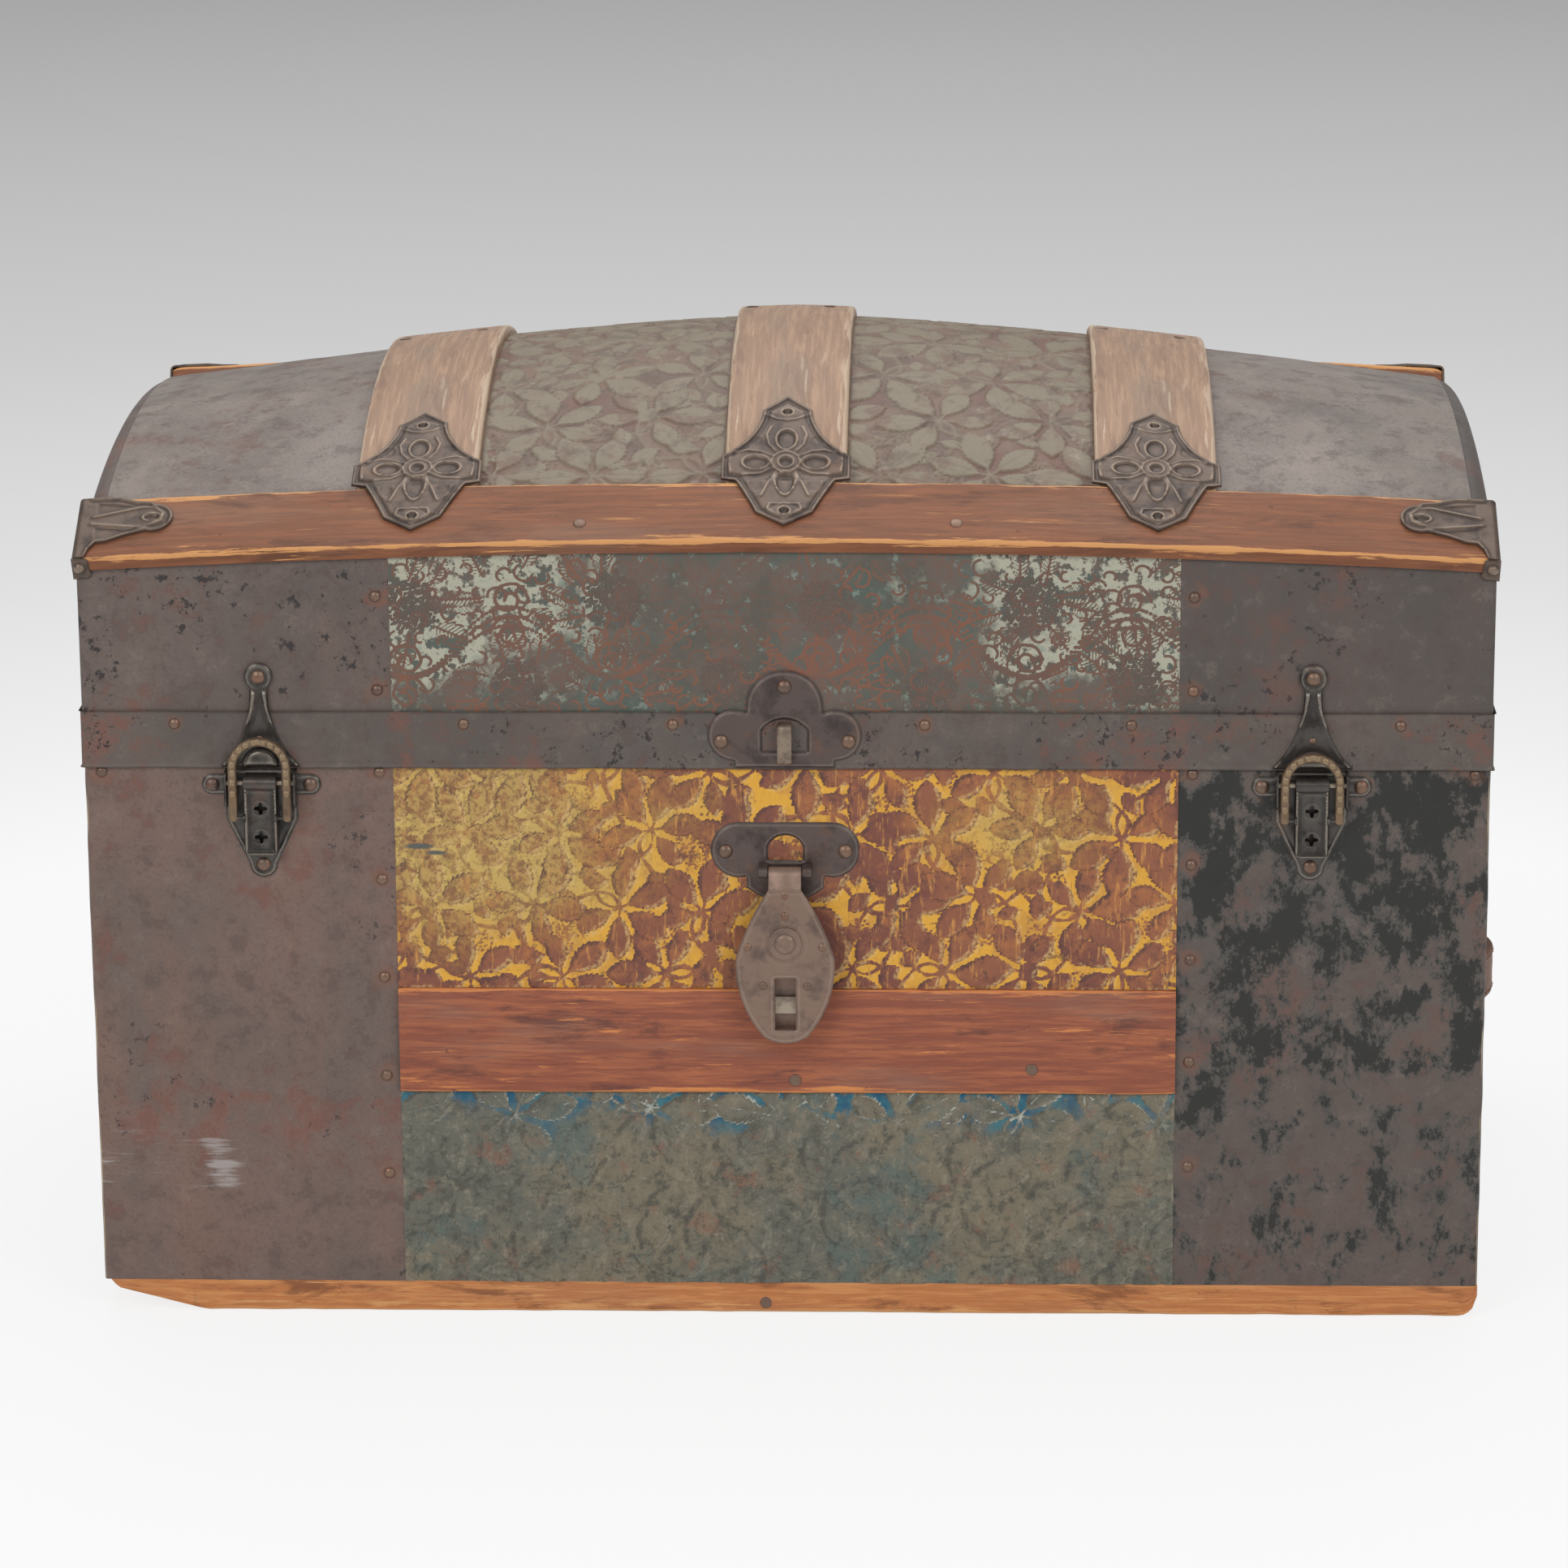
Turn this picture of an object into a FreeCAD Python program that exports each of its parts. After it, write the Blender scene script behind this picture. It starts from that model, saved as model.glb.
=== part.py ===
"""Dome top trunk: a boarded case and an arched lid, both covered in sheet metal, with wooden rails,
slats and skids, two draw bolts, a hinged hasp over a staple, two leather handles and two rear hinges.

Millimetres. X runs along the trunk, -Y is the front, +Z is up.
The origin is on the floor under the middle of the case."""

import FreeCAD, Part
import math
import os
from FreeCAD import Vector

os.makedirs("parts", exist_ok=True)

# ---------------------------------------------------------------- driving dimensions

# case
case_length = 806.0
case_depth = 457.0
seam_height = 348.0
wall_board = 10.0
bottom_board = 12.0
sheet = 0.8
panel_width = 450.0

# skids under the case
skid_thickness = 19.0
skid_width = 50.0
skid_radius = 13.0
skid_bevel_length = 58.0
skid_bevel_height = 14.0
skid_bevel_lip = 4.0

# wooden slat across the front of the case
front_slat_bottom = 137.0
front_slat_width = 63.0
front_slat_rise = 3.4
front_slat_rounding = 2.0

# lid: heights are counted up from the seam, and its lofted pieces bow along the trunk
lid_clearance = 0.5
seam_gap = 0.4
shoulder_rise = 113.0
dome_rise = 84.0
rail_bow = 11.5
crown_fall = 46.7
crown_power = 1.5
stave_thickness = 7.0
stave_count = 5
stave_gap = 0.4
layer_gap = 0.1

# rails along the front and rear shoulders of the lid
rail_slope = 30.0
rail_width = 50.0
rail_thickness = 9.0
rail_overhang = 3.0

# slats over the dome
dome_slat_spacing = 212.0
dome_slat_width = 70.0
dome_slat_thickness = 7.0
dome_slat_end_gap = 1.6

# stamped clamps over the slat ends and the rail ends
clamp_thickness = 1.2
slat_clamp_width = 74.0
slat_clamp_over_slat = 64.0
slat_clamp_over_rail = 33.0
corner_clamp_length = 54.0
corner_clamp_drop = 6.0
corner_clamp_margin = 1.5

# tin band round the lid, which laps over the case by band_lap
band_lap = 16.0
band_height = 33.5
band_thickness = 0.8

# tacks, rivets and nails: radius and height of the head
tack_radius = 3.2
tack_height = 1.6
rivet_radius = 4.2
rivet_height = 2.2
nail_radius = 3.6
nail_height = 0.5

# where the tacks and the nails stand
tack_column_margin = 8.0
left_column_heights = (86.0, 146.0, 206.0, 265.0)
right_column_heights = (92.0, 156.0, 218.0, 275.0)
case_row_drop = 19.0
case_row_places = (-393.0, 394.0)
band_row_drop = 7.5
band_row_places = (-350.0, -184.0, -64.0, 80.0, 198.0, 351.0)
lid_column_rises = (20.0, 75.0)
end_tack_spacing = 95.0
end_tack_count = 5
foot_row_rise = 12.0
back_row_drop = 60.0
back_tack_spacing = 120.0
front_slat_nails = ((5.0, 8.0), (142.0, 15.0))
skid_nail = (-13.0, 6.5)
rail_nails = (-116.0, 98.0)
rail_nail_inset = 6.5
dome_slat_nails = ((-27.0, 40.0), (20.0, 40.0))

# draw bolts: heights are counted down from the seam unless they are rises
draw_bolt_x = 301.0
latch_plate = 1.5
strike_rise = 46.0
strike_foot_rise = 1.0
strike_head_radius = 8.0
strike_neck_width = 10.5
strike_flare_width = 46.0
strike_pin_radius = 2.0
strike_pin_height = 0.9
strike_pin_rise = 5.5
nose_width = 21.0
nose_height = 11.0
nose_depth = 4.0
lever_axis_drop = 23.5
lever_axis_out = 7.4
lever_width = 19.5
lever_thickness = 2.6
lever_eye_radius = 4.4
lever_length = 43.0
lever_pin_radius = 1.5
lever_pin_clearance = 0.06
lever_edge_width = 1.5
lever_edge_depth = 3.2
lever_piercing_radius = 2.4
lever_piercings = (13.5, 31.5)
loop_width = 36.0
loop_bar = 4.9
loop_thickness = 3.0
left_loop_length = 50.0
right_loop_length = 42.0
loop_pivot_drop = 20.0
loop_pivot_out = 3.8
loop_stub_radius = 1.1
loop_stub_clearance = 0.15
loop_eye_radius = 2.3
cheek_thickness = 1.4
cheek_inside = 38.6
cheek_depth = 10.2
cheek_rounding = 4.5
cheek_reach_up = 7.0
cheek_reach_down = 15.0
base_reach_up = 6.5
base_shoulder_reach = 23.0
base_length = 58.0
base_lobe_radius = 8.0
ear_radius = 6.0
ear_spacing = 56.5
ear_below_axis = 2.5

# lock plates and staple: heights are counted from the seam, up on the lid and down on the case
lock_plate = 1.5
upper_lobe_spacing = 58.0
upper_lobe_radius = 15.0
upper_lobe_rise = 4.0
upper_crown_radius = 22.0
upper_crown_rise = 20.0
upper_foot_rise = 1.0
upper_rivet_rise = 33.0
upper_side_rivet_spacing = 73.0
upper_side_rivet_rise = 0.5
window_sill_rise = 10.5
window_width = 26.0
window_height = 19.0
window_arch = 6.5
staple_width = 8.2
staple_foot_rise = 3.5
staple_height = 24.8
staple_reach = 7.0
staple_bar = 3.0
lower_plate_drop = 48.0
lower_plate_height = 48.0
lower_lobe_radius = 16.5
lower_lobe_spacing = 53.0
lower_rivet_spacing = 69.0
lower_rivet_drop = 17.0
lower_neck_width = 46.0
lower_neck_rounding = 8.0
aperture_width = 20.0
aperture_height = 15.0
aperture_arch = 7.0
aperture_margin = 1.0

# hasp: its own heights are counted down from its pin
hasp_axis_drop = 75.0
hasp_axis_out = 11.0
hasp_pin_radius = 1.6
hasp_pin_clearance = 0.06
hasp_knuckle_radius = 3.4
hasp_knuckle_width = 19.0
hasp_outer_knuckle_width = 5.5
knuckle_gap = 0.35
hasp_plate_out = 18.0
hasp_plate = 1.5
hasp_neck_width = 19.0
hasp_width = 57.0
hasp_wide_drop = 50.0
hasp_top_drop = 9.0
hasp_strap_lap = 4.0
hasp_length = 101.0
hasp_foot_width = 25.0
hasp_slot_width = 12.0
hasp_slot_drop = 62.0
hasp_slot_length = 31.0
hasp_rivet_radius = 2.4
hasp_rivet_height = 0.8
hasp_rivets = ((0.0, 11.8), (0.0, 24.3), (-21.6, 42.8), (21.6, 42.8), (-12.6, 66.2), (12.6, 66.2))
hasp_boss_drop = 40.5
hasp_boss_radius = 9.5
hasp_boss_thickness = 1.2
hasp_knob_radius = 5.9
hasp_knob_height = 1.8
lock_case_depth = 9.0
lock_case_margin = 3.0
lock_case_drop = 14.0
lock_pocket_depth = 7.2
lock_bolt_width = 17.0
lock_bolt_height = 10.0
lock_bolt_depth = 2.6
lock_bolt_drop = 79.5
lock_bolt_travel = 6.0
lock_bolt_clearance = 0.35

# leather handles on the case ends
handle_height = 145.0
handle_span = 172.0
handle_width = 29.0
handle_strap = 6.0
handle_bulge = 25.0
handle_clearance = 0.3
cap_length = 34.0
cap_end = 4.0
cap_width = 46.0
cap_depth = 9.0
cap_rounding = 2.3
cap_rivet_inset = 14.0
cap_rivet_spacing = 24.0

# rear hinges
hinge_inset = 39.0
hinge_leaf_width = 60.0
hinge_leaf_height = 44.0
hinge_leaf_thickness = 1.5
hinge_leaf_margin = 1.0
hinge_arm_height = 5.0
hinge_knuckle_radius = 4.5
hinge_axis_out = 5.0
hinge_pin_radius = 2.2
hinge_pin_clearance = 0.05
hinge_middle_knuckle = 20.0
hinge_rivet_spacing = 40.0
hinge_rivet_offset = 30.0

# ---------------------------------------------------------------- places that follow from them

half_length = case_length / 2
half_depth = case_depth / 2
lid_half_length = half_length + lid_clearance
lid_half_depth = half_depth + lid_clearance
half_panel = panel_width / 2
floor_of_box = skid_thickness + sheet + bottom_board
front_slat_top = front_slat_bottom + front_slat_width
tack_column = half_panel + tack_column_margin

slope = math.radians(rail_slope)
shell = sheet + layer_gap
lid_bottom = seam_height + seam_gap
shoulder_height = seam_height + shoulder_rise
crown_height = shoulder_height + dome_rise
foot_y = lid_half_depth - (rail_width - rail_overhang) * math.cos(slope)
loft_reach = lid_half_length + rail_thickness
stations = [loft_reach * share for share in (-1.0, -0.75, -0.5, -0.25, 0.0, 0.25, 0.5, 0.75, 1.0)]

band_bottom = seam_height - band_lap
band_top = band_bottom + band_height
band_front = lid_half_depth + band_thickness
band_row = band_top - band_row_drop

lever_axis_z = seam_height - lever_axis_drop
lever_axis_y = -half_depth - lever_axis_out
loop_z = lever_axis_z - loop_pivot_drop
loop_y = lever_axis_y - loop_pivot_out
strike_bottom = band_bottom + strike_foot_rise
strike_head_z = seam_height + strike_rise - strike_head_radius
ear_z = lever_axis_z - ear_below_axis
base_foot_z = lever_axis_z - base_length + base_lobe_radius

hasp_axis_z = seam_height - hasp_axis_drop
hasp_axis_y = -half_depth - hasp_axis_out
hasp_front = half_depth + hasp_plate_out
hasp_back = hasp_front - hasp_plate
hasp_knuckle_end = hasp_knuckle_width / 2 + knuckle_gap
hasp_pin_end = hasp_knuckle_end + hasp_outer_knuckle_width
slot_top = hasp_axis_z - hasp_slot_drop
window_sill = band_bottom + window_sill_rise
hinge_axis_y = lid_half_depth + hinge_axis_out
hinge_x = half_panel - hinge_inset


def bow(x):
    """How far the rails and the lid's edges have fallen at x, below their middle."""
    return rail_bow * (x / lid_half_length) ** 2


def shoulder(x):
    """Height of the outer edge of the sloping shoulder at x."""
    return shoulder_height - bow(x)


def foot(x):
    """Height of the dome where it meets a rail."""
    return shoulder(x) + (lid_half_depth - foot_y) * math.tan(slope)


def crown(x):
    """Height of the dome over the middle of the trunk's depth."""
    return crown_height - crown_fall * (abs(x) / lid_half_length) ** crown_power


def dome_circle(x):
    """Radius and centre height of the dome's arc at x."""
    rise = crown(x) - foot(x)
    radius = (foot_y ** 2 + rise ** 2) / (2 * rise)
    return radius, crown(x) - radius


# ---------------------------------------------------------------- solids from simple outlines


def save(name, *solids):
    """Write one node, of one or more separate solids."""
    shape = solids[0] if len(solids) == 1 else Part.makeCompound(list(solids))
    shape.exportStep("parts/" + name + ".step")


def box(x, y, z):
    """A box from three pairs of limits."""
    return Part.makeBox(x[1] - x[0], y[1] - y[0], z[1] - z[0], Vector(x[0], y[0], z[0]))


def rod(radius, start, end):
    """A round bar between two points."""
    along = Vector(*end) - Vector(*start)
    return Part.makeCylinder(radius, along.Length, Vector(*start), along)


def cross_rod(radius, reach, y, z):
    """A round bar along the trunk, from -reach to reach."""
    return rod(radius, (-reach, y, z), (reach, y, z))


def outline(points, place):
    """A closed face through points. A point written as a pair of pairs is an arc's middle and end."""
    edges = []
    start = points[0]
    for point in points[1:] + [points[0]]:
        if isinstance(point[0], tuple):
            middle, end = point
            edges.append(Part.Arc(place(*start), place(*middle), place(*end)).toShape())
        else:
            end = point
            if math.dist(start, end) > 1e-6:
                edges.append(Part.LineSegment(place(*start), place(*end)).toShape())
        start = end
    return Part.Face(Part.Wire(edges))


def front_plate(points, y_back, thickness, x_shift=0.0):
    """A plate standing on the front, drawn in X and Z, from y_back out towards the front."""
    face = outline(points, lambda x, z: Vector(x + x_shift, y_back, z))
    return face.extrude(Vector(0, -thickness, 0))


def end_plate(points, x_start, thickness):
    """A plate across the trunk, drawn in Y and Z."""
    face = outline(points, lambda y, z: Vector(x_start, y, z))
    return face.extrude(Vector(thickness, 0, 0))


def dome_head(radius, height, at, outward):
    """The head of a tack or a rivet: a cap of a ball, flat side on the surface."""
    ball = (radius ** 2 + height ** 2) / (2 * height)
    direction = Vector(*outward).normalize()
    place = Vector(*at)
    centre = place - direction * (ball - height)
    angle = math.degrees(math.asin((ball - height) / ball))
    return Part.makeSphere(ball, centre, direction, angle, 90, 360)


def front_head(radius, height, x, out, z):
    """A head on the front, on a surface that stands at y = -out."""
    return dome_head(radius, height, (x, -out, z), (0, -1, 0))


def mirror_x(shape):
    return shape.mirror(Vector(0, 0, 0), Vector(1, 0, 0))


def mirror_y(shape):
    return shape.mirror(Vector(0, 0, 0), Vector(0, 1, 0))


# ---------------------------------------------------------------- lofted layers of the lid


def loft(section, start, end):
    """The stretch from start to end of a solid that runs the whole length of the lid."""
    whole = Part.makeLoft([section(x) for x in stations], True, False)
    stretch = box((start, end), (-case_depth, case_depth), (0, 2 * crown_height))
    return whole.common(stretch)


def quad(section):
    """A closed wire through the four corners that section(x) gives as Y and Z."""

    def wire(x):
        points = [Vector(x, y, z) for y, z in section(x)]
        return Part.makePolygon(points + points[:1])

    return wire


def dome_layer(inner, outer, from_share=-1.0, to_share=1.0, end_gap=0.0):
    """Wires of a layer of the dome, between two distances above its sheet's outer face.
    The shares run over the arc from the front foot, -1, to the rear foot, 1."""

    def wire(x):
        radius, centre = dome_circle(x)
        half = math.asin(foot_y / radius)
        gap = end_gap / radius
        start = from_share * half + gap
        end = to_share * half - gap
        middle = (start + end) / 2

        def at(angle, distance):
            reach = radius + distance
            return Vector(x, reach * math.sin(angle), centre + reach * math.cos(angle))

        top = Part.Arc(at(start, outer), at(middle, outer), at(end, outer)).toShape()
        side = Part.LineSegment(at(end, outer), at(end, inner)).toShape()
        under = Part.Arc(at(end, inner), at(middle, inner), at(start, inner)).toShape()
        back = Part.LineSegment(at(start, inner), at(start, outer)).toShape()
        return Part.Wire([top, side, under, back])

    return wire


def on_shoulder(x, along, above):
    """Y and Z at a distance along the front shoulder, up it from the lid's face, and above it."""
    y = -lid_half_depth + along * math.cos(slope) - above * math.sin(slope)
    z = shoulder(x) + along * math.sin(slope) + above * math.cos(slope)
    return y, z


def shoulder_layer(low, high, start, end):
    """Wires of a layer on the front shoulder, between two distances above it and two along it."""
    corners = ((start, low), (end, low), (end, high), (start, high))
    return quad(lambda x: [on_shoulder(x, along, above) for along, above in corners])


def clamp_strip(x):
    """Wire of a strip of sheet that lies on a dome slat, steps up on to the rail and runs down it."""
    radius, centre = dome_circle(x)
    end = dome_slat_end_gap / radius - math.asin(foot_y / radius)
    low = (dome_slat_thickness + layer_gap, rail_thickness + layer_gap)
    high = (low[0] + clamp_thickness, low[1] + clamp_thickness)

    def on_slat(angle, lift):
        return Vector(x, (radius + lift) * math.sin(angle), centre + (radius + lift) * math.cos(angle))

    def on_rail(along, lift):
        return Vector(x, *on_shoulder(x, along, lift))

    inner = rail_width - rail_overhang
    under = Part.Arc(on_slat(0.0, low[0]), on_slat(end / 2, low[0]), on_slat(end, low[0])).toShape()
    over = Part.Arc(on_slat(end, high[0]), on_slat(end / 2, high[0]), on_slat(0.0, high[0])).toShape()
    down = Part.makePolygon([on_slat(end, low[0]), on_rail(inner, low[1]), on_rail(0.0, low[1])])
    foot = [on_rail(0.0, low[1]), on_rail(0.0, high[1])]
    up = Part.makePolygon(foot + [on_rail(inner, high[1]), on_slat(end, high[0])])
    close = Part.makePolygon([on_slat(0.0, high[0]), on_slat(0.0, low[0])])
    return Part.Wire([under] + down.Edges + up.Edges + [over] + close.Edges)


# ---------------------------------------------------------------- case


def make_skids():
    """Three boards along the bottom. The front one is worn to a long bevel at its left end."""
    foot_end = half_length - skid_radius
    corner = skid_radius * (1 - math.sqrt(0.5))
    round_end = [
        (foot_end, 0.0),
        ((half_length - corner, corner), (half_length, skid_radius)),
        (half_length, skid_thickness),
    ]
    worn = [
        (-half_length + skid_bevel_lip, skid_thickness),
        (-half_length + 2 * skid_bevel_lip, skid_bevel_height),
        (-half_length + skid_bevel_length, 0.0),
    ]
    plain = [(-x, z) for x, z in ((half_length, skid_thickness), (half_length, skid_radius))]
    plain.append(((-half_length + corner, corner), (-foot_end, 0.0)))
    spread = half_depth - skid_width / 2
    front = front_plate(worn + round_end, -spread + skid_width / 2, skid_width)
    other = front_plate(plain + round_end, skid_width / 2, skid_width)
    save("front_skid", front)
    save("middle_skid", other)
    save("rear_skid", other.translated(Vector(0, spread, 0)))


def make_case_boards():
    """The wooden box under the tin: a bottom, two long walls and two ends between them."""
    inside = half_length - sheet
    outside = half_depth - sheet
    tall = (floor_of_box, seam_height)
    base = (skid_thickness + sheet, floor_of_box)
    save("bottom_board", box((-inside, inside), (-outside, outside), base))
    save("front_board", box((-inside, inside), (-outside, -outside + wall_board), tall))
    save("back_board", box((-inside, inside), (outside - wall_board, outside), tall))
    between_walls = (-outside + wall_board, outside - wall_board)
    save("left_end_board", box((-inside, -inside + wall_board), between_walls, tall))
    save("right_end_board", box((inside - wall_board, inside), between_walls, tall))
    under = (skid_thickness, skid_thickness + sheet)
    save("bottom_sheet", box((-inside, inside), (-outside, outside), under))


def make_case_sheets():
    """Plain tin wraps each end and turns on to the front and the back."""
    outside = box((-half_length, -half_panel), (-half_depth, half_depth), (skid_thickness, seam_height))
    inside = box((-half_length + sheet, 0), (-half_depth + sheet, half_depth - sheet), (0, seam_height + 1))
    left = outside.cut(inside)
    save("left_case_sheet", left)
    save("right_case_sheet", mirror_x(left))
    across = (-half_panel, half_panel)
    back = (half_depth - sheet, half_depth)
    save("back_case_sheet", box(across, back, (skid_thickness, seam_height)))
    front = (-half_depth, -half_depth + sheet)
    save("front_upper_panel", box(across, front, (front_slat_top, seam_height)))
    save("front_lower_panel", box(across, front, (skid_thickness, front_slat_bottom)))
    slat_face = -half_depth - front_slat_rise
    slat = box(across, (slat_face, -half_depth + sheet), (front_slat_bottom, front_slat_top))
    long_edges = [
        edge for edge in slat.Edges
        if abs(edge.CenterOfMass.y - slat_face) < 1e-6 and abs(edge.Length - panel_width) < 1e-6
    ]
    save("front_slat", slat.makeFillet(front_slat_rounding, long_edges))


def make_case_tacks():
    """Tacks along the edges of the tin, and nails in the front slat and the front skid."""
    heads = []
    for x, heights in ((-tack_column, left_column_heights), (tack_column, right_column_heights)):
        for z in heights:
            heads.append(front_head(tack_radius, tack_height, x, half_depth, z))
    for x in (-tack_column, tack_column) + case_row_places:
        heads.append(front_head(tack_radius, tack_height, x, half_depth, seam_height - case_row_drop))
    for x, rise in front_slat_nails:
        out = half_depth + front_slat_rise
        heads.append(front_head(nail_radius, nail_height, x, out, front_slat_bottom + rise))
    heads.append(front_head(nail_radius, nail_height, skid_nail[0], half_depth, skid_nail[1]))
    low = skid_thickness + foot_row_rise
    for x in (-tack_column, -back_tack_spacing, 0.0, back_tack_spacing, tack_column):
        for z in (low, seam_height - back_row_drop):
            heads.append(dome_head(tack_radius, tack_height, (x, half_depth, z), (0, 1, 0)))
    for side in (-1, 1):
        for y in end_tack_places():
            for z in (low, seam_height - 2 * case_row_drop):
                at = (side * half_length, y, z)
                heads.append(dome_head(tack_radius, tack_height, at, (side, 0, 0)))
    save("case_tacks", *heads)


def end_tack_places():
    """Places along Y of a row of tacks across an end of the trunk."""
    return [end_tack_spacing * (index - (end_tack_count - 1) / 2) for index in range(end_tack_count)]


# ---------------------------------------------------------------- lid


def make_lid_boards():
    """The lid's four walls. The long ones follow the bow of the rails; the ends carry the dome."""
    face = lid_half_depth - shell
    inner = face - wall_board
    under = stave_thickness / math.cos(slope) + layer_gap

    def wall(x):
        low = shoulder(x) + shell * math.tan(slope) - under
        high = low + wall_board * math.tan(slope)
        return [(-face, lid_bottom), (-inner, lid_bottom), (-inner, high), (-face, low)]

    end = lid_half_length - shell
    front = loft(quad(wall), -end, end)
    save("lid_front_board", front)
    save("lid_back_board", mirror_y(front))

    x = end - wall_board / 2
    radius, centre = dome_circle(lid_half_length)
    below = radius - shell - stave_thickness - layer_gap
    low = shoulder(lid_half_length) + (shell + wall_board) * math.tan(slope) - under
    edge_y = foot_y - (shell + stave_thickness) * math.sin(slope)
    edge_z = centre + math.sqrt(below ** 2 - edge_y ** 2)
    edge_z = min(edge_z, low + (inner - edge_y) * math.tan(slope))
    side = inner - layer_gap
    profile = [(-side, lid_bottom), (side, lid_bottom), (side, low), (edge_y, edge_z)]
    profile.append(((0.0, centre + below), (-edge_y, edge_z)))
    profile.append((-side, low))
    right = end_plate(profile, x - wall_board / 2, wall_board)
    save("lid_right_board", right)
    save("lid_left_board", mirror_x(right))


def make_staves():
    """Thin boards bent along the lid: one flat on each shoulder and the rest round the dome."""
    end = lid_half_length - shell
    flat = (lid_half_depth - foot_y) / math.cos(slope)
    start = shell * math.cos(slope)
    layer = shoulder_layer(-stave_thickness, 0.0, start, flat - stave_thickness * 0.5)
    shoulder_stave = loft(layer, -end, end)
    staves = [shoulder_stave, mirror_y(shoulder_stave)]
    for index in range(stave_count):
        low = -1 + 2 * index / stave_count
        high = -1 + 2 * (index + 1) / stave_count
        layer = dome_layer(-shell - stave_thickness, -shell, low, high, stave_gap / 2)
        staves.append(loft(layer, -end, end))
    save("dome_staves", *staves)


def lid_end_profile():
    """Outline of the lid's ends, up to the outer face of the dome."""
    x = lid_half_length
    y = lid_half_depth
    return [
        (-y, lid_bottom),
        (y, lid_bottom),
        (y, shoulder(x)),
        (foot_y, foot(x)),
        ((0.0, crown(x)), (-foot_y, foot(x))),
        (-y, shoulder(x)),
    ]


def make_lid_sheets():
    """Tin over the lid's ends, front and back, and over the dome between the rails."""
    cap = end_plate(lid_end_profile(), -lid_half_length, sheet)

    def turned(x):
        top = shoulder(x)
        front = -lid_half_depth
        return [(front, lid_bottom), (front + sheet, lid_bottom), (front + sheet, top), (front, top)]

    front = loft(quad(turned), -lid_half_length, -half_panel)
    left = cap.fuse([front, mirror_y(front)]).removeSplitter()
    save("left_lid_sheet", left)
    save("right_lid_sheet", mirror_x(left))
    panel = loft(quad(turned), -half_panel, half_panel)
    save("lid_front_panel", panel)
    save("lid_back_sheet", mirror_y(panel))

    join = dome_slat_spacing + dome_slat_width / 4
    end = lid_half_length - shell
    layer = dome_layer(-sheet, 0.0)
    left_dome = loft(layer, -end, -join)
    save("left_dome_sheet", left_dome)
    save("right_dome_sheet", mirror_x(left_dome))
    save("centre_dome_sheet", loft(layer, -join, join))


def make_lid_band():
    """A tin band along the front and both ends, which laps over the top of the case."""
    outer_x = lid_half_length + band_thickness
    outside = box((-outer_x, outer_x), (-band_front, lid_half_depth), (band_bottom, band_top))
    inside = box((-lid_half_length, lid_half_length), (-lid_half_depth, band_front), (0, crown_height))
    save("lid_band", outside.cut(inside))


def make_rails():
    """A wooden rail along each shoulder."""
    layer = shoulder_layer(0.0, rail_thickness, -rail_overhang, rail_width - rail_overhang)
    front = loft(layer, -lid_half_length, lid_half_length)
    save("front_rail", front)
    save("rear_rail", mirror_y(front))
    return front


def make_dome_slats():
    """Three bent slats from rail to rail."""
    layer = dome_layer(layer_gap, dome_slat_thickness, end_gap=dome_slat_end_gap)
    half = dome_slat_width / 2
    left = loft(layer, -dome_slat_spacing - half, -dome_slat_spacing + half)
    middle = loft(layer, -half, half)
    right = mirror_x(left)
    save("left_dome_slat", left)
    save("middle_dome_slat", middle)
    save("right_dome_slat", right)
    return {-dome_slat_spacing: left, 0.0: middle, dome_slat_spacing: right}


def slat_clamp(x):
    """A stamped quatrefoil clamp, bent over the end of a slat and down the rail."""
    half = slat_clamp_width / 2
    edge = -foot_y - rail_thickness * math.sin(slope)
    points = [(0.0, edge - slat_clamp_over_rail)]
    for across, along in ((0.42, 0.76), (0.66, 0.39), (0.86, 0.0), (1.0, -0.1)):
        points.append((half * across, edge - slat_clamp_over_rail * along))
    for across, along in ((1.0, 0.24), (0.72, 0.45), (0.42, 0.84), (0.0, 1.0)):
        points.append((half * across, edge + slat_clamp_over_slat * along))
    tip, low_side, low_bay, low_wing, wing, high_wing, high_bay, high_side, top = points
    right = [tip, low_side, (low_bay, low_wing), wing, high_wing, (high_bay, high_side)]
    left = [(-high_side[0], high_side[1]), ((-high_bay[0], high_bay[1]), (-high_wing[0], high_wing[1]))]
    left += [(-wing[0], wing[1]), (-low_wing[0], low_wing[1])]
    left += [((-low_bay[0], low_bay[1]), (-low_side[0], low_side[1]))]
    face = outline(right + [top] + left, lambda px, py: Vector(x + px, py, seam_height))
    prism = face.extrude(Vector(0, 0, crown_height))

    return loft(clamp_strip, x - half, x + half).common(prism).removeSplitter()


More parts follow.
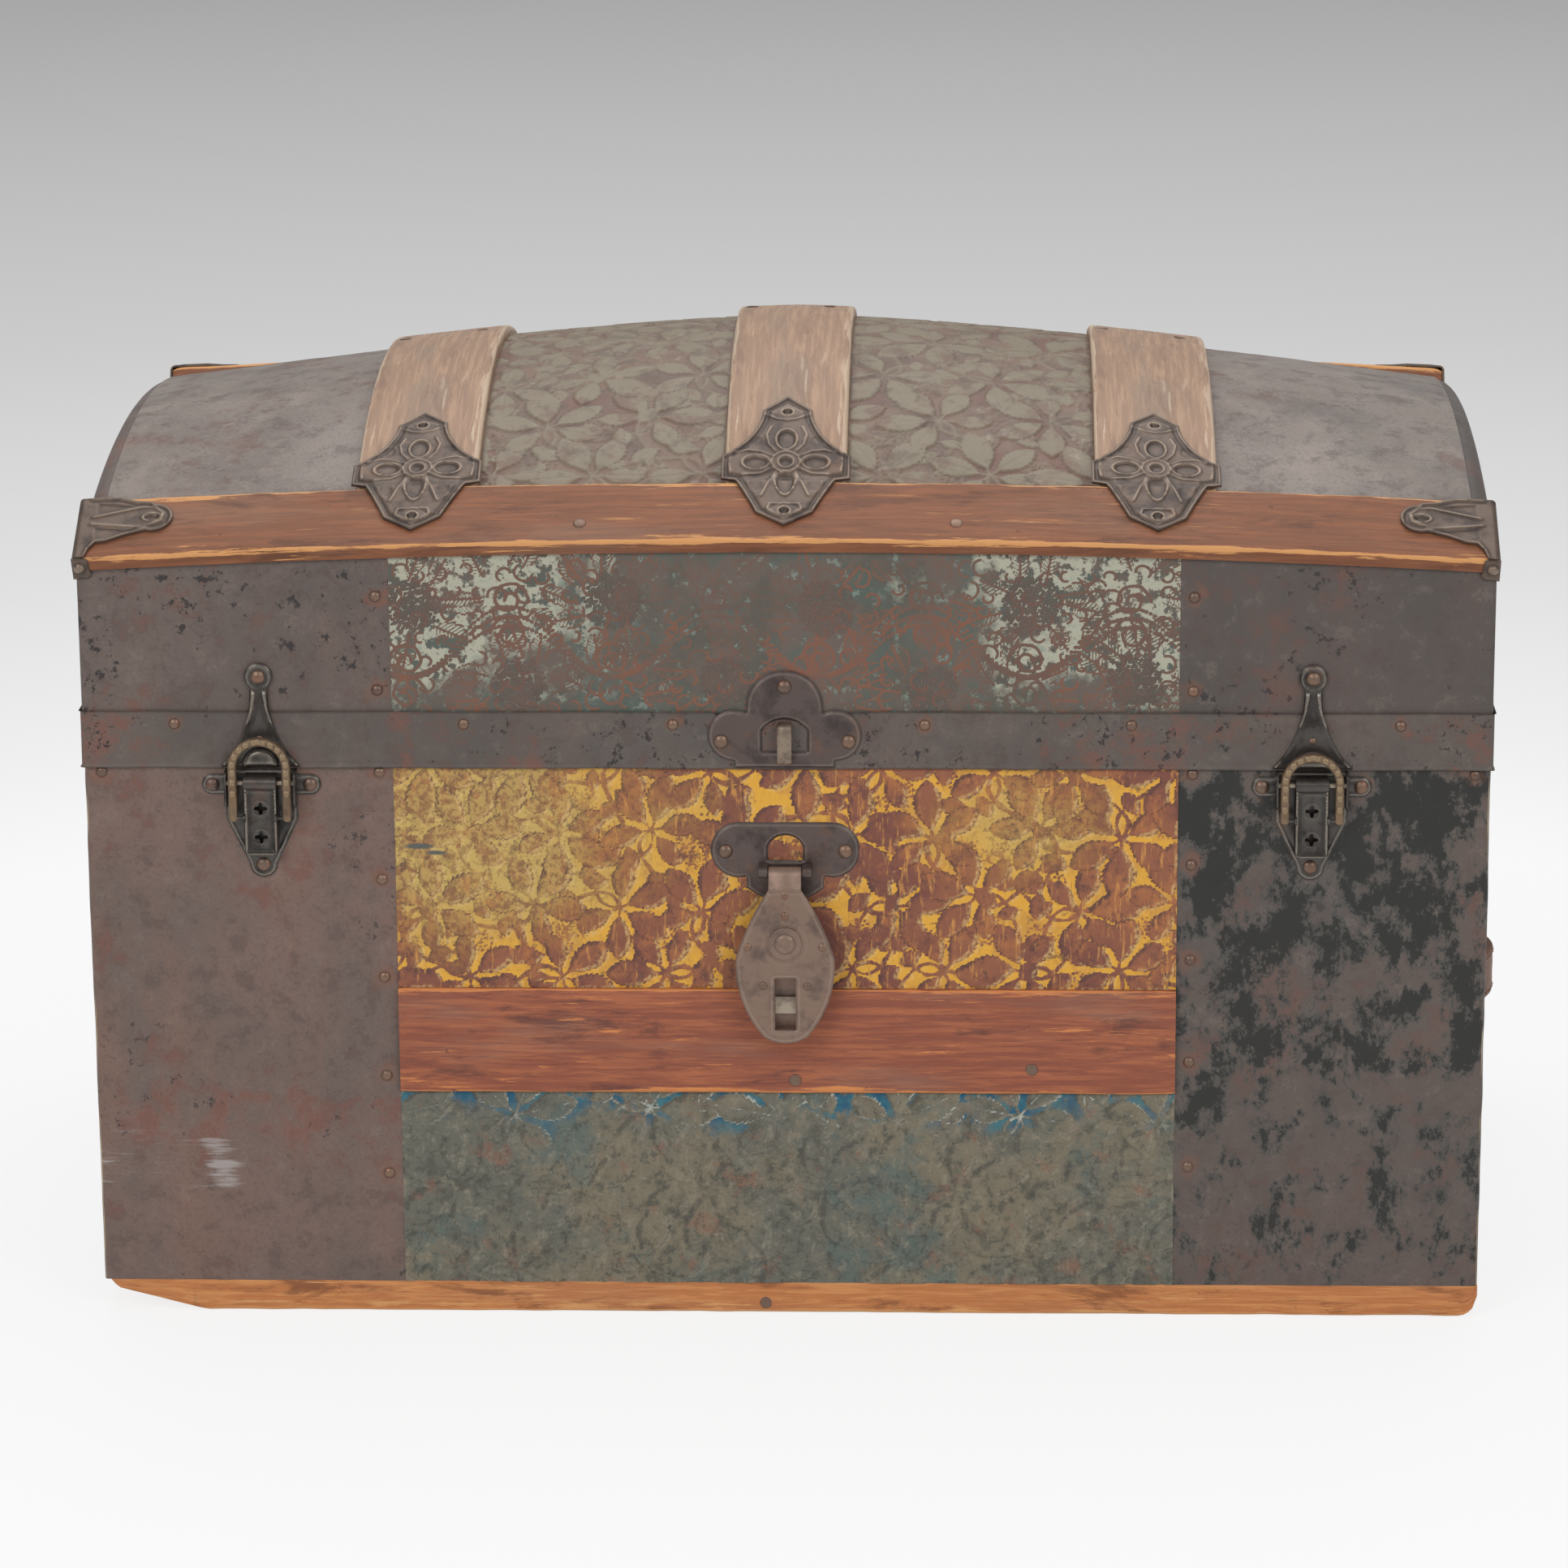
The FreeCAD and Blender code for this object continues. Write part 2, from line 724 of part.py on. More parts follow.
def corner_clamp():
    """A stamped clamp on the left end of the front rail: a pointed plate, and a cap on the end."""
    floor = rail_thickness + layer_gap
    face = floor + clamp_thickness
    inner = rail_width - rail_overhang
    start = -lid_half_length - layer_gap
    outer = start - clamp_thickness
    tip = outer + corner_clamp_length
    wide = rail_width * math.cos(slope)
    near = -lid_half_depth - rail_overhang * math.cos(slope) - floor * math.sin(slope)
    far = near + wide
    points = [
        (outer, near + 2 * corner_clamp_margin),
        (outer + corner_clamp_length * 0.35, near + wide * 0.12),
        ((outer + corner_clamp_length * 0.75, near + wide * 0.18), (tip, near + wide * 0.45)),
        (
            (outer + corner_clamp_length * 0.72, far - wide * 0.16),
            (outer + corner_clamp_length * 0.3, far - corner_clamp_margin),
        ),
        (outer, far - corner_clamp_margin),
    ]
    prism = outline(points, lambda x, y: Vector(x, y, seam_height)).extrude(Vector(0, 0, crown_height))
    plate = loft(shoulder_layer(floor, face, -rail_overhang, inner), outer, tip).common(prism)
    cap = loft(shoulder_layer(-corner_clamp_drop, face, -rail_overhang, inner), outer, start)
    return plate.fuse(cap).removeSplitter()


def make_clamps():
    side = slat_clamp(-dome_slat_spacing)
    front = [side, slat_clamp(0.0), mirror_x(side)]
    save("slat_clamps", *front, *[mirror_y(clamp) for clamp in front])
    left = corner_clamp()
    right = mirror_x(left)
    save("corner_clamps", left, right, mirror_y(left), mirror_y(right))


def nail_in(wood, x, y):
    """A nail's flat head, square to the upper face of the wood that it is driven into."""

    def height(px, py):
        plumb = Part.makeLine(Vector(px, py, seam_height), Vector(px, py, 2 * crown_height))
        return wood.common(plumb).BoundBox.ZMax

    fall_x = height(x - 1, y) - height(x + 1, y)
    fall_y = height(x, y - 1) - height(x, y + 1)
    outward = Vector(fall_x, fall_y, 2).normalize()
    at = Vector(x, y, height(x, y)) + outward * layer_gap / 2
    return dome_head(nail_radius, nail_height, at, outward)


def make_lid_tacks(rail, dome_slats):
    """Tacks in the lid's tin and its band, and nails in the rails and the dome slats."""
    heads = []
    for x in band_row_places:
        heads.append(front_head(tack_radius, tack_height, x, band_front, band_row))
    for side in (-1, 1):
        for rise in lid_column_rises:
            x, z = side * tack_column, band_row + rise
            heads.append(front_head(tack_radius, tack_height, x, lid_half_depth, z))
            heads.append(dome_head(tack_radius, tack_height, (x, lid_half_depth, z), (0, 1, 0)))
        for y in end_tack_places():
            at = (side * (lid_half_length + band_thickness), y, band_row)
            heads.append(dome_head(tack_radius, tack_height, at, (side, 0, 0)))
    for x in rail_nails:
        nail = nail_in(rail, x, -lid_half_depth + rail_nail_inset)
        heads.append(nail)
        heads.append(mirror_y(nail))
    for centre, slat in dome_slats.items():
        for offset, y in dome_slat_nails:
            heads.append(nail_in(slat, centre + offset, y))
    save("lid_tacks", *heads)


# ---------------------------------------------------------------- draw bolts


def strike():
    """The catch on the lid: a bell shaped plate with a domed nose at its foot."""
    neck = strike_neck_width / 2
    flare = strike_flare_width / 2
    side = math.sqrt(strike_head_radius ** 2 - neck ** 2)
    shoulder_z = strike_head_z - side
    waist = neck + (flare - neck) * 0.16
    waist_z = strike_bottom + (strike_head_z - strike_bottom) * 0.45
    bell = [
        (neck, shoulder_z),
        ((waist, waist_z), (flare, strike_bottom)),
        (-flare, strike_bottom),
        ((-waist, waist_z), (-neck, shoulder_z)),
        ((0.0, strike_head_z + strike_head_radius), (neck, shoulder_z)),
    ]
    plate = front_plate(bell, -band_front, latch_plate)
    half = nose_width / 2
    cheek = strike_bottom + nose_height * 0.2
    nose = [(-half, strike_bottom), (half, strike_bottom), (half, cheek)]
    nose.append(((0.0, strike_bottom + nose_height), (-half, cheek)))
    return plate.fuse(front_plate(nose, -band_front - latch_plate, nose_depth)).removeSplitter()


def latch_base():
    """The plate on the case: ears for rivets, two cheeks for the lever's pin and a round foot."""
    half = cheek_inside / 2 + cheek_thickness
    ear = ear_spacing / 2
    shoulder_z = lever_axis_z - base_shoulder_reach
    right = [
        (half, shoulder_z),
        (half, ear_z - ear_radius),
        (ear, ear_z - ear_radius),
        ((ear + ear_radius, ear_z), (ear, ear_z + ear_radius)),
        (half, ear_z + ear_radius),
        (half, lever_axis_z + base_reach_up),
    ]
    left = [
        (-half, lever_axis_z + base_reach_up),
        (-half, ear_z + ear_radius),
        (-ear, ear_z + ear_radius),
        ((-ear - ear_radius, ear_z), (-ear, ear_z - ear_radius)),
        (-half, ear_z - ear_radius),
        (-half, shoulder_z),
    ]
    foot_arc = ((0.0, base_foot_z - base_lobe_radius), (base_lobe_radius, base_foot_z))
    foot = [(-base_lobe_radius, base_foot_z), foot_arc]
    plate = front_plate(right + left + foot, -half_depth, latch_plate)
    front = -half_depth - cheek_depth
    cheek = box(
        (cheek_inside / 2, half),
        (front, -half_depth),
        (lever_axis_z - cheek_reach_down, lever_axis_z + cheek_reach_up),
    )
    tips = [
        edge for edge in cheek.Edges
        if abs(edge.CenterOfMass.y - front) < 1e-6 and abs(edge.Length - cheek_thickness) < 1e-6
    ]
    cheek = cheek.makeFillet(cheek_rounding, tips)
    hole = cross_rod(lever_pin_radius, half + 1, lever_axis_y, lever_axis_z)
    return plate.fuse([cheek, mirror_x(cheek)]).cut(hole).removeSplitter()


def lever():
    """The lever: a plate with turned edges, a rolled eye round its pin and two stubs for the loop."""
    half = lever_width / 2
    low = lever_axis_z - lever_length
    web_back = lever_axis_y + lever_thickness / 2
    corner = half * 0.35
    cut = corner * 0.3
    web = front_plate([
        (half, lever_axis_z),
        (-half, lever_axis_z),
        (-half, low + corner),
        ((-half + cut, low + cut), (-half + corner, low)),
        (half - corner, low),
        ((half - cut, low + cut), (half, low + corner)),
    ], web_back, lever_thickness)
    inner = half - lever_edge_width
    edge = box((inner, half), (lever_axis_y - lever_edge_depth, web_back), (low + corner, lever_axis_z))
    stub = rod(loop_stub_radius, (inner, loop_y, loop_z), (loop_width / 2, loop_y, loop_z))
    lug = rod(loop_eye_radius, (inner, loop_y, loop_z), (half, loop_y, loop_z))
    eye = cross_rod(lever_eye_radius, half, lever_axis_y, lever_axis_z)
    body = web.fuse([edge, mirror_x(edge), eye, stub, mirror_x(stub), lug, mirror_x(lug)])
    bore = cross_rod(lever_pin_radius + lever_pin_clearance, half + 1, lever_axis_y, lever_axis_z)
    pierced = []
    for drop in lever_piercings:
        z = lever_axis_z - drop
        behind, before = lever_axis_y + lever_eye_radius, lever_axis_y - lever_eye_radius
        pierced.append(rod(lever_piercing_radius, (0, behind, z), (0, before, z)))
    return body.cut([bore] + pierced).removeSplitter()


def loop(length):
    """The loop: a flat arched bar whose eyes hang on the lever's stubs."""
    outer = loop_width / 2
    inner = outer - loop_bar
    top = loop_z + length - loop_eye_radius
    spring = top - outer
    face = front_plate([
        (outer, loop_z),
        (outer, spring),
        ((0.0, top), (-outer, spring)),
        (-outer, loop_z),
        (-inner, loop_z),
        (-inner, spring),
        ((0.0, top - loop_bar), (inner, spring)),
        (inner, loop_z),
    ], loop_y + loop_thickness / 2, loop_thickness)
    eye = rod(loop_eye_radius, (inner, loop_y, loop_z), (outer, loop_y, loop_z))
    hole = cross_rod(loop_stub_radius + loop_stub_clearance, outer + 1, loop_y, loop_z)
    return face.fuse([eye, mirror_x(eye)]).cut(hole).removeSplitter()


def at_draw_bolts(shape):
    """The same piece at the left and at the right draw bolt."""
    return [shape.translated(Vector(side * draw_bolt_x, 0, 0)) for side in (-1, 1)]


def make_draw_bolts():
    save("latch_strikes", *at_draw_bolts(strike()))
    save("latch_bases", *at_draw_bolts(latch_base()))
    left_lever, right_lever = at_draw_bolts(lever())
    save("left_lever", left_lever)
    save("right_lever", right_lever)
    save("left_loop", loop(left_loop_length).translated(Vector(-draw_bolt_x, 0, 0)))
    save("right_loop", loop(right_loop_length).translated(Vector(draw_bolt_x, 0, 0)))


# ---------------------------------------------------------------- lock


def hasp_outline(margin=0.0, top_drop=hasp_top_drop):
    """The hasp's leaf, hanging down from top_drop under its pin, drawn in by margin all round."""
    neck = hasp_neck_width / 2 - margin
    wide = hasp_width / 2 - margin
    foot_half = hasp_foot_width / 2 - margin
    top = hasp_axis_z - top_drop
    wide_z = hasp_axis_z - hasp_wide_drop
    low = hasp_axis_z - hasp_length + margin
    shoulder_half = neck + (wide - neck) * 0.62
    shoulder_z = top + (wide_z - top) * 0.52
    waist = foot_half + (wide - foot_half) * 0.72
    waist_z = wide_z + (low - wide_z) * 0.55
    foot_z = low + foot_half * 0.3
    return [
        (neck, top),
        ((shoulder_half, shoulder_z), (wide, wide_z)),
        ((waist, waist_z), (foot_half, foot_z)),
        ((0.0, low), (-foot_half, foot_z)),
        ((-waist, waist_z), (-wide, wide_z)),
        ((-shoulder_half, shoulder_z), (-neck, top)),
    ]


def staple_plate():
    """The clover shaped plate on the lid, with a window that the staple stands in."""
    spread = upper_lobe_spacing / 2
    lobe_z = seam_height + upper_lobe_rise
    crown_z = seam_height + upper_crown_rise
    front = -band_front - lock_plate
    bottom = band_bottom + upper_foot_rise
    crown_disc = rod(upper_crown_radius, (0, -band_front, crown_z), (0, front, crown_z))
    lobes = []
    for side in (-1, 1):
        x = side * spread
        lobes.append(rod(upper_lobe_radius, (x, -band_front, lobe_z), (x, front, lobe_z)))
    foot_plate = box((-spread, spread), (front, -band_front), (bottom, lobe_z))
    below = box((-panel_width, panel_width), (2 * front, 0), (0, bottom))
    half = window_width / 2
    top = window_sill + window_height
    arch = top - window_arch
    window = front_plate(
        [(-half, window_sill), (half, window_sill), (half, arch), ((0.0, top), (-half, arch))],
        -band_front + 1, lock_plate + 2,
    )
    return crown_disc.fuse(lobes + [foot_plate]).cut([below, window]).removeSplitter()


def staple():
    """An upright staple, bent to a D: a bar that stands out from the lid on two legs."""
    half = staple_width / 2
    plate_face = -band_front - lock_plate
    front = plate_face - staple_reach
    bottom = band_bottom + staple_foot_rise
    top = bottom + staple_height
    body = box((-half, half), (front, -band_front), (bottom, top))
    corners = [
        edge for edge in body.Edges
        if abs(edge.CenterOfMass.y - front) < 1e-6 and abs(edge.Length - staple_width) < 1e-6
    ]
    body = body.makeFillet(staple_bar * 0.9, corners)
    eye = (window_sill + staple_bar, top - staple_bar)
    hole = box((-half, half), (front + staple_bar, plate_face), eye)
    under_sill = box((-half, half), (plate_face, -band_front), (0, window_sill))
    return body.cut([hole, under_sill])


def lock_lower_plate():
    """The plate on the case that carries the hasp's hinge, with an aperture over its knuckles."""
    spread = lower_lobe_spacing / 2
    top = seam_height - lower_plate_drop
    bottom = top - lower_plate_height
    lobe_z = top - lower_lobe_radius
    waist = lobe_z - lower_lobe_radius * 0.6
    front = -half_depth - lock_plate
    pieces = []
    for side in (-1, 1):
        x = side * spread
        pieces.append(rod(lower_lobe_radius, (x, -half_depth, lobe_z), (x, front, lobe_z)))
        limits = sorted((side * hasp_knuckle_end, side * hasp_pin_end))
        arm_z = (hasp_axis_z - hasp_knuckle_radius, hasp_axis_z + hasp_knuckle_radius)
        pieces.append(box(limits, (hasp_axis_y, -half_depth), arm_z))
        ends = [(limit, hasp_axis_y, hasp_axis_z) for limit in limits]
        pieces.append(rod(hasp_knuckle_radius, *ends))
    neck = lower_neck_width / 2
    corner = bottom + lower_neck_rounding
    tail = [(neck, waist), (neck * 0.92, corner), ((0.0, bottom), (-neck * 0.92, corner)), (-neck, waist)]
    pieces.append(front_plate(tail, -half_depth, lock_plate))
    bridge = box((-spread, spread), (front, -half_depth), (waist, top))

    half = aperture_width / 2
    sill = hasp_axis_z + hasp_knuckle_radius + aperture_margin
    head = sill + aperture_height
    arch = head - aperture_arch
    aperture = front_plate(
        [(-half, sill), (half, sill), (half, arch), ((0.0, head), (-half, arch))],
        -half_depth + 1, lock_plate + 2,
    )
    bore = cross_rod(hasp_pin_radius, hasp_pin_end + 1, hasp_axis_y, hasp_axis_z)
    return bridge.fuse(pieces).cut([aperture, bore]).removeSplitter()


def slot_box(y):
    """The space of the hasp's slot between two limits in Y."""
    return box((-hasp_slot_width / 2, hasp_slot_width / 2), y, (slot_top - hasp_slot_length, slot_top))


def hasp():
    """The hinged leaf: a knuckle, a strap and a pear shaped plate with a slot for the staple."""
    leaf = front_plate(hasp_outline(), -hasp_back, hasp_plate)
    half = hasp_knuckle_width / 2
    knuckle = cross_rod(hasp_knuckle_radius, half, hasp_axis_y, hasp_axis_z)
    top = hasp_axis_z - hasp_top_drop
    strap = end_plate([
        (hasp_axis_y - hasp_knuckle_radius * 0.7, hasp_axis_z + hasp_knuckle_radius * 0.6),
        (-hasp_front, top),
        (-hasp_front, top - hasp_strap_lap),
        (-hasp_back, top - hasp_strap_lap),
        (hasp_axis_y, hasp_axis_z - hasp_knuckle_radius),
    ], -half, hasp_knuckle_width)
    bore = cross_rod(hasp_pin_radius + hasp_pin_clearance, half + 1, hasp_axis_y, hasp_axis_z)
    slot = slot_box((-hasp_front - 1, -hasp_back + 1))
    return leaf.fuse([knuckle, strap]).cut([bore, slot]).removeSplitter()


def lock_case():
    """The lock's case behind the leaf: a box of the same outline with a pocket for staple and bolt."""
    rear = -hasp_back + lock_case_depth
    body = front_plate(hasp_outline(lock_case_margin, lock_case_drop), rear, lock_case_depth)
    slot = slot_box((-hasp_back - 1, -hasp_back + lock_pocket_depth))
    return body.cut([slot, lock_bolt_room()])


def lock_bolt_limits(clearance=0.0):
    """Limits of the sliding bolt at rest, grown by clearance."""
    floor_y = -hasp_back + lock_pocket_depth
    middle = hasp_axis_z - lock_bolt_drop
    half = lock_bolt_width / 2 + clearance
    rise = lock_bolt_height / 2 + clearance
    return (-half, half), (floor_y - lock_bolt_depth - clearance, floor_y), (middle - rise, middle + rise)


def lock_bolt_room():
    """The channel that the bolt slides in."""
    x, y, z = lock_bolt_limits(lock_bolt_clearance)
    return box((x[0], x[1] + lock_bolt_travel), y, z)


def lock_bolt():
    x, y, z = lock_bolt_limits()
    return box(x, (y[0], y[1] - lock_bolt_clearance), z)


def hasp_heads():
    """Six rivets and the round boss on the hasp's leaf."""
    heads = []
    for x, drop in hasp_rivets:
        heads.append(front_head(hasp_rivet_radius, hasp_rivet_height, x, hasp_front, hasp_axis_z - drop))
    boss_z = hasp_axis_z - hasp_boss_drop
    boss_face = hasp_front + hasp_boss_thickness
    disc = rod(hasp_boss_radius, (0, -hasp_front, boss_z), (0, -boss_face, boss_z))
    heads.append(disc.fuse(front_head(hasp_knob_radius, hasp_knob_height, 0, boss_face, boss_z)))
    return heads


def make_lock():
    save("staple_plate", staple_plate())
    save("staple", staple())
    save("lock_lower_plate", lock_lower_plate())
    save("hasp", hasp())
    save("lock_case", lock_case())
    save("lock_bolt", lock_bolt())
    save("hasp_rivets", *hasp_heads())


def make_latch_pins():
    """The pins of both levers and of the hasp."""
    pin = cross_rod(lever_pin_radius, cheek_inside / 2 + cheek_thickness, lever_axis_y, lever_axis_z)
    hasp_pin = cross_rod(hasp_pin_radius, hasp_pin_end, hasp_axis_y, hasp_axis_z)
    save("latch_pins", hasp_pin, *at_draw_bolts(pin))


# ---------------------------------------------------------------- handles


def handle():
    """The right handle: a leather strap that bulges out between two riveted caps."""
    wall = half_length + handle_clearance
    out = wall + handle_strap
    bulge = half_length + handle_bulge
    end = handle_span / 2
    tab = end + cap_end - cap_length
    points = [
        (wall, -end),
        (out, -end),
        (out, -tab),
        ((bulge, 0.0), (out, tab)),
        (out, end),
        (wall, end),
        (wall, tab),
        ((bulge - handle_strap, 0.0), (wall, -tab)),
    ]
    low = handle_height - handle_width / 2
    return outline(points, lambda x, y: Vector(x, y, low)).extrude(Vector(0, 0, handle_width))


def handle_cap(side):
    """A pressed cap over one end of the strap, open towards the middle of the handle."""
    outer = side * (handle_span / 2 + cap_end)
    inner = outer - side * cap_length
    front = half_length + cap_depth
    z = (handle_height - cap_width / 2, handle_height + cap_width / 2)
    body = box((half_length, front), sorted((outer, inner)), z)
    body = body.makeFillet(cap_rounding, [e for e in body.Edges if abs(e.CenterOfMass.x - front) < 1e-6])
    rise = handle_width / 2 + handle_clearance
    room = box(
        (half_length - 1, half_length + handle_strap + 2 * handle_clearance),
        sorted((side * (handle_span / 2 + handle_clearance), inner - side)),
        (handle_height - rise, handle_height + rise),
    )
    return body.cut(room)


def make_handles():
    right = handle()
    save("right_handle", right)
    save("left_handle", mirror_x(right))
    caps = [handle_cap(-1), handle_cap(1)]
    save("handle_caps", *caps, *[mirror_x(cap) for cap in caps])


# ---------------------------------------------------------------- rear hinges


def hinge_leaf(on_lid):
    """One leaf of a rear hinge, with its knuckles: the middle one on the lid, the outer two on the case."""
    half = hinge_leaf_width / 2
    middle = hinge_middle_knuckle / 2
    gap = middle + knuckle_gap
    if on_lid:
        face = lid_half_depth
        start = lid_bottom + hinge_leaf_margin
        knuckles = [(-middle, middle)]
        others = [(-half - 1, -middle), (middle, half + 1)]
        arm = (seam_height, start + hinge_arm_height)
        bore = hinge_pin_radius + hinge_pin_clearance
    else:
        face = half_depth
        start = seam_height - hinge_leaf_margin - hinge_leaf_height
        knuckles = [(-half, -gap), (gap, half)]
        others = [(-gap, gap)]
        arm = (seam_height - hinge_leaf_margin - hinge_arm_height, seam_height)
        bore = hinge_pin_radius
    leaf = box((-half, half), (face, face + hinge_leaf_thickness), (start, start + hinge_leaf_height))
    pieces = []
    for low, high in knuckles:
        ends = [(limit, hinge_axis_y, seam_height) for limit in (low, high)]
        pieces.append(rod(hinge_knuckle_radius, *ends))
        pieces.append(box((low, high), (face, hinge_axis_y), arm))
    cuts = [cross_rod(bore, half + 1, hinge_axis_y, seam_height)]
    for low, high in others:
        ends = [(limit, hinge_axis_y, seam_height) for limit in (low, high)]
        cuts.append(rod(hinge_knuckle_radius + knuckle_gap, *ends))
    return leaf.fuse(pieces).cut(cuts).removeSplitter()


def make_hinges():
    places = [Vector(side * hinge_x, 0, 0) for side in (-1, 1)]
    pin = cross_rod(hinge_pin_radius, hinge_leaf_width / 2, hinge_axis_y, seam_height)
    save("hinge_case_leaves", *[hinge_leaf(False).translated(place) for place in places])
    save("hinge_lid_leaves", *[hinge_leaf(True).translated(place) for place in places])
    save("hinge_pins", *[pin.translated(place) for place in places])


# ---------------------------------------------------------------- rivets


def make_rivets():
    """Rivets that hold the draw bolts, the lock plates, the handle caps and the hinges."""
    case_heads = []
    lid_heads = []
    base_face = half_depth + latch_plate
    strike_face = band_front + latch_plate
    for side in (-1, 1):
        x = side * draw_bolt_x
        for end in (-1, 1):
            ear_x = x + end * ear_spacing / 2
            case_heads.append(front_head(rivet_radius, rivet_height, ear_x, base_face, ear_z))
        case_heads.append(front_head(rivet_radius, rivet_height, x, base_face, base_foot_z))
        lid_heads.append(front_head(rivet_radius, rivet_height, x, strike_face, strike_head_z))
        pin_z = strike_bottom + nose_height + strike_pin_rise
        lid_heads.append(front_head(strike_pin_radius, strike_pin_height, x, strike_face, pin_z))

        x = side * lower_rivet_spacing / 2
        z = seam_height - lower_plate_drop - lower_rivet_drop
        case_heads.append(front_head(rivet_radius, rivet_height, x, half_depth + lock_plate, z))
        x = side * upper_side_rivet_spacing / 2
        z = seam_height + upper_side_rivet_rise
        lid_heads.append(front_head(rivet_radius, rivet_height, x, band_front + lock_plate, z))

        x = side * (half_length + cap_depth)
        for end in (-1, 1):
            y = end * (handle_span / 2 + cap_end - cap_rivet_inset)
            for z in (handle_height - cap_rivet_spacing / 2, handle_height + cap_rivet_spacing / 2):
                case_heads.append(dome_head(rivet_radius, rivet_height, (x, y, z), (side, 0, 0)))

        for end in (-1, 1):
            x = side * hinge_x + end * hinge_rivet_spacing / 2
            at = (x, half_depth + hinge_leaf_thickness, seam_height - hinge_rivet_offset)
            case_heads.append(dome_head(rivet_radius, rivet_height, at, (0, 1, 0)))
            at = (x, lid_half_depth + hinge_leaf_thickness, seam_height + hinge_rivet_offset)
            lid_heads.append(dome_head(rivet_radius, rivet_height, at, (0, 1, 0)))
    z = seam_height + upper_rivet_rise
    lid_heads.append(front_head(rivet_radius, rivet_height, 0.0, band_front + lock_plate, z))
    save("case_rivets", *case_heads)
    save("lid_rivets", *lid_heads)


make_skids()
make_case_boards()
make_case_sheets()
make_case_tacks()
make_lid_boards()
make_staves()
make_lid_sheets()
make_lid_band()
rail_wood = make_rails()
slat_wood = make_dome_slats()
make_clamps()
make_lid_tacks(rail_wood, slat_wood)
make_draw_bolts()
make_lock()
make_latch_pins()
make_handles()
make_hinges()
make_rivets()
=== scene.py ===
# %% [markdown]
# # Dome top trunk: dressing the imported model
# The trunk is a boarded case and an arched lid, both covered in tin, with wooden rails, slats and skids,
# stamped clamps, draw bolts and a hasp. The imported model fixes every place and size, and this file adds
# the surfaces: embossing, worn paint, rust, grain and stitching. The camera, the lamps and the textures
# are given in metres. Shapes are worked out in millimetres and turned into metres when a mesh is made.

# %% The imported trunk
import math

import bmesh
import bpy
import numpy as np
from mathutils import Matrix, Vector


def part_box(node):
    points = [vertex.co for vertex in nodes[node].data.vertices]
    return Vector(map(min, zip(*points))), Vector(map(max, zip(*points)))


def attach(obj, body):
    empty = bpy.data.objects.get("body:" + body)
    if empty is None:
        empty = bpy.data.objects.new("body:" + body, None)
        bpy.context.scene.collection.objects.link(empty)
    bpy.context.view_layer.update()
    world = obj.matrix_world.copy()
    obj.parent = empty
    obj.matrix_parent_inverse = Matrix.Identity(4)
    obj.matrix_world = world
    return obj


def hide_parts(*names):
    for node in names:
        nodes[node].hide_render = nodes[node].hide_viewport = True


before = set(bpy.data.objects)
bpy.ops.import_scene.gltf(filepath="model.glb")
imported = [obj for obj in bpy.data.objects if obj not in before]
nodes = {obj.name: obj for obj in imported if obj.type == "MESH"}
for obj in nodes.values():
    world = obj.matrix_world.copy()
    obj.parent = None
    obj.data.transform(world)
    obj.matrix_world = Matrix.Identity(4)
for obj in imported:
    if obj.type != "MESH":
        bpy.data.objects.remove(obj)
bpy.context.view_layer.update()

# %% [markdown]
# The camera comes first, because every surface is judged through it. A long lens stands a little to the
# right of the middle and looks down on the lid. The floor is one wide disc, white near the trunk and
# greyer with distance, so the background is pale from every side and needs no wall. Light Path keeps the
# white for camera and mirror rays only, and a share of plain diffuse keeps the trunk's soft shadow.

# %% Camera, floor and light
mm = 0.001
scene = bpy.context.scene
scene.view_settings.view_transform = "Standard"


def add_camera(place, pitch, turn, roll, lens):
    camera = bpy.data.objects.new("camera", bpy.data.cameras.new("camera"))
    scene.collection.objects.link(camera)
    camera.location = place
    facing = Matrix.Rotation(math.radians(turn), 3, "Z") @ Matrix.Rotation(math.radians(90 - pitch), 3, "X")
    camera.rotation_euler = (facing @ Matrix.Rotation(math.radians(roll), 3, "Z")).to_euler()
    camera.data.lens = lens
    camera.data.sensor_width = 36.0
    camera.data.clip_end = 100.0
    scene.camera = camera


def add_lamp(name, place, target, size, power):
    lamp = bpy.data.objects.new(name, bpy.data.lights.new(name, "AREA"))
    scene.collection.objects.link(lamp)
    lamp.location = place
    lamp.rotation_euler = (Vector(target) - Vector(place)).to_track_quat("-Z", "Y").to_euler()
    lamp.data.size = size
    lamp.data.energy = power


add_camera((0.1106, -3.4445, 1.2129), pitch=15.465, turn=1.98, roll=-0.38, lens=133.77)
add_lamp("front_left", (-2.2, -3.4, 2.6), (0, 0, 0.25), 2.2, 66.0)
add_lamp("front_right", (2.4, -3.2, 2.4), (0, 0, 0.25), 2.2, 54.0)
add_lamp("overhead", (0.0, 0.9, 2.8), (0, 0, 0.4), 2.4, 40.0)
world = bpy.data.worlds.new("studio")
scene.world = world
world.use_nodes = True
world.node_tree.nodes["Background"].inputs["Color"].default_value = (1, 1, 1, 1)
world.node_tree.nodes["Background"].inputs["Strength"].default_value = 0.38

# %% [markdown]
# A finish here is a stack of layers: a base colour, then rust, dust or bare metal where a mask says so.
# Blender builds such stacks from small nodes, which takes many lines when each node is written out. A
# small class keeps the node tree and gives each kind of node one short method, so a finish reads like a
# recipe. A mask is either procedural noise on Object coordinates or an attribute stored on the mesh.

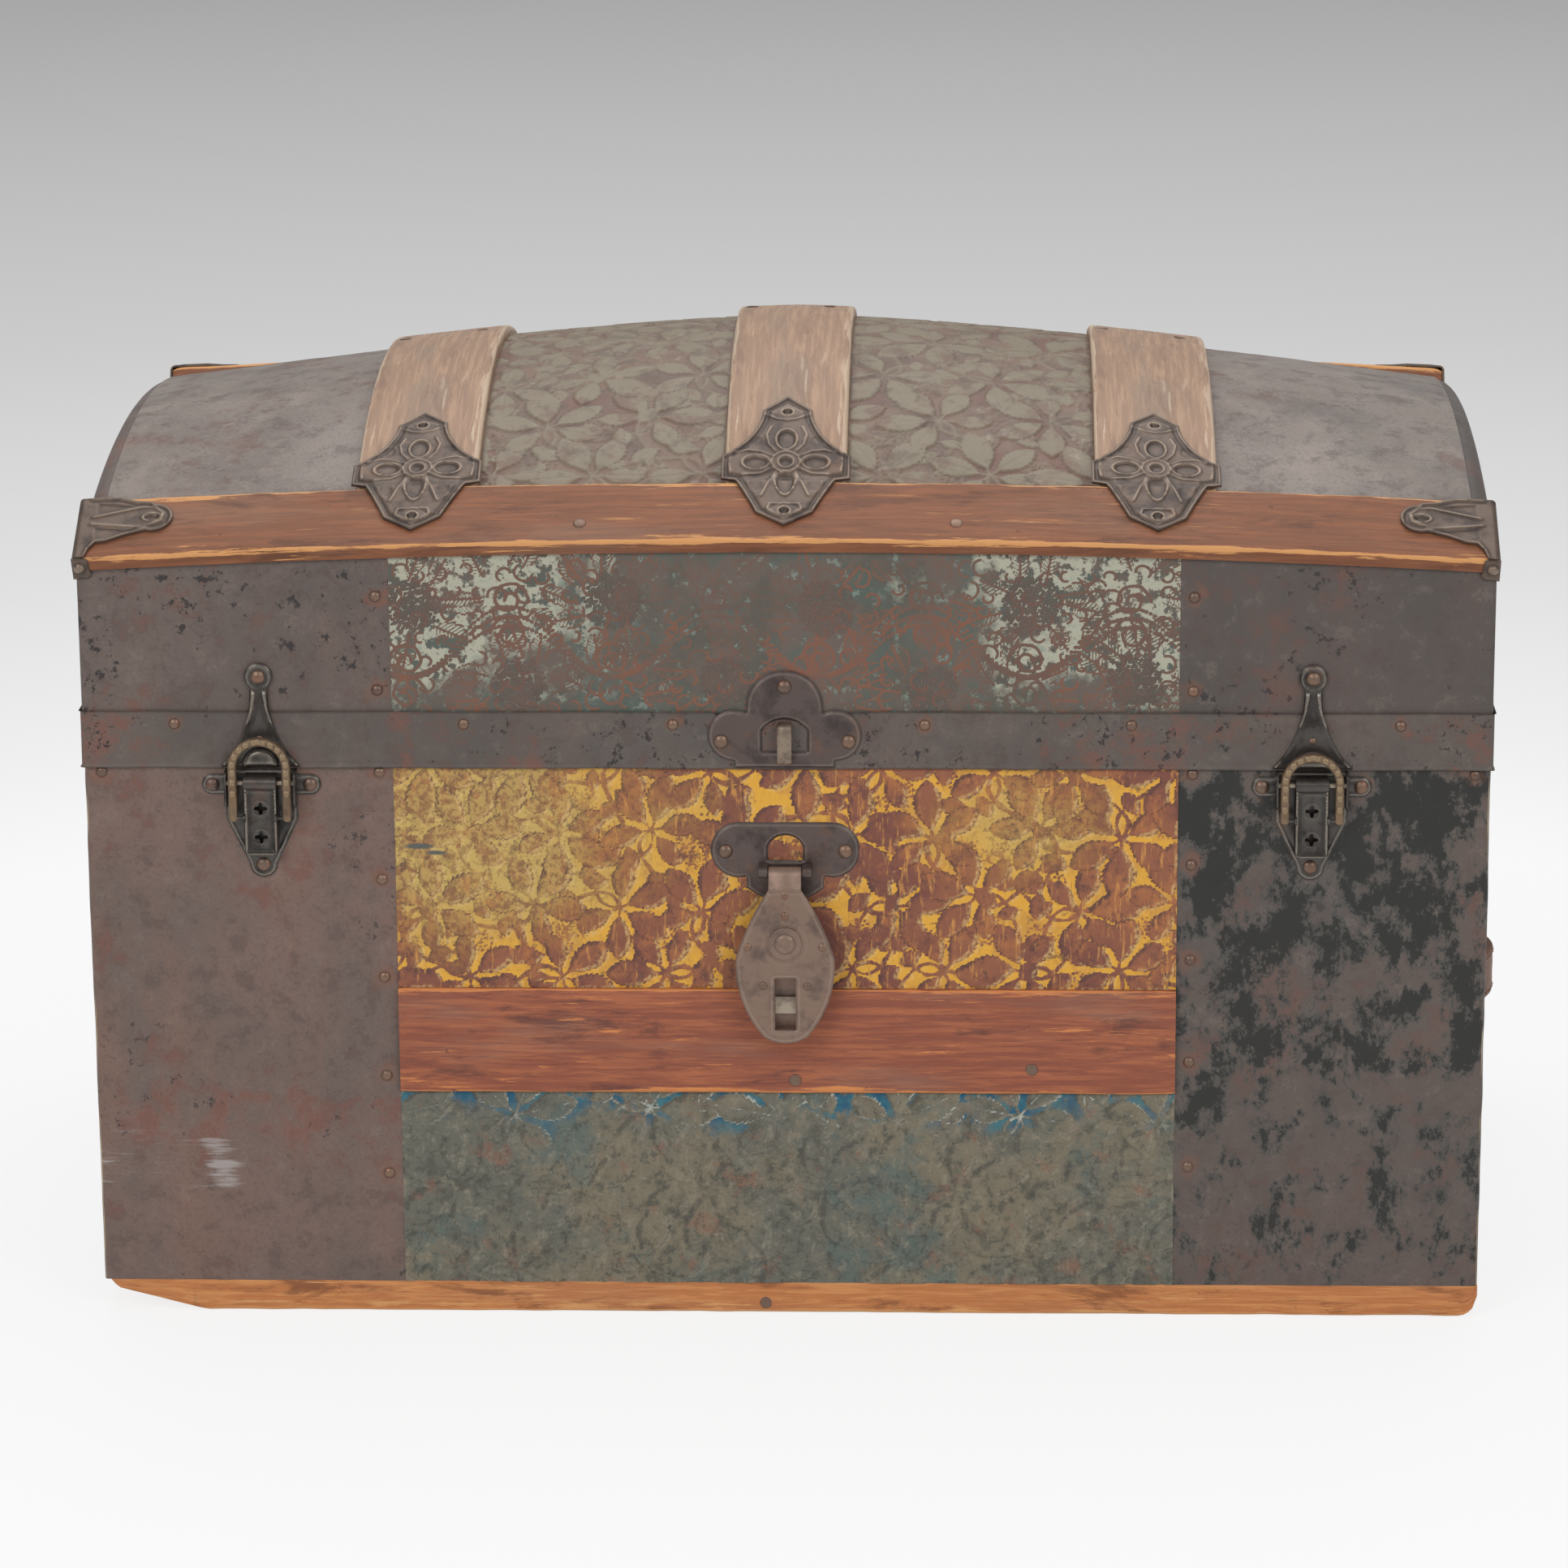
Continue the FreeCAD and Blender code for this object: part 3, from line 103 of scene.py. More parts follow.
# %% A recipe for finishes
def linear(colour):
    """A colour as a screen shows it, three numbers from 0 to 255, in the numbers that a shader takes."""
    return [c / 255 / 12.92 if c <= 10 else ((c / 255 + 0.055) / 1.055) ** 2.4 for c in colour]


class Finish:
    """A material that is built up one node at a time, with its colour so far."""

    def __init__(self, name, roughness=0.6, metallic=0.0):
        self.material = bpy.data.materials.new(name)
        self.material.use_nodes = True
        self.tree = self.material.node_tree
        self.shader = self.tree.nodes["Principled BSDF"]
        self.shader.inputs["Roughness"].default_value = roughness
        self.shader.inputs["Metallic"].default_value = metallic
        self.shader.inputs["Specular IOR Level"].default_value = 0.35
        self.colour = None

    def node(self, kind, **settings):
        node = self.tree.nodes.new(kind)
        for key, value in settings.items():
            setattr(node, key, value)
        return node

    def feed(self, socket, value):
        """Joins a socket to another one, or sets its value. A colour is given as a screen shows it."""
        if isinstance(value, bpy.types.NodeSocket):
            self.tree.links.new(value, socket)
        elif isinstance(value, tuple) and socket.type == "RGBA":
            socket.default_value = (*linear(value), 1.0)
        else:
            socket.default_value = value

    def place(self, stretch=(1, 1, 1), source=None):
        """Object coordinates, or a vector attribute, stretched."""
        if source:
            vector = self.node("ShaderNodeAttribute", attribute_name=source).outputs["Vector"]
        else:
            vector = self.node("ShaderNodeTexCoord").outputs["Object"]
        mapping = self.node("ShaderNodeMapping")
        self.feed(mapping.inputs["Vector"], vector)
        mapping.inputs["Scale"].default_value = stretch
        return mapping.outputs["Vector"]

    def noise(self, scale, detail=4.0, rough=0.6, warp=0.0, at=None):
        node = self.node("ShaderNodeTexNoise")
        self.feed(node.inputs["Vector"], at or self.place())
        for key, value in (("Scale", scale), ("Detail", detail), ("Roughness", rough), ("Distortion", warp)):
            node.inputs[key].default_value = value
        return node.outputs["Fac"]

    def cells(self, scale):
        node = self.node("ShaderNodeTexVoronoi")
        self.feed(node.inputs["Vector"], self.place())
        node.inputs["Scale"].default_value = scale
        return node.outputs["Distance"]

    def mask(self, name):
        return self.node("ShaderNodeAttribute", attribute_name=name).outputs["Fac"]

    def axis(self, letter):
        split = self.node("ShaderNodeSeparateXYZ")
        self.feed(split.inputs[0], self.place())
        return split.outputs[letter]

    def band(self, value, low, high, smooth=True):
        """Zero at low, one at high, and a soft step between them."""
        node = self.node("ShaderNodeMapRange", interpolation_type="SMOOTHSTEP" if smooth else "LINEAR")
        node.clamp = True
        self.feed(node.inputs["Value"], value)
        node.inputs["From Min"].default_value = low
        node.inputs["From Max"].default_value = high
        return node.outputs["Result"]

    def sum(self, first, second, kind="ADD"):
        node = self.node("ShaderNodeMath", operation=kind)
        self.feed(node.inputs[0], first)
        self.feed(node.inputs[1], second)
        return node.outputs[0]

    def both(self, first, second):
        return self.sum(first, second, "MULTIPLY")

    def over(self, under, layer, share):
        """A colour layer over another one, where share is one."""
        node = self.node("ShaderNodeMix", data_type="RGBA")
        self.feed(node.inputs[0], share)
        self.feed(node.inputs[6], under)
        self.feed(node.inputs[7], layer)
        return node.outputs[2]

    def coat(self, layer, value, low=None, high=None, share=None):
        """One more layer over the colour so far: where value is one, or where it goes from low to high."""
        if low is not None:
            value = self.band(value, low, high)
        if share is not None:
            value = self.both(value, share)
        self.colour = self.over(self.colour, layer, value)

    def done(self, roughness=None, bump=None, depth=0.3 * mm):
        self.feed(self.shader.inputs["Base Color"], self.colour)
        if roughness is not None:
            self.feed(self.shader.inputs["Roughness"], roughness)
        if bump is not None:
            node = self.node("ShaderNodeBump")
            node.inputs["Distance"].default_value = depth
            self.feed(node.inputs["Height"], bump)
            self.tree.links.new(node.outputs["Normal"], self.shader.inputs["Normal"])
        return self.material


def make_floor():
    floor = Finish("floor", roughness=0.9)
    out = floor.tree.nodes["Material Output"]
    far = floor.node("ShaderNodeVectorMath", operation="LENGTH")
    floor.feed(far.inputs[0], floor.place())
    grey = floor.node("ShaderNodeValToRGB")
    floor.feed(grey.inputs["Fac"], floor.band(far.outputs["Value"], 0.0, 6.0, smooth=False))
    stops = ((0.15, 1.0), (0.2, 0.90), (0.29, 0.77), (0.47, 0.62), (0.92, 0.40))
    while len(grey.color_ramp.elements) < len(stops):
        grey.color_ramp.elements.new(0.5)
    for element, (place, level) in zip(grey.color_ramp.elements, stops):
        element.position = place
        element.color = (level, level, level, 1)
    floor.shader.inputs["Base Color"].default_value = (0.8, 0.8, 0.8, 1)
    glow = floor.node("ShaderNodeEmission")
    floor.feed(glow.inputs["Color"], grey.outputs["Color"])
    path = floor.node("ShaderNodeLightPath")
    seen = floor.sum(path.outputs["Is Camera Ray"], path.outputs["Is Glossy Ray"], "MAXIMUM")
    seen = floor.sum(seen, path.outputs["Is Transmission Ray"], "MAXIMUM")
    mix = floor.node("ShaderNodeMixShader")
    floor.feed(mix.inputs[0], floor.both(seen, 0.82))
    floor.tree.links.new(floor.shader.outputs[0], mix.inputs[1])
    floor.tree.links.new(glow.outputs[0], mix.inputs[2])
    floor.tree.links.new(mix.outputs[0], out.inputs["Surface"])

    bpy.ops.mesh.primitive_circle_add(vertices=96, radius=12.0, fill_type="NGON", location=(0, 0, -0.0005))
    disc = bpy.context.object
    disc.name = "floor"
    disc.data.materials.append(floor.material)


make_floor()
print("camera at", tuple(round(v, 3) for v in scene.camera.location))

# %% Helpers for meshes
def keep_real(verts, faces):
    """The faces that have some area. A face without any can show as a line in a render."""
    verts, kept = np.asarray(verts, float), []
    sizes = np.array([len(face) for face in faces])
    for size in np.unique(sizes):
        same = np.array([face for face in faces if len(face) == size])
        corners = verts[same]
        fan = np.cross(corners[:, 1:-1] - corners[:, :1], corners[:, 2:] - corners[:, :1]).sum(1)
        kept += [tuple(int(i) for i in face) for face in same[np.linalg.norm(fan, axis=1) > 1e-11]]
    return kept


def box_mm(name):
    """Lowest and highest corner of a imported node, in millimetres."""
    return tuple(np.array(corner) * 1000 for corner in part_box(name))


def settle(name, mesh, body, slot, *replaced):
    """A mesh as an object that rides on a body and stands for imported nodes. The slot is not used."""
    piece = bpy.data.objects.new(name, mesh)
    scene.collection.objects.link(piece)
    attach(piece, body)
    if replaced:
        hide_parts(*replaced)
    return piece


def add_piece(name, verts, faces, material, body, slot, *replaced):
    """A smooth piece from points in metres and faces."""
    mesh = bpy.data.meshes.new(name)
    mesh.from_pydata([tuple(v) for v in verts], [], keep_real(verts, faces))
    mesh.update()
    mesh.materials.append(material)
    mesh.shade_smooth()
    return settle(name, mesh, body, slot, *replaced)


def grid_faces(rows, cols, closed=False):
    """Quads of a grid of points. Closed joins the last column to the first."""
    across = cols if closed else cols - 1
    start = np.arange(rows - 1)[:, None] * cols + np.arange(across)[None, :]
    right = np.arange(rows - 1)[:, None] * cols + (np.arange(across)[None, :] + 1) % cols
    return np.stack([start, right, right + cols, start + cols], -1).reshape(-1, 4)


def add_grid(name, points, material, body, slot, masks, *replaced, flip=False):
    """A piece from an array of points, rows by columns by three, with its masks as attributes."""
    rows, cols = points.shape[:2]
    faces = grid_faces(rows, cols)
    corners = points.reshape(-1, 3)[faces]
    spread = np.cross(corners[:, 2] - corners[:, 0], corners[:, 3] - corners[:, 1])
    faces = faces[np.linalg.norm(spread, axis=1) > 1e-11]
    if flip:
        faces = faces[:, ::-1]
    mesh = bpy.data.meshes.new(name)
    mesh.vertices.add(rows * cols)
    mesh.vertices.foreach_set("co", points.reshape(-1).astype(np.float32))
    mesh.loops.add(faces.size)
    mesh.loops.foreach_set("vertex_index", faces.reshape(-1).astype(np.int32))
    mesh.polygons.add(len(faces))
    mesh.polygons.foreach_set("loop_start", np.arange(0, faces.size, 4, dtype=np.int32))
    mesh.update(calc_edges=True)
    mesh.validate()
    for key, values in masks.items():
        attribute = mesh.attributes.new(key, "FLOAT", "POINT")
        attribute.data.foreach_set("value", values.reshape(-1).astype(np.float32))
    mesh.shade_smooth()
    mesh.materials.append(material)
    return settle(name, mesh, body, slot, *replaced)


def soft_step(value, low, high):
    share = np.clip((value - low) / (high - low), 0.0, 1.0)
    return share * share * (3 - 2 * share)


def lumps(x, z, size, seed, octaves=3):
    """Smooth seeded noise, about -1 to 1, over arrays of places. Size is the width of a lump."""
    random = np.random.default_rng(seed)
    total = np.zeros(np.broadcast(x, z).shape)
    weight = 0.0
    for octave in range(octaves):
        for _ in range(7):
            angle, phase = random.uniform(0, 2 * math.pi, 2)
            wave = 2 * math.pi / (size / 2 ** octave) * random.uniform(0.6, 1.4)
            total += np.sin((x * math.cos(angle) + z * math.sin(angle)) * wave + phase) / 1.8 ** octave
        weight += 7 ** 0.5 / 1.8 ** octave
    return total / weight


print("helpers ready")

# %% [markdown]
# The embossed tin was rolled between two steel dies, one cut with bramble sprays and one with scrolls.
# A die is a height over a flat strip, so it can be made as an array: each leaf, stem and bead raises the
# array inside a small window. The array is then laid on the front or bent round the dome. The same
# windows also fill paint masks, because the paint stayed on the ground and wore off what stands up.

# %% Dies as height fields
class Die:
    """Heights in millimetres over a strip, with masks for leaf, rib, stem, bead and outline."""

    def __init__(self, low, high, pitch=0.9):
        cols = int(round((high[0] - low[0]) / pitch)) + 1
        rows = int(round((high[1] - low[1]) / pitch)) + 1
        self.low = low
        self.high = high
        self.x, self.z = np.meshgrid(np.linspace(low[0], high[0], cols), np.linspace(low[1], high[1], rows))
        self.step = ((high[0] - low[0]) / (cols - 1), (high[1] - low[1]) / (rows - 1))
        self.height = np.zeros((rows, cols))
        self.leaf, self.rib, self.stem, self.bead, self.edge = (np.zeros((rows, cols)) for _ in range(5))
        self.stain = np.zeros((rows, cols))

    def window(self, x, z, reach):
        """Slices of the array round a place, and distances from it."""
        rows, cols = self.height.shape
        left, right = (int((x + side * reach - self.low[0]) / self.step[0]) for side in (-1, 1))
        down, up = (int((z + side * reach - self.low[1]) / self.step[1]) for side in (-1, 1))
        part = (slice(max(down, 0), min(up + 2, rows)), slice(max(left, 0), min(right + 2, cols)))
        return part, self.x[part] - x, self.z[part] - z

    def put_leaf(self, x, z, angle, length, width, lift=0.75, teeth=9, outline_only=False):
        """A serrated leaf that starts at a place and points along an angle in degrees."""
        part, dx, dz = self.window(x, z, length * 1.05)
        if not dx.size:
            return
        turn = math.radians(angle)
        along = (dx * math.cos(turn) + dz * math.sin(turn)) / length
        across = (dz * math.cos(turn) - dx * math.sin(turn)) / (width / 2)
        reach = np.clip(along, 0.0, 1.0)
        outline = np.sin(math.pi * reach ** 1.12) ** 0.8 * (1 + 0.2 * ((reach * teeth + 0.5) % 1 - 0.5))
        rim = np.abs(across) / np.maximum(outline, 1e-3)
        inside = (1 - soft_step(rim, 0.9, 1.02)) * (along > 0) * (along < 1)
        border = np.exp(-((rim - 0.93) / 0.09) ** 2) * (along > 0.02) * (along < 0.99)
        middle = np.exp(-(across * width / 2 / 0.55) ** 2) * inside
        veins = 0.5 + 0.5 * np.cos(2 * math.pi * (along * length - np.abs(across) * width * 0.32) / 2.3)
        if outline_only:
            body = 0.4 * border + 0.22 * veins * inside + 0.3 * middle
        else:
            body = inside * (0.72 + 0.28 * (1 - np.clip(np.abs(across), 0, 1) ** 2)) - 0.3 * middle
            body += 0.16 * veins * inside * (1 - middle)
        self.height[part] = np.where(inside + border > 0.3, np.maximum(body * lift, 0), self.height[part])
        self.leaf[part] = np.maximum(self.leaf[part] * (1 - inside), inside)
        self.rib[part] = np.maximum(self.rib[part] * (1 - inside), np.maximum(middle, veins * inside * 0.55))
        self.edge[part] = np.maximum(self.edge[part] * (1 - inside), border)
        self.stem[part] *= 1 - inside

    def put_stem(self, points, width=1.5, lift=0.6):
        """A raised line along a smooth path through four control points."""
        share = np.linspace(0, 1, 26)[:, None]
        a, b, c, d = (np.array(point, float) for point in points)
        path = (1 - share) ** 3 * a + 3 * share * (1 - share) ** 2 * b + 3 * share ** 2 * (1 - share) * c
        path = path + share ** 3 * d
        for x, z in path:
            part, dx, dz = self.window(x, z, width * 2.2)
            ridge = np.exp(-(dx * dx + dz * dz) / (width * 0.75) ** 2)
            self.height[part] = np.maximum(self.height[part], lift * ridge)
            self.stem[part] = np.maximum(self.stem[part], ridge)

    def put_berries(self, x, z, radius, bead=1.35, lift=0.6, seed=0):
        """A round cluster of beads in loose staggered rows."""
        random = np.random.default_rng(seed)
        rows = int(radius / (bead * 1.75)) + 1
        turn = random.uniform(0, math.pi)
        for row in range(-rows, rows + 1):
            for col in range(-rows - 1, rows + 2):
                across = (col + 0.5 * (row % 2)) * bead * 2.05 + random.normal(0, 0.3)
                along = row * bead * 1.78 + random.normal(0, 0.3)
                if math.hypot(across, along) > radius * random.uniform(0.85, 1.05):
                    continue
                bx = across * math.cos(turn) - along * math.sin(turn)
                bz = across * math.sin(turn) + along * math.cos(turn)
                size = bead * random.uniform(0.85, 1.1)
                part, dx, dz = self.window(x + bx, z + bz, size * 1.4)
                ball = np.clip(1 - (dx * dx + dz * dz) / size ** 2, 0, 1) ** 0.5
                self.height[part] = np.maximum(self.height[part], lift * ball)
                self.bead[part] = np.maximum(self.bead[part], ball)

    def slant(self, reach=2):
        """How steeply the embossing rises to the right, from -1 to 1: the finishes use it for painted shade
        on one side of a leaf and a painted highlight on the other.
        """
        soft = self.height
        for axis in (0, 1):
            soft = sum(np.roll(soft, step, axis) for step in range(-reach, reach + 1)) / (2 * reach + 1)
        steep = np.gradient(soft, axis=1) - 0.5 * np.gradient(soft, axis=0)
        return np.clip(steep / 0.12, -1, 1)


def bramble(die, seed, spacing=60.0, rise=46.0, scale=1.0):
    """Sprays of five separate leaflets on a loose staggered grid, with stems, berries and small leaves."""
    random = np.random.default_rng(seed)
    cols = int((die.high[0] - die.low[0]) / spacing) + 2
    rows = int((die.high[1] - die.low[1]) / rise) + 2
    sprays = []
    for row in range(rows):
        for col in range(cols):
            x = die.low[0] + (col - 0.1 + 0.5 * (row % 2)) * spacing + random.uniform(-6, 6)
            z = die.low[1] + (row + 0.25) * rise + random.uniform(-5, 5)
            sprays.append((x, z, random.uniform(0, 360)))
    for x, z, aim in sprays:
        for side in (-1, 1):
            turn = math.radians(aim + side * 110 + random.uniform(-15, 15))
            far = spacing * 0.5
            die.put_berries(x + far * math.cos(turn), z + far * math.sin(turn) * 0.8,
                            random.uniform(8, 12) * scale, seed=int(random.integers(1 << 30)))
    for x, z, aim in sprays:
        for bend in (-34, 38):
            turn = math.radians(aim + 180 + bend)
            end = (x + spacing * 0.72 * math.cos(turn), z + spacing * 0.72 * math.sin(turn))
            way = math.radians(aim + 180 - bend)
            knee = (x + 18 * math.cos(way), z + 18 * math.sin(way))
            middle = ((knee[0] + end[0]) / 2, (knee[1] + end[1]) / 2)
            die.put_stem([(x, z), knee, middle, end], width=1.7, lift=0.7)
            for share, side in ((0.45, 70), (0.7, -65), (1.0, 0)):
                place = (x + (end[0] - x) * share, z + (end[1] - z) * share)
                size = random.uniform(14, 20) * scale
                die.put_leaf(*place, math.degrees(turn) + side, size, size * 0.66, lift=0.6, teeth=6)
    leaflets = ((122, 26, 15), (-122, 26, 15), (61, 31, 17.5), (-61, 31, 17.5), (0, 35, 20))
    for x, z, aim in sprays:
        for angle, length, width in leaflets:
            grow = random.uniform(0.9, 1.12) * scale
            way = math.radians(aim + angle)
            start = (x + 5.5 * scale * math.cos(way), z + 5.5 * scale * math.sin(way))
            die.put_stem([(x, z), (x, z), start, start], width=1.2, lift=0.6)
            die.put_leaf(*start, aim + angle + random.uniform(-6, 6), length * grow, width * grow)


def die_masks(die, **more):
    """The die's masks by name, for a finish to use."""
    # The slant mask carries painted shade and painted highlight on the sides of the raised shapes.
    return {"leaf": die.leaf, "rib": die.rib, "stem": die.stem, "bead": die.bead, "edge": die.edge,
            "slant": die.slant(), **more}


def panel_on_front(name, die, material, slot, replaced, bulge=0.35, seed=0):
    """Lays a die on the front of the case, with the shallow dents of thin tin."""
    face = -box_mm(replaced)[0][1]
    dents = bulge * lumps(die.x, die.z, 90.0, seed)
    points = np.stack([die.x, -face - np.clip(die.height + dents, 0.0, None), die.z], -1) * mm
    add_grid(name, points, material, "case", slot, die_masks(die, stain=die.stain), replaced)


print("dies ready")

# %% [markdown]
# The front panel above the slat still has most of its yellow: the ground between the leaves is bright,
# the leaves are rubbed down to brown metal, and the paint has gone dull at the upper left. Each leaf also
# has painted shade on one side and a painted highlight on the other. The lower panel had a blue ground
# with white stems, which is left only along its top edge, and the white keeps to the lit side of the
# ridges as a painted highlight; below it is grey with damp rust, with painted shade and highlight on the
# sides of the relief. Both finishes start from the die's masks.

# %% Embossed panels on the case
def yellow_finish():
    tin = Finish("yellow_tin", roughness=0.55)
    fine = tin.noise(420.0, detail=6.0, rough=0.7)
    fibre = tin.noise(150.0, detail=5.0, rough=0.75, at=tin.place(stretch=(2.4, 1.0, 0.35)))
    patch = tin.noise(46.0, detail=8.0, rough=0.72, warp=0.5)
    broad = tin.noise(13.0, detail=4.0)

    def near(spot, stretch, ragged, low, high):
        """One round a spot of the panel and zero away from it, with a ragged edge."""
        far = tin.node("ShaderNodeVectorMath", operation="DISTANCE")
        tin.feed(far.inputs[0], tin.place(stretch=stretch))
        far.inputs[1].default_value = spot
        return tin.band(tin.sum(far.outputs["Value"], tin.both(tin.sum(broad, -0.5), ragged)), low, high)
    faded = near((-0.107, 0.0, 0.295), (0.62, 0.0, 1.0), -0.12, 0.085, 0.025)
    again = near((0.104, 0.0, 0.299), (0.8, 0.0, 1.0), -0.1, 0.05, 0.015)
    faded = tin.sum(faded, tin.both(again, 0.7), "MAXIMUM")
    ground = tin.over((222, 166, 62), (204, 150, 66), tin.band(patch, 0.45, 0.6))
    ground = tin.over(ground, (196, 166, 96), faded)
    ground = tin.over(ground, (160, 104, 62), tin.both(tin.band(fibre, 0.56, 0.7), 0.6))
    ragged = tin.noise(120.0, detail=7.0, rough=0.75)
    leaf = tin.over((146, 92, 68), (124, 76, 64), tin.band(broad, 0.4, 0.6))
    leaf = tin.over(leaf, (172, 110, 68), tin.both(tin.band(patch, 0.5, 0.62), 0.7))
    leaf = tin.over(leaf, (98, 64, 58), tin.both(tin.band(ragged, 0.52, 0.62), 0.6))
    # Painted shade: a dark band where the slant mask says the relief rises to the right.
    painted_shade_side = tin.band(tin.sum(tin.mask("slant"), tin.both(tin.sum(ragged, -0.5), 2.2)), 0.45, 1.1)
    leaf = tin.over(leaf, (88, 60, 57), tin.both(painted_shade_side, 0.75))
    leaf = tin.over(leaf, (206, 146, 78), tin.both(tin.band(fibre, 0.55, 0.66), 0.8))
    cover = tin.sum(tin.mask("leaf"), tin.mask("stem"), "MAXIMUM")
    speckle = tin.band(tin.noise(260.0, detail=3.0, rough=0.7), 0.42, 0.56)
    beads = tin.sum(tin.mask("bead"), tin.both(tin.sum(fine, -0.5), 1.2))
    cover = tin.sum(cover, tin.both(tin.band(beads, 0.35, 0.75), speckle), "MAXIMUM")
    worn = tin.sum(tin.both(tin.sum(patch, -0.47), 1.5), tin.both(tin.sum(ragged, -0.5), 1.9))
    cover = tin.sum(cover, worn)
    dulled = tin.sum(1.0, tin.both(faded, tin.sum(tin.both(speckle, 0.5), 0.25)), "SUBTRACT")
    tin.colour = ground
    tin.coat(leaf, cover, 0.3, 0.5, dulled)
    tin.coat((150, 100, 62), fine, 0.6, 0.68, 0.45)
    dotted = tin.both(faded, tin.band(tin.noise(300.0, detail=3.0, rough=0.65), 0.52, 0.6))
    tin.coat((122, 88, 60), tin.both(dotted, 0.55))
    rim = tin.both(tin.band(tin.mask("edge"), 0.3, 0.8), tin.band(patch, 0.36, 0.52))
    tin.coat((86, 58, 54), tin.both(rim, 0.7))
    # Painted highlight: a cream tone on the side where the slant mask says the relief falls to the right.
    lit = tin.both(tin.band(tin.mask("slant"), -0.25, -0.7), tin.band(fine, 0.4, 0.6))
    tin.coat((222, 188, 126), tin.both(lit, 0.55))
    spots = tin.band(tin.noise(85.0, detail=5.0, rough=0.7), 0.6, 0.68)
    tin.coat((94, 68, 60), tin.both(spots, 0.7))
    tin.coat((92, 92, 88), tin.sum(tin.mask("stain"), tin.both(fine, 0.4)), 0.5, 0.9)
    return tin.done(tin.sum(tin.both(fine, 0.3), 0.42), tin.sum(fine, patch), depth=0.3 * mm)


def grey_finish():
    tin = Finish("grey_tin", roughness=0.5)
    fine = tin.noise(420.0, detail=6.0, rough=0.7)
    patch = tin.noise(70.0, detail=8.0, rough=0.74, warp=0.4)
    broad = tin.noise(15.0, detail=4.0)
    tin.colour = (122, 114, 96)
    tin.coat((104, 104, 94), broad, 0.4, 0.6)
    tin.coat((84, 82, 72), patch, 0.5, 0.64, 0.85)
    tin.coat((142, 132, 112), patch, 0.46, 0.34, 0.5)
    rust = tin.band(tin.noise(44.0, detail=6.0, rough=0.7), 0.56, 0.66)
    tin.coat((132, 92, 74), tin.both(rust, 0.6))
    cool = tin.band(tin.noise(24.0, detail=5.0, rough=0.7), 0.54, 0.66)
    tin.coat((88, 106, 102), tin.both(cool, 0.6))
    speck = tin.noise(190.0, detail=5.0, rough=0.75)
    # Painted shade on the side where the relief rises to the right, and a painted highlight on the other
    # side, both from the slant mask and broken by specks.
    dark = tin.band(tin.sum(tin.mask("slant"), tin.both(tin.sum(speck, -0.5), 2.4)), 0.5, 1.1)
    tin.coat((76, 74, 66), tin.both(dark, 0.6))
    shine = tin.band(tin.sum(tin.mask("slant"), tin.both(tin.sum(speck, -0.5), 2.4)), -0.6, -1.2)
    tin.coat((144, 138, 122), tin.both(shine, 0.5))
    tin.coat((72, 74, 68), speck, 0.54, 0.62, 0.6)
    tin.coat((146, 138, 120), speck, 0.44, 0.36, 0.45)
    ragged = tin.both(tin.sum(tin.noise(28.0, detail=5.0), -0.5), 0.07)
    top = tin.band(tin.sum(tin.axis("Z"), ragged), 0.114, 0.134)
    raised = tin.sum(tin.mask("leaf"), tin.mask("stem"), "MAXIMUM")
    hollow = tin.band(tin.sum(raised, tin.both(tin.sum(patch, -0.5), 1.0)), 0.6, 0.2)
    blue = tin.over((34, 88, 114), (60, 112, 122), tin.band(tin.noise(90.0, detail=5.0), 0.4, 0.6))
    kept = tin.band(tin.noise(55.0, detail=7.0, rough=0.7), 0.4, 0.5)
    tin.coat(blue, tin.both(top, tin.both(hollow, kept)))
    line = tin.sum(tin.both(tin.mask("stem"), 0.75), tin.both(tin.mask("edge"), 0.85), "MAXIMUM")
    line = tin.sum(line, tin.both(tin.mask("rib"), 0.6), "MAXIMUM")
    creased = tin.both(tin.band(tin.sum(line, tin.both(tin.sum(speck, -0.5), 1.8)), 0.35, 0.8), 0.5)
    tin.coat((72, 70, 62), creased)
    # White stem paint, kept only on the side that the slant mask calls lit, so it is partly paint and partly
    # a painted highlight; below the top edge the same white is fainter.
    lit = tin.both(tin.band(tin.sum(line, tin.both(tin.sum(speck, -0.5), 2.2)), 0.42, 0.8),
                   tin.band(tin.mask("slant"), 0.5, -0.2))
    tin.coat((186, 196, 190), tin.both(top, tin.both(lit, 0.85)))
    lower = tin.both(tin.band(tin.sum(tin.axis("Z"), ragged), 0.085, 0.12), tin.both(lit, 0.4))
    tin.coat((176, 172, 158), lower)
    return tin.done(tin.sum(tin.both(fine, 0.3), 0.4), tin.sum(fine, patch), depth=0.3 * mm)


def make_front_panels():
    low, high = box_mm("front_upper_panel")
    die = Die((-high[0], low[2]), (high[0], high[2]), pitch=0.92)
    bramble(die, seed=11, spacing=53.0, rise=41.0, scale=0.87)
    under_band = soft_step(die.z, 328.0, 331.5)
    die.height *= 1 - 0.8 * under_band
    scuffs = ((-211, 285, 10, 1.9), (-201, 281, 7, 1.4))
    die.stain = sum(np.exp(-((die.x - x) / wide) ** 2 - ((die.z - z) / tall) ** 2)
                    for x, z, wide, tall in scuffs)
    panel_on_front("front_upper_tin", die, yellow_finish(), "yellow_embossed_tin", "front_upper_panel")
    half = high[0]
    low, high = box_mm("front_lower_panel")
    die = Die((-half, low[2]), (half, high[2]), pitch=0.9)
    bramble(die, seed=29, spacing=74.0)
    die.height *= 0.95
    panel_on_front("front_lower_tin", die, grey_finish(), "grey_embossed_tin", "front_lower_panel", seed=5)


make_front_panels()

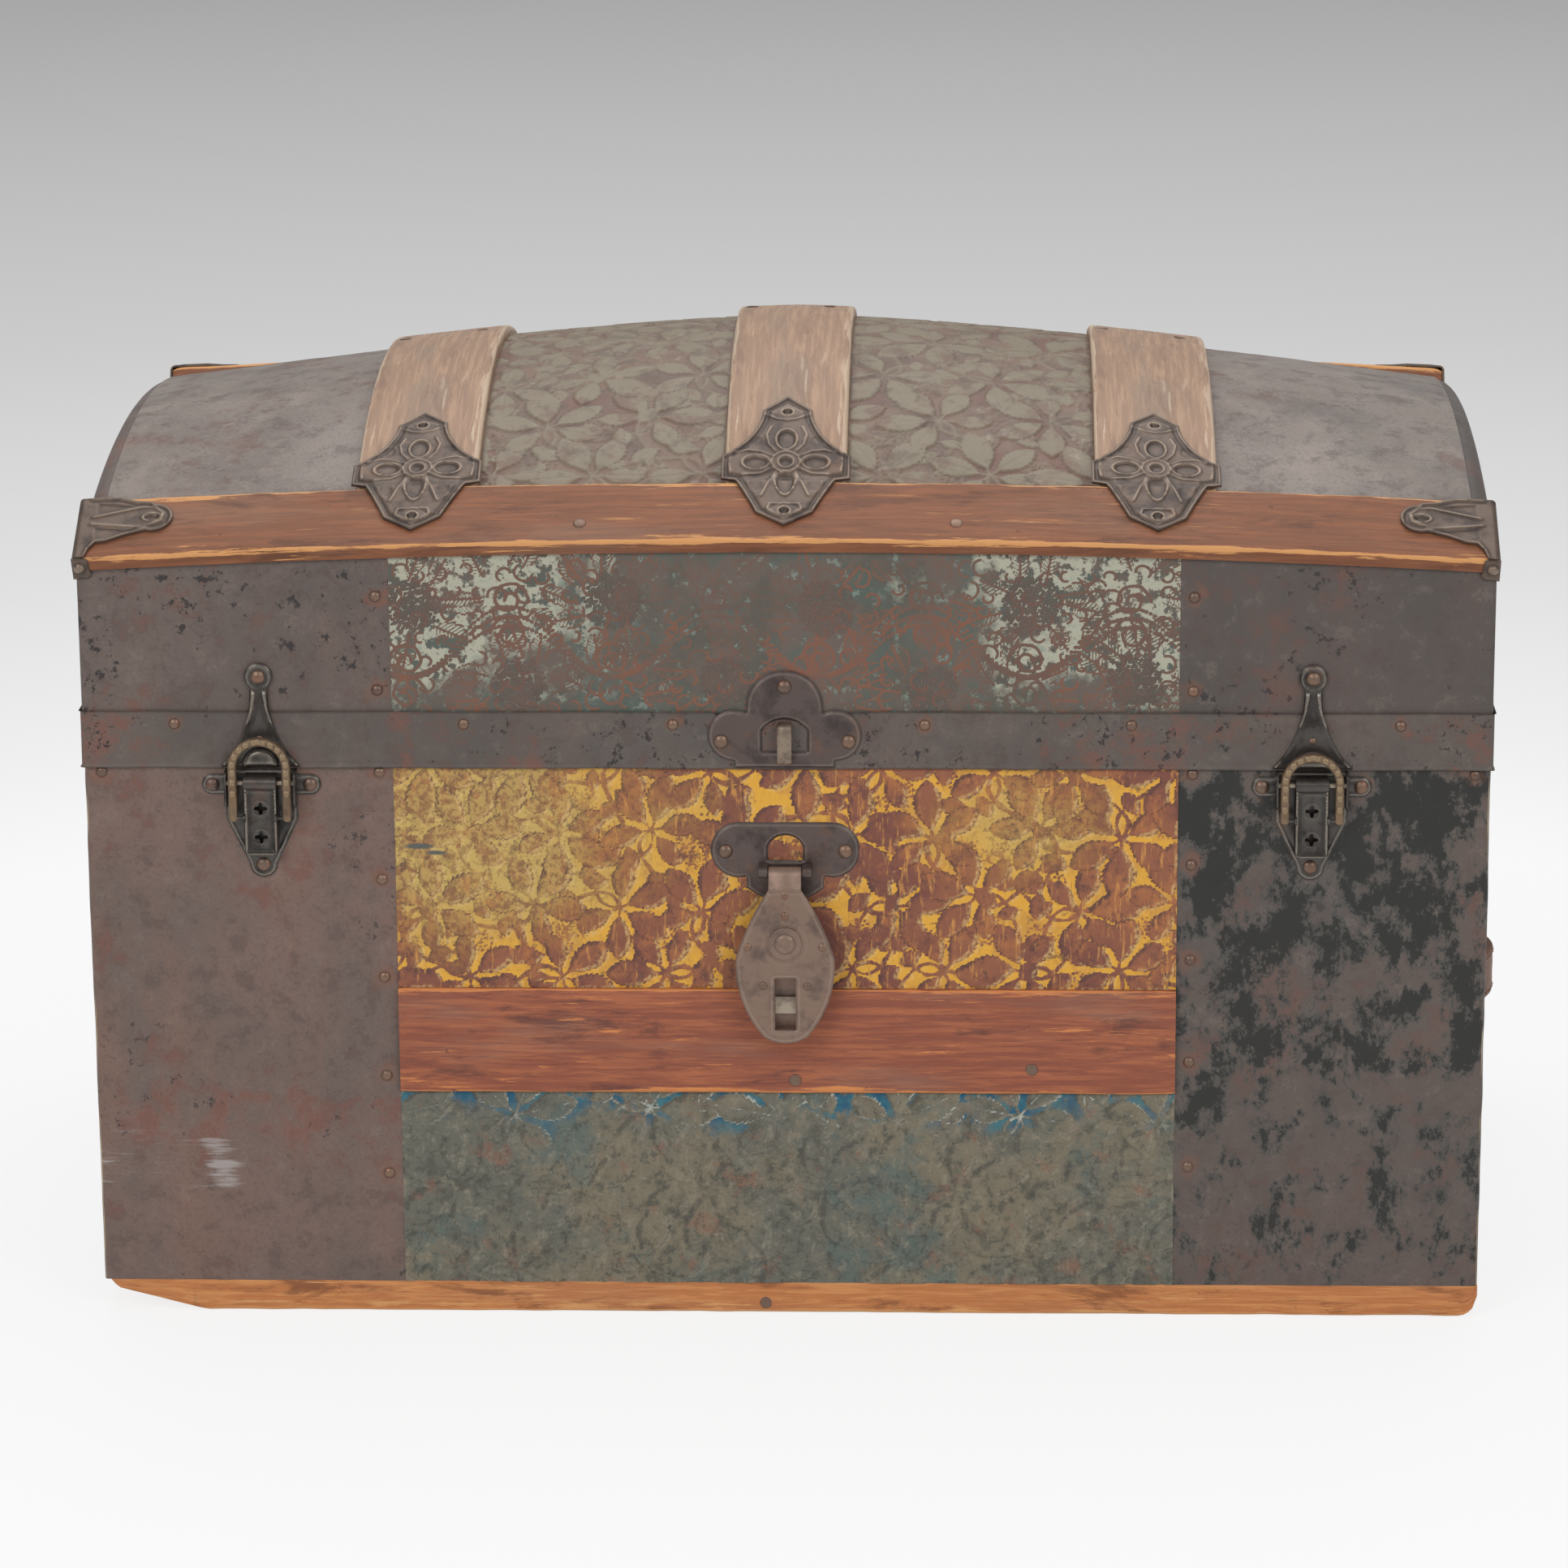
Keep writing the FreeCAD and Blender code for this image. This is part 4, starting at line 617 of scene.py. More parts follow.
# %% [markdown]
# The lid is measured by four curves: the outer edge of the shoulder, the foot of the dome behind the
# rail, the crown and the arc between them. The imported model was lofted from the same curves, so these
# few formulas put tin, wood and clamps where its solids are. Heights and depths are read from the packed
# boxes. The slope, the bow of the rails, the fall of the crown and the rail's size are given as numbers.

# %% The lid's curves
case_min, case_max = box_mm("left_case_sheet")
case_x, case_y, case_low, seam = -case_min[0], case_max[1], case_min[2], case_max[2]
lid_min, lid_max = box_mm("left_lid_sheet")
lid_x, lid_y = -lid_min[0], lid_max[1]
band_low, band_high = (corner[2] for corner in box_mm("lid_band"))
shoulder_top = box_mm("lid_front_panel")[1][2]
crown_top = box_mm("centre_dome_sheet")[1][2]
bay_reach = -box_mm("left_dome_sheet")[1][0]
half_panel = box_mm("front_upper_panel")[1][0]
slat_centres = {"left": -212.0, "middle": 0.0, "right": 212.0}
slope = math.radians(30.0)
rail_bow, crown_fall, crown_power = 11.5, 46.7, 1.5
rail_width, rail_overhang, rail_thick = 50.0, 3.0, 9.0
foot_y = lid_y - (rail_width - rail_overhang) * math.cos(slope)


def shoulder(x):
    return shoulder_top - rail_bow * (x / lid_x) ** 2


def foot(x):
    return shoulder(x) + (lid_y - foot_y) * math.tan(slope)


def dome_circle(x):
    """Radius and centre height of the dome's arc at x."""
    rise = crown_top - crown_fall * (np.abs(x) / lid_x) ** crown_power - foot(x)
    radius = (foot_y ** 2 + rise ** 2) / (2 * rise)
    return radius, foot(x) + rise - radius


def on_dome(x, share, lift=0.0):
    """Places on the dome. The share runs from the front foot, -1, to the rear foot, 1."""
    radius, centre = dome_circle(x)
    angle = share * np.arcsin(foot_y / radius)
    reach = radius + lift
    return np.stack(np.broadcast_arrays(x, reach * np.sin(angle), centre + reach * np.cos(angle)), -1)


def on_shoulder(x, along, above, side=-1):
    """Places on a sloping shoulder, from its outer edge up it, and above it. Side -1 is the front."""
    y = lid_y - along * math.cos(slope) + above * math.sin(slope)
    z = shoulder(x) + along * math.sin(slope) + above * math.cos(slope)
    return np.stack(np.broadcast_arrays(x, side * y, z), -1)


print("lid", lid_x, lid_y, "shoulder", round(shoulder_top, 1), "crown", round(crown_top, 1))

# %% [markdown]
# The tin over the lid is in three kinds: two bays of the dome with the bramble die, a scroll die along
# the front, and plain plates at both ends. The plain tin of the dome's ends is hammered over the edge,
# so its corner is round and the outline of the lid is softer there than the board beneath.

# %% Embossed tin on the lid
def scrolls(die, seed):
    """A double vine in waves, with outlined leaves, tendrils and clusters of berries between."""
    random = np.random.default_rng(seed)
    middle = (die.low[1] + die.high[1]) / 2
    wave = 118.0
    start = die.low[0] - 20
    count = int((die.high[0] - start) / wave * 2) + 2
    for index in range(count):
        x = start + index * wave / 2
        up = 1 if index % 2 else -1
        for row in (-1, 1):
            cx = x + wave / 4 + random.uniform(-6, 6)
            cz = middle + row * 27 + up * 4 + random.uniform(-4, 4)
            if (index + (row > 0)) % 2:
                die.put_berries(cx, cz, random.uniform(15, 19), bead=1.25, lift=0.65,
                                seed=int(random.integers(1 << 30)))
            for spoke in range(7):
                angle = spoke * 51 + random.uniform(-14, 14)
                turn = math.radians(angle)
                aim = angle + random.uniform(-35, 35)
                length, width = random.uniform(17, 27), random.uniform(10, 15)
                die.put_leaf(cx + 17 * math.cos(turn), cz + 15 * math.sin(turn), aim, length, width,
                             lift=0.62, teeth=5, outline_only=True)
    for index in range(count):
        x = start + index * wave / 2
        up = 1 if index % 2 else -1
        for offset in (-3.2, 0.0, 3.2):
            z = middle + offset
            swing = (24 + offset) * up
            die.put_stem([(x, z), (x + wave / 6, z + swing), (x + wave / 3, z + swing), (x + wave / 2, z)],
                         width=1.5, lift=0.65)
        for curl in (-1, 1):
            cx, cz = x + wave / 4, middle + up * (18 + 10 * curl)
            for turn in range(0, 540, 60):
                a, b = math.radians(turn), math.radians(turn + 60)
                ra, rb = 11 - turn / 62, 11 - (turn + 60) / 62
                knot = [(cx + ra * math.cos(a) * curl, cz + ra * math.sin(a)),
                        (cx + ra * math.cos(a + 0.35) * curl, cz + ra * math.sin(a + 0.35)),
                        (cx + rb * math.cos(b - 0.35) * curl, cz + rb * math.sin(b - 0.35)),
                        (cx + rb * math.cos(b) * curl, cz + rb * math.sin(b))]
                die.put_stem(knot, width=1.15, lift=0.5)
    for cz in np.arange(die.low[1] + 22, die.high[1], 13.0):
        for cx in np.arange(die.low[0] + 6, die.high[0], 14.0):
            x, z = cx + random.uniform(-5, 5), cz + random.uniform(-4, 4)
            begin, reach = random.uniform(0, 2 * math.pi), random.uniform(3.0, 6.0)
            hook = [(x + far * reach * math.cos(begin + turn), z + far * reach * math.sin(begin + turn))
                    for far, turn in ((1.0, 0.0), (1.9, 1.0), (1.7, 2.6), (0.8, 3.7))]
            die.put_stem(hook, width=1.0, lift=0.42)


def make_lid_front():
    bottom = box_mm("lid_front_panel")[0][2]
    die = Die((-half_panel, bottom), (half_panel, shoulder_top), pitch=0.9)
    scrolls(die, seed=31)
    die.height *= soft_step(die.z, band_high - 1.0, band_high + 1.5)
    tin = Finish("scroll_tin", roughness=0.5)
    fine = tin.noise(380.0, detail=6.0, rough=0.7)
    patch = tin.noise(26.0, detail=6.0, rough=0.68)
    mottle = tin.noise(95.0, detail=7.0, rough=0.75)
    base = tin.over((104, 92, 84), (88, 86, 78), tin.band(patch, 0.42, 0.6))
    teal = tin.band(tin.sum(tin.noise(34.0, detail=5.0), tin.both(tin.sum(mottle, -0.5), 0.5)), 0.48, 0.62)
    base = tin.over(base, (80, 96, 90), tin.both(teal, 0.6))
    far = tin.node("ShaderNodeMath", operation="ABSOLUTE")
    tin.feed(far.inputs[0], tin.axis("X"))
    ends = tin.band(tin.sum(far.outputs[0], tin.both(tin.sum(patch, -0.5), 0.3)), 0.085, 0.15)
    high = tin.band(tin.sum(tin.axis("Z"), tin.both(tin.sum(patch, -0.5), 0.14)), 0.375, 0.4)
    line = tin.sum(tin.mask("rib"), tin.mask("edge"), "MAXIMUM")
    line = tin.band(tin.sum(line, tin.mask("stem"), "MAXIMUM"), 0.25, 0.6)
    ground = tin.sum(1.0, tin.sum(line, tin.mask("bead"), "MAXIMUM"), "SUBTRACT")
    blotch = tin.noise(105.0, detail=6.0, rough=0.7)
    cream = tin.band(tin.sum(blotch, tin.both(ground, 0.3)), 0.75, 0.8)
    where = tin.both(ends, high)
    tin.colour = base
    tin.coat((172, 170, 152), tin.both(cream, where))
    stray = tin.both(tin.band(tin.sum(blotch, tin.both(ground, 0.2)), 0.76, 0.84), 0.6)
    tin.coat((132, 148, 138), stray)
    tin.coat((112, 82, 70), tin.both(line, tin.sum(tin.both(where, 0.35), 0.5)))
    rusty = tin.both(line, tin.band(tin.noise(17.0, detail=4.0), 0.44, 0.58))
    tin.coat((132, 86, 66), tin.both(rusty, tin.sum(0.8, tin.both(where, 0.6), "SUBTRACT")))
    dot = tin.both(tin.band(tin.mask("bead"), 0.75, 0.95), tin.band(fine, 0.4, 0.6))
    tin.coat((152, 130, 118), tin.both(dot, 0.7))
    tin.coat((96, 72, 64), tin.mask("bead"), 0.1, 0.4, 0.45)
    low = tin.band(tin.sum(tin.axis("Z"), tin.both(fine, 0.01)), 0.376, 0.366)
    orange = tin.both(low, tin.band(tin.noise(30.0), 0.55, 0.7))
    tin.coat((150, 92, 58), tin.both(orange, 0.8))
    material = tin.done(tin.sum(tin.both(fine, 0.3), 0.38), fine, depth=0.2 * mm)
    top = shoulder(die.x)
    z = bottom + (die.z - bottom) * (top - bottom) / (shoulder_top - bottom)
    lift = np.clip(die.height + 0.3 * lumps(die.x, die.z, 90, 4), 0, None)
    points = np.stack([die.x, -lid_y - lift, z], -1)
    add_grid("lid_front_tin", points * mm, material, "lid", "lid_embossed_tin", die_masks(die),
             "lid_front_panel")


def make_dome_bays():
    tin = Finish("dome_tin", roughness=0.5)
    fine = tin.noise(400.0, detail=6.0, rough=0.7)
    patch = tin.noise(26.0, detail=6.0, rough=0.7)
    ground = tin.over((112, 94, 84), (128, 106, 92), tin.band(patch, 0.4, 0.6))
    ground = tin.over(ground, (116, 80, 70), tin.both(tin.band(tin.noise(16.0, detail=4.0), 0.52, 0.66), 0.6))
    leaf = tin.over((126, 116, 98), (138, 126, 108), tin.noise(35.0))
    leaf = tin.over(leaf, (118, 96, 82), tin.band(tin.noise(48.0, detail=5.0), 0.5, 0.64))
    cover = tin.sum(tin.mask("leaf"), tin.mask("stem"), "MAXIMUM")
    cover = tin.sum(cover, tin.both(tin.mask("bead"), 0.7), "MAXIMUM")
    tin.colour = ground
    tin.coat(leaf, cover)
    tin.coat((148, 136, 120), tin.both(tin.mask("rib"), 0.3))
    tin.coat((86, 72, 64), tin.mask("edge"), 0.4, 0.9, 0.4)
    tin.coat((92, 78, 68), tin.noise(75.0, detail=6.0), 0.52, 0.66, 0.5)
    tin.coat((168, 156, 142), tin.noise(80.0, detail=8.0), 0.62, 0.72, 0.45)
    material = tin.done(tin.sum(tin.both(fine, 0.25), 0.36), fine, depth=0.25 * mm)
    radius, _ = dome_circle(0.0)
    half_arc = radius * math.asin(foot_y / radius)
    bays = (("dome_bay_left", (-bay_reach, 0.0), 41), ("dome_bay_right", (0.0, bay_reach), 57))
    for name, ends, seed in bays:
        die = Die((ends[0], -half_arc), (ends[1], half_arc), pitch=1.0)
        bramble(die, seed=seed, spacing=62.0, rise=52.0)
        flat = 1 - soft_step(np.abs(die.x), 174.0, 180.0) * 0.95
        flat *= soft_step(np.abs(die.x), 33.0, 37.0) * 0.95 + 0.05
        flat *= 1 - soft_step(np.abs(die.z), half_arc - 4.0, half_arc - 1.0)
        die.height *= 1.35 * flat
        for mask in (die.leaf, die.rib, die.stem, die.bead, die.edge):
            np.multiply(mask, flat, out=mask)
        points = on_dome(die.x, die.z / half_arc, die.height + 0.02)
        add_grid(name, points * mm, material, "lid", "dome_embossed_tin", die_masks(die), "centre_dome_sheet")


make_lid_front()
make_dome_bays()

# %% [markdown]
# Plain plates wrap each end. On the real object one sheet is bent round the corner and nailed, so it
# bulges a little between the nails, it rusts round each nail, and its paint flakes. The plate here is one
# grid along a path: the front, a small round corner, the end and the back. Its halo mask is the nearness
# of the tacks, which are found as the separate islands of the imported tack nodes.

# %% Plain tin plates
def islands(name):
    """Lowest and highest corner of each separate head in a node, in millimetres."""
    mesh = bmesh.new()
    mesh.from_mesh(nodes[name].data)
    bmesh.ops.remove_doubles(mesh, verts=mesh.verts, dist=1e-6)
    seen = set()
    found = []
    for first in mesh.verts:
        if first in seen:
            continue
        seen.add(first)
        stack = [first]
        group = []
        while stack:
            vert = stack.pop()
            group.append(vert.co)
            for edge in vert.link_edges:
                other = edge.other_vert(vert)
                if other not in seen:
                    seen.add(other)
                    stack.append(other)
        points = np.array(group) * 1000
        found.append((points.min(0), points.max(0)))
    mesh.free()
    return found


head_nodes = ("case_tacks", "lid_tacks", "case_rivets", "lid_rivets", "hasp_rivets")
heads = {name: islands(name) for name in head_nodes}
print("heads", {name: len(found) for name, found in heads.items()})


def halo(points, names, reach=9.0):
    """One at a fastening and zero a few millimetres away from it."""
    near = np.zeros(points.shape[:2])
    for name in names:
        for low, high in heads[name]:
            far = np.linalg.norm(points - (low + high) / 2, axis=-1)
            near = np.maximum(near, np.exp(-(far / reach) ** 2))
    return near


def plain_tin(name, base, other, streak, black=0.0, pale=0.25, rust=0.35, specks=0.5, crowd=0.5):
    """Old lacquered tin: brown haze, mottling, clusters of black flakes, rust round the fastenings."""
    tin = Finish(name, roughness=0.45)
    fine = tin.noise(500.0, detail=5.0, rough=0.7)
    patch = tin.noise(9.0, detail=6.0, rough=0.62)
    mottle = tin.noise(52.0, detail=9.0, rough=0.78)
    streaks = tin.noise(7.0, detail=6.0, rough=0.65, at=tin.place(stretch=(3.5, 3.5, 0.9)))
    tin.colour = base
    tin.coat(other, patch, 0.38, 0.62)
    tin.coat(streak, streaks, 0.48, 0.72, 0.7)
    tin.coat((82, 80, 78), tin.noise(11.0, detail=5.0), 0.54, 0.68, 0.4)
    tin.coat((84, 70, 66), mottle, 0.5, 0.6, 0.5)
    tin.coat((139, 124, 114), mottle, 0.46, 0.36, pale)
    bloom = tin.sum(tin.noise(13.0, detail=5.0, rough=0.6), tin.both(tin.sum(mottle, -0.5), 0.5))
    tin.coat((138, 86, 70), bloom, 0.54, 0.7, rust)
    tin.coat((88, 76, 72), fine, 0.5, 0.62, 0.35)
    flake = tin.noise(34.0, detail=10.0, rough=0.76, warp=0.12, at=tin.place(stretch=(1.15, 1.15, 0.8)))
    ring = tin.sum(tin.mask("halo"), tin.both(tin.sum(mottle, -0.5), 3.0))
    if black:
        height = tin.band(tin.axis("Z"), 0.08, 0.31)
        covered = tin.sum(flake, tin.both(height, 0.075))
        covered = tin.sum(covered, tin.both(tin.mask("halo"), 0.12), "SUBTRACT")
        film = tin.band(covered, black - 0.03, black + 0.01)
        tin.coat((70, 72, 69), tin.both(film, 0.7))
        tin.coat((40, 40, 38), covered, black + 0.012, black + 0.04, 0.92)
    cluster = tin.band(tin.noise(12.0, detail=4.0, rough=0.6), crowd, crowd + 0.12)
    speck = tin.band(tin.sum(tin.noise(150.0, detail=6.0, rough=0.72), tin.both(cluster, 0.1)), 0.68, 0.71)
    tin.coat((48, 44, 44), tin.both(speck, specks))
    tin.coat((132, 88, 68), ring, 0.4, 1.0, 0.5)
    tin.coat((78, 58, 52), tin.mask("halo"), 0.72, 0.95, 0.5)
    scratch = tin.noise(60.0, detail=6.0, rough=0.75, at=tin.place(stretch=(0.4, 0.4, 5.0)))
    chalk = tin.band(tin.sum(tin.mask("chalk"), tin.both(tin.sum(scratch, -0.5), 2.4)), 0.5, 0.95)
    tin.coat((172, 165, 162), tin.both(chalk, 0.75))
    rough = tin.sum(tin.both(patch, 0.3), tin.both(mottle, 0.25))
    return tin.done(tin.sum(rough, 0.16), tin.sum(fine, tin.both(mottle, 1.6)), depth=0.25 * mm)


def wrap_path(half_x, half_y, inner_x, radius, pitch):
    """Plan of a left plate: along the front, round the corner, across the end and along the back."""
    front = [(-x, -half_y) for x in np.arange(inner_x, half_x - radius, pitch)]
    turn = [(-half_x + radius - radius * math.sin(a), -half_y + radius - radius * math.cos(a))
            for a in np.linspace(0, math.pi / 2, 7)]
    count = int((half_y - radius) / pitch)
    end = [(-half_x, y) for y in np.linspace(-half_y + radius, half_y - radius, 2 * count)[1:-1]]
    half = front + turn
    return np.array(half + end + [(x, -y) for x, y in reversed(half)])


def outward(path):
    """Unit normals of a plan, to its outside."""
    run = np.gradient(path, axis=0)
    normal = np.stack([-run[:, 1], run[:, 0]], -1)
    normal /= np.linalg.norm(normal, axis=1)[:, None]
    return -normal if normal[0, 1] > 0 else normal


def distance_along(path):
    return np.cumsum(np.r_[0, np.linalg.norm(np.diff(path, axis=0), axis=1)])


def make_case_plates(materials):
    path = wrap_path(case_x, case_y, half_panel, 3.0, 2.6)
    normal = outward(path)
    z = np.linspace(case_low, seam, 118)[:, None]
    run = distance_along(path)[None, :]
    for side, name in ((-1, "left"), (1, "right")):
        dent = 0.42 * lumps(run, z, 130.0, 60 + side) + 0.2 * lumps(run, z, 45.0, 70 + side, octaves=2)
        dent = np.clip(dent + 0.1, -0.1, 0.42)
        points = np.zeros((len(z), len(path), 3))
        points[..., 0] = -side * (path[:, 0] + normal[:, 0] * dent)
        points[..., 1] = path[:, 1] + normal[:, 1] * dent
        points[..., 2] = z
        near = halo(points, ("case_tacks", "case_rivets"))
        chalk = np.zeros_like(near)
        if side < 0:
            x, y, level = points[..., 0], points[..., 1], points[..., 2]
            core = 0.85 * np.exp(-((x + 333 + 0.3 * (level - 95)) / 13) ** 2 - ((level - 92) / 19) ** 4)
            smear = 0.42 * soft_step(-x, 332, 350) * np.exp(-((level - 92) / 25) ** 6)
            chalk = np.maximum(core, smear) * (y < -200)
        add_grid(name + "_case_plate", points * mm, materials[name], "case", "plain_tin",
                 {"halo": near, "chalk": chalk}, name + "_case_sheet", flip=side < 0)


def make_lid_plates(materials):
    """The lid's end plates, which also turn over the edge of the dome with a round corner."""
    turn_over = 11.0
    path = wrap_path(lid_x, lid_y, half_panel, 3.0, 2.6)
    normal = outward(path)
    x, y = path[:, 0], path[:, 1]
    radius, centre = dome_circle(lid_x)
    arc = centre + np.sqrt(radius ** 2 - np.minimum(np.abs(y), foot_y) ** 2)
    slant = shoulder(x) + np.maximum(lid_y - np.abs(y), 0) * math.tan(slope)
    on_end = x < -lid_x + 3.1
    top = np.where(on_end & (np.abs(y) < foot_y), arc, slant)
    lowered = turn_over * soft_step(foot_y - np.abs(y), -6.0, 14.0) * on_end
    rise = np.linspace(0, 1, 52)[:, None]
    wall = np.stack(np.broadcast_arrays(x, y, lid_min[2] + rise * (top - lowered - lid_min[2])), -1)
    steps = np.linspace(0, math.pi / 2, 9)[1:, None]
    over = np.stack(np.broadcast_arrays(
        x + lowered * (1 - np.cos(steps)), y, top - lowered * (1 - np.sin(steps))), -1)
    left = np.concatenate([wall, over])
    level = np.concatenate([rise * np.ones_like(x), np.ones((len(steps), len(x)))])
    run = distance_along(path)[None, :]
    for side, name in ((-1, "left"), (1, "right")):
        dent = 0.35 * lumps(run, left[..., 2], 110.0, 80 + side)
        dent = np.clip(dent, 0.0, 0.4) * soft_step(level, 0.0, 0.1) * (1 - soft_step(level, 0.85, 1.0))
        points = left.copy()
        points[..., 0] += normal[:, 0] * dent
        points[..., 1] += normal[:, 1] * dent
        points[..., 0] *= -side
        near = halo(points, ("lid_tacks", "lid_rivets"))
        add_grid(name + "_lid_plate", points * mm, materials[name], "lid", "plain_tin",
                 {"halo": near, "chalk": near * 0}, name + "_lid_sheet", flip=side < 0)
        across = np.linspace(bay_reach, lid_x - turn_over, 62)[None, :] * side
        share = np.linspace(-1, 1, 130)[:, None]
        dent = np.clip(0.45 * lumps(across, share * 200, 80.0, 90 + side), 0, 0.4)
        points = on_dome(across, share, dent * (1 - soft_step(np.abs(across), 380, 390)))
        near = halo(points, ("lid_tacks",))
        add_grid(name + "_dome_plate", points * mm, materials["dome"], "lid", "dome_embossed_tin",
                 {"halo": near, "chalk": near * 0}, name + "_dome_sheet", flip=side < 0)


def make_band(material):
    """The tin band along the front and both ends, one long grid with a turned edge above and below."""
    face = -box_mm("lid_band")[0][1]
    half = wrap_path(lid_x + 0.8, face, 0.0, 2.0, 3.0)
    half = half[half[:, 1] < lid_y - 2]
    path = np.concatenate([half[::-1], half[1:] * (-1, 1)])
    normal = outward(path)
    levels = [(-1.0, band_low + 0.1)] + [(0.0, z) for z in np.linspace(band_low + 0.5, band_high - 0.5, 15)]
    levels.append((-1.0, band_high - 0.1))
    run = distance_along(path)
    points = np.zeros((len(levels), len(path), 3))
    for row, (inset, z) in enumerate(levels):
        push = inset + 0.12 * lumps(run, z, 60.0, 7)
        points[row, :, 0] = path[:, 0] + normal[:, 0] * push
        points[row, :, 1] = path[:, 1] + normal[:, 1] * push
        points[row, :, 2] = z + 0.35 * lumps(run, z * 0, 150.0, 8)
    near = halo(points, ("lid_tacks", "lid_rivets"), reach=7.0)
    masks = {"halo": near, "chalk": near * 0}
    add_grid("lid_band_tin", points * mm, material, "lid", "band_tin", masks, "lid_band")


left_tin = plain_tin("left_tin", (119, 98, 90), (110, 94, 87), (126, 99, 86), rust=0.45, specks=0.7)
right_tin = plain_tin("right_tin", (94, 85, 80), (100, 87, 81), (90, 81, 76), black=0.535, rust=0.25)
lid_tin = plain_tin("lid_end_tin", (108, 95, 89), (98, 87, 82), (115, 95, 86), rust=0.4, specks=0.9,
                    crowd=0.44)
right_lid_tin = plain_tin("right_lid_tin", (89, 81, 77), (84, 78, 74), (94, 82, 77), rust=0.25,
                          specks=0.8, crowd=0.46)
dome_tin = plain_tin("dome_end_tin", (138, 127, 120), (122, 111, 104), (152, 140, 130), pale=0.7, rust=0.2,
                     specks=0.3)
band_tin = plain_tin("band_tin", (100, 90, 84), (90, 83, 78), (106, 91, 84), rust=0.45, specks=0.9, crowd=0.4)
make_case_plates({"left": left_tin, "right": right_tin})
make_lid_plates({"left": lid_tin, "right": right_lid_tin, "dome": dome_tin})
make_band(band_tin)

# %% [markdown]
# The wood is ash or elm, bent for the slats and sawn for the rails, once varnished. Boards are swept:
# a section with rounded corners follows the board's own line, and the corners are worn down unevenly, as
# they are where hands and floors touched them. Two masks go with the points: fibre, which is the place in
# the board's own directions so that grain runs along it, and worn, which is high on the corners.

# %% Swept boards
def rounded(width, thick, radius, seed, stations, chips=0.8, corners=5, flat=4):
    """Sections of a board: places across and up from its underside, with worn upper corners."""
    radii = np.full((stations, 2), radius)
    at = np.arange(stations)
    for side in range(2):
        radii[:, side] += chips * np.clip(lumps(at * 3.0, at * 0.0, 90.0, seed + side, octaves=4), -0.6, 1.6)
    sections, worn = [], []
    for station in range(stations):
        points, marks = [(0.0, 0.0)], [0.2]
        for side in range(2):
            reach = min(max(radii[station, side], 0.6), thick * 0.75)
            for step in range(corners):
                angle = math.pi / 2 * step / (corners - 1)
                if side == 0:
                    across, up = reach * (1 - math.cos(angle)), thick - reach * (1 - math.sin(angle))
                else:
                    across, up = width - reach * (1 - math.sin(angle)), thick - reach * (1 - math.cos(angle))
                points.append((across, up))
                marks.append(0.55 + 0.45 * math.sin(2 * angle))
            if side == 0:
                gap = width - reach - max(radii[station, 1], 0.6)
                for step in range(1, flat * 2):
                    points.append((reach + gap * step / (flat * 2), thick))
                    marks.append(max(0.0, 0.35 - 0.35 * min(step, flat * 2 - step) / 2))
        points.append((width, 0.0))
        marks.append(0.2)
        sections.append(points)
        worn.append(marks)
    return np.array(sections), np.array(worn)


def board_shape(place, length, width, thick, radius=2.2, chips=0.8, seed=0, pitch=3.0, warp=0.25, ends=1.2):
    """Sweeps a board. place(along, across, up) gives points; all are in millimetres."""
    stations = max(int(length / pitch), 12)
    section, worn = rounded(width, thick, radius, seed, stations, chips)
    along = np.linspace(0, length, stations)[:, None]
    shrink = ends * (1 - soft_step(np.minimum(along, length - along), -0.01, 4.0))
    across = section[..., 0] + (width / 2 - section[..., 0]) * shrink * 2 / width
    up = section[..., 1] * (1 - shrink / thick * (section[..., 1] > thick * 0.5))
    wave = warp * lumps(along * 1.0, across * 3.0, 70.0, seed + 5) * (up > 0.5)
    points = place(along + 0 * across, across, up - np.abs(wave) * 0.7)
    fibre = np.stack([along + 0 * across, across, up], -1) * mm
    count, around = points.shape[:2]
    verts = np.concatenate([points.reshape(-1, 3), points[0].mean(0)[None], points[-1].mean(0)[None]])
    faces = [tuple(face) for face in grid_faces(count, around, closed=True)]
    last = (count - 1) * around
    for step in range(around):
        following = (step + 1) % around
        faces.append((count * around, following, step))
        faces.append((count * around + 1, last + step, last + following))
    fibre = np.concatenate([fibre.reshape(-1, 3), fibre[0].mean(0)[None], fibre[-1].mean(0)[None]])
    return verts, faces, fibre, np.concatenate([worn.reshape(-1), [0.5, 0.5]])


def add_boards(name, shapes, material, body, slot, replaced):
    """One piece from one or more swept boards."""
    faces, seen = [], 0
    for shape in shapes:
        faces += [tuple(int(i) + seen for i in face) for face in shape[1]]
        seen += len(shape[0])
    verts, fibre, worn = (np.concatenate([shape[part] for shape in shapes]) for part in (0, 2, 3))
    mesh = add_piece(name, verts * mm, faces, material, body, slot, replaced).data
    mesh.attributes.new("fibre", "FLOAT_VECTOR", "POINT").data.foreach_set("vector", fibre.reshape(-1))
    mesh.attributes.new("worn", "FLOAT", "POINT").data.foreach_set("value", worn)
    fix = bmesh.new()
    fix.from_mesh(mesh)
    bmesh.ops.recalc_face_normals(fix, faces=fix.faces)
    fix.to_mesh(mesh)
    fix.free()
    mesh.set_sharp_from_angle(angle=math.radians(50))


def add_board(name, place, length, width, thick, material, body, slot, replaced, **shape):
    board = board_shape(place, length, width, thick, **shape)
    add_boards(name, [board], material, body, slot, replaced)


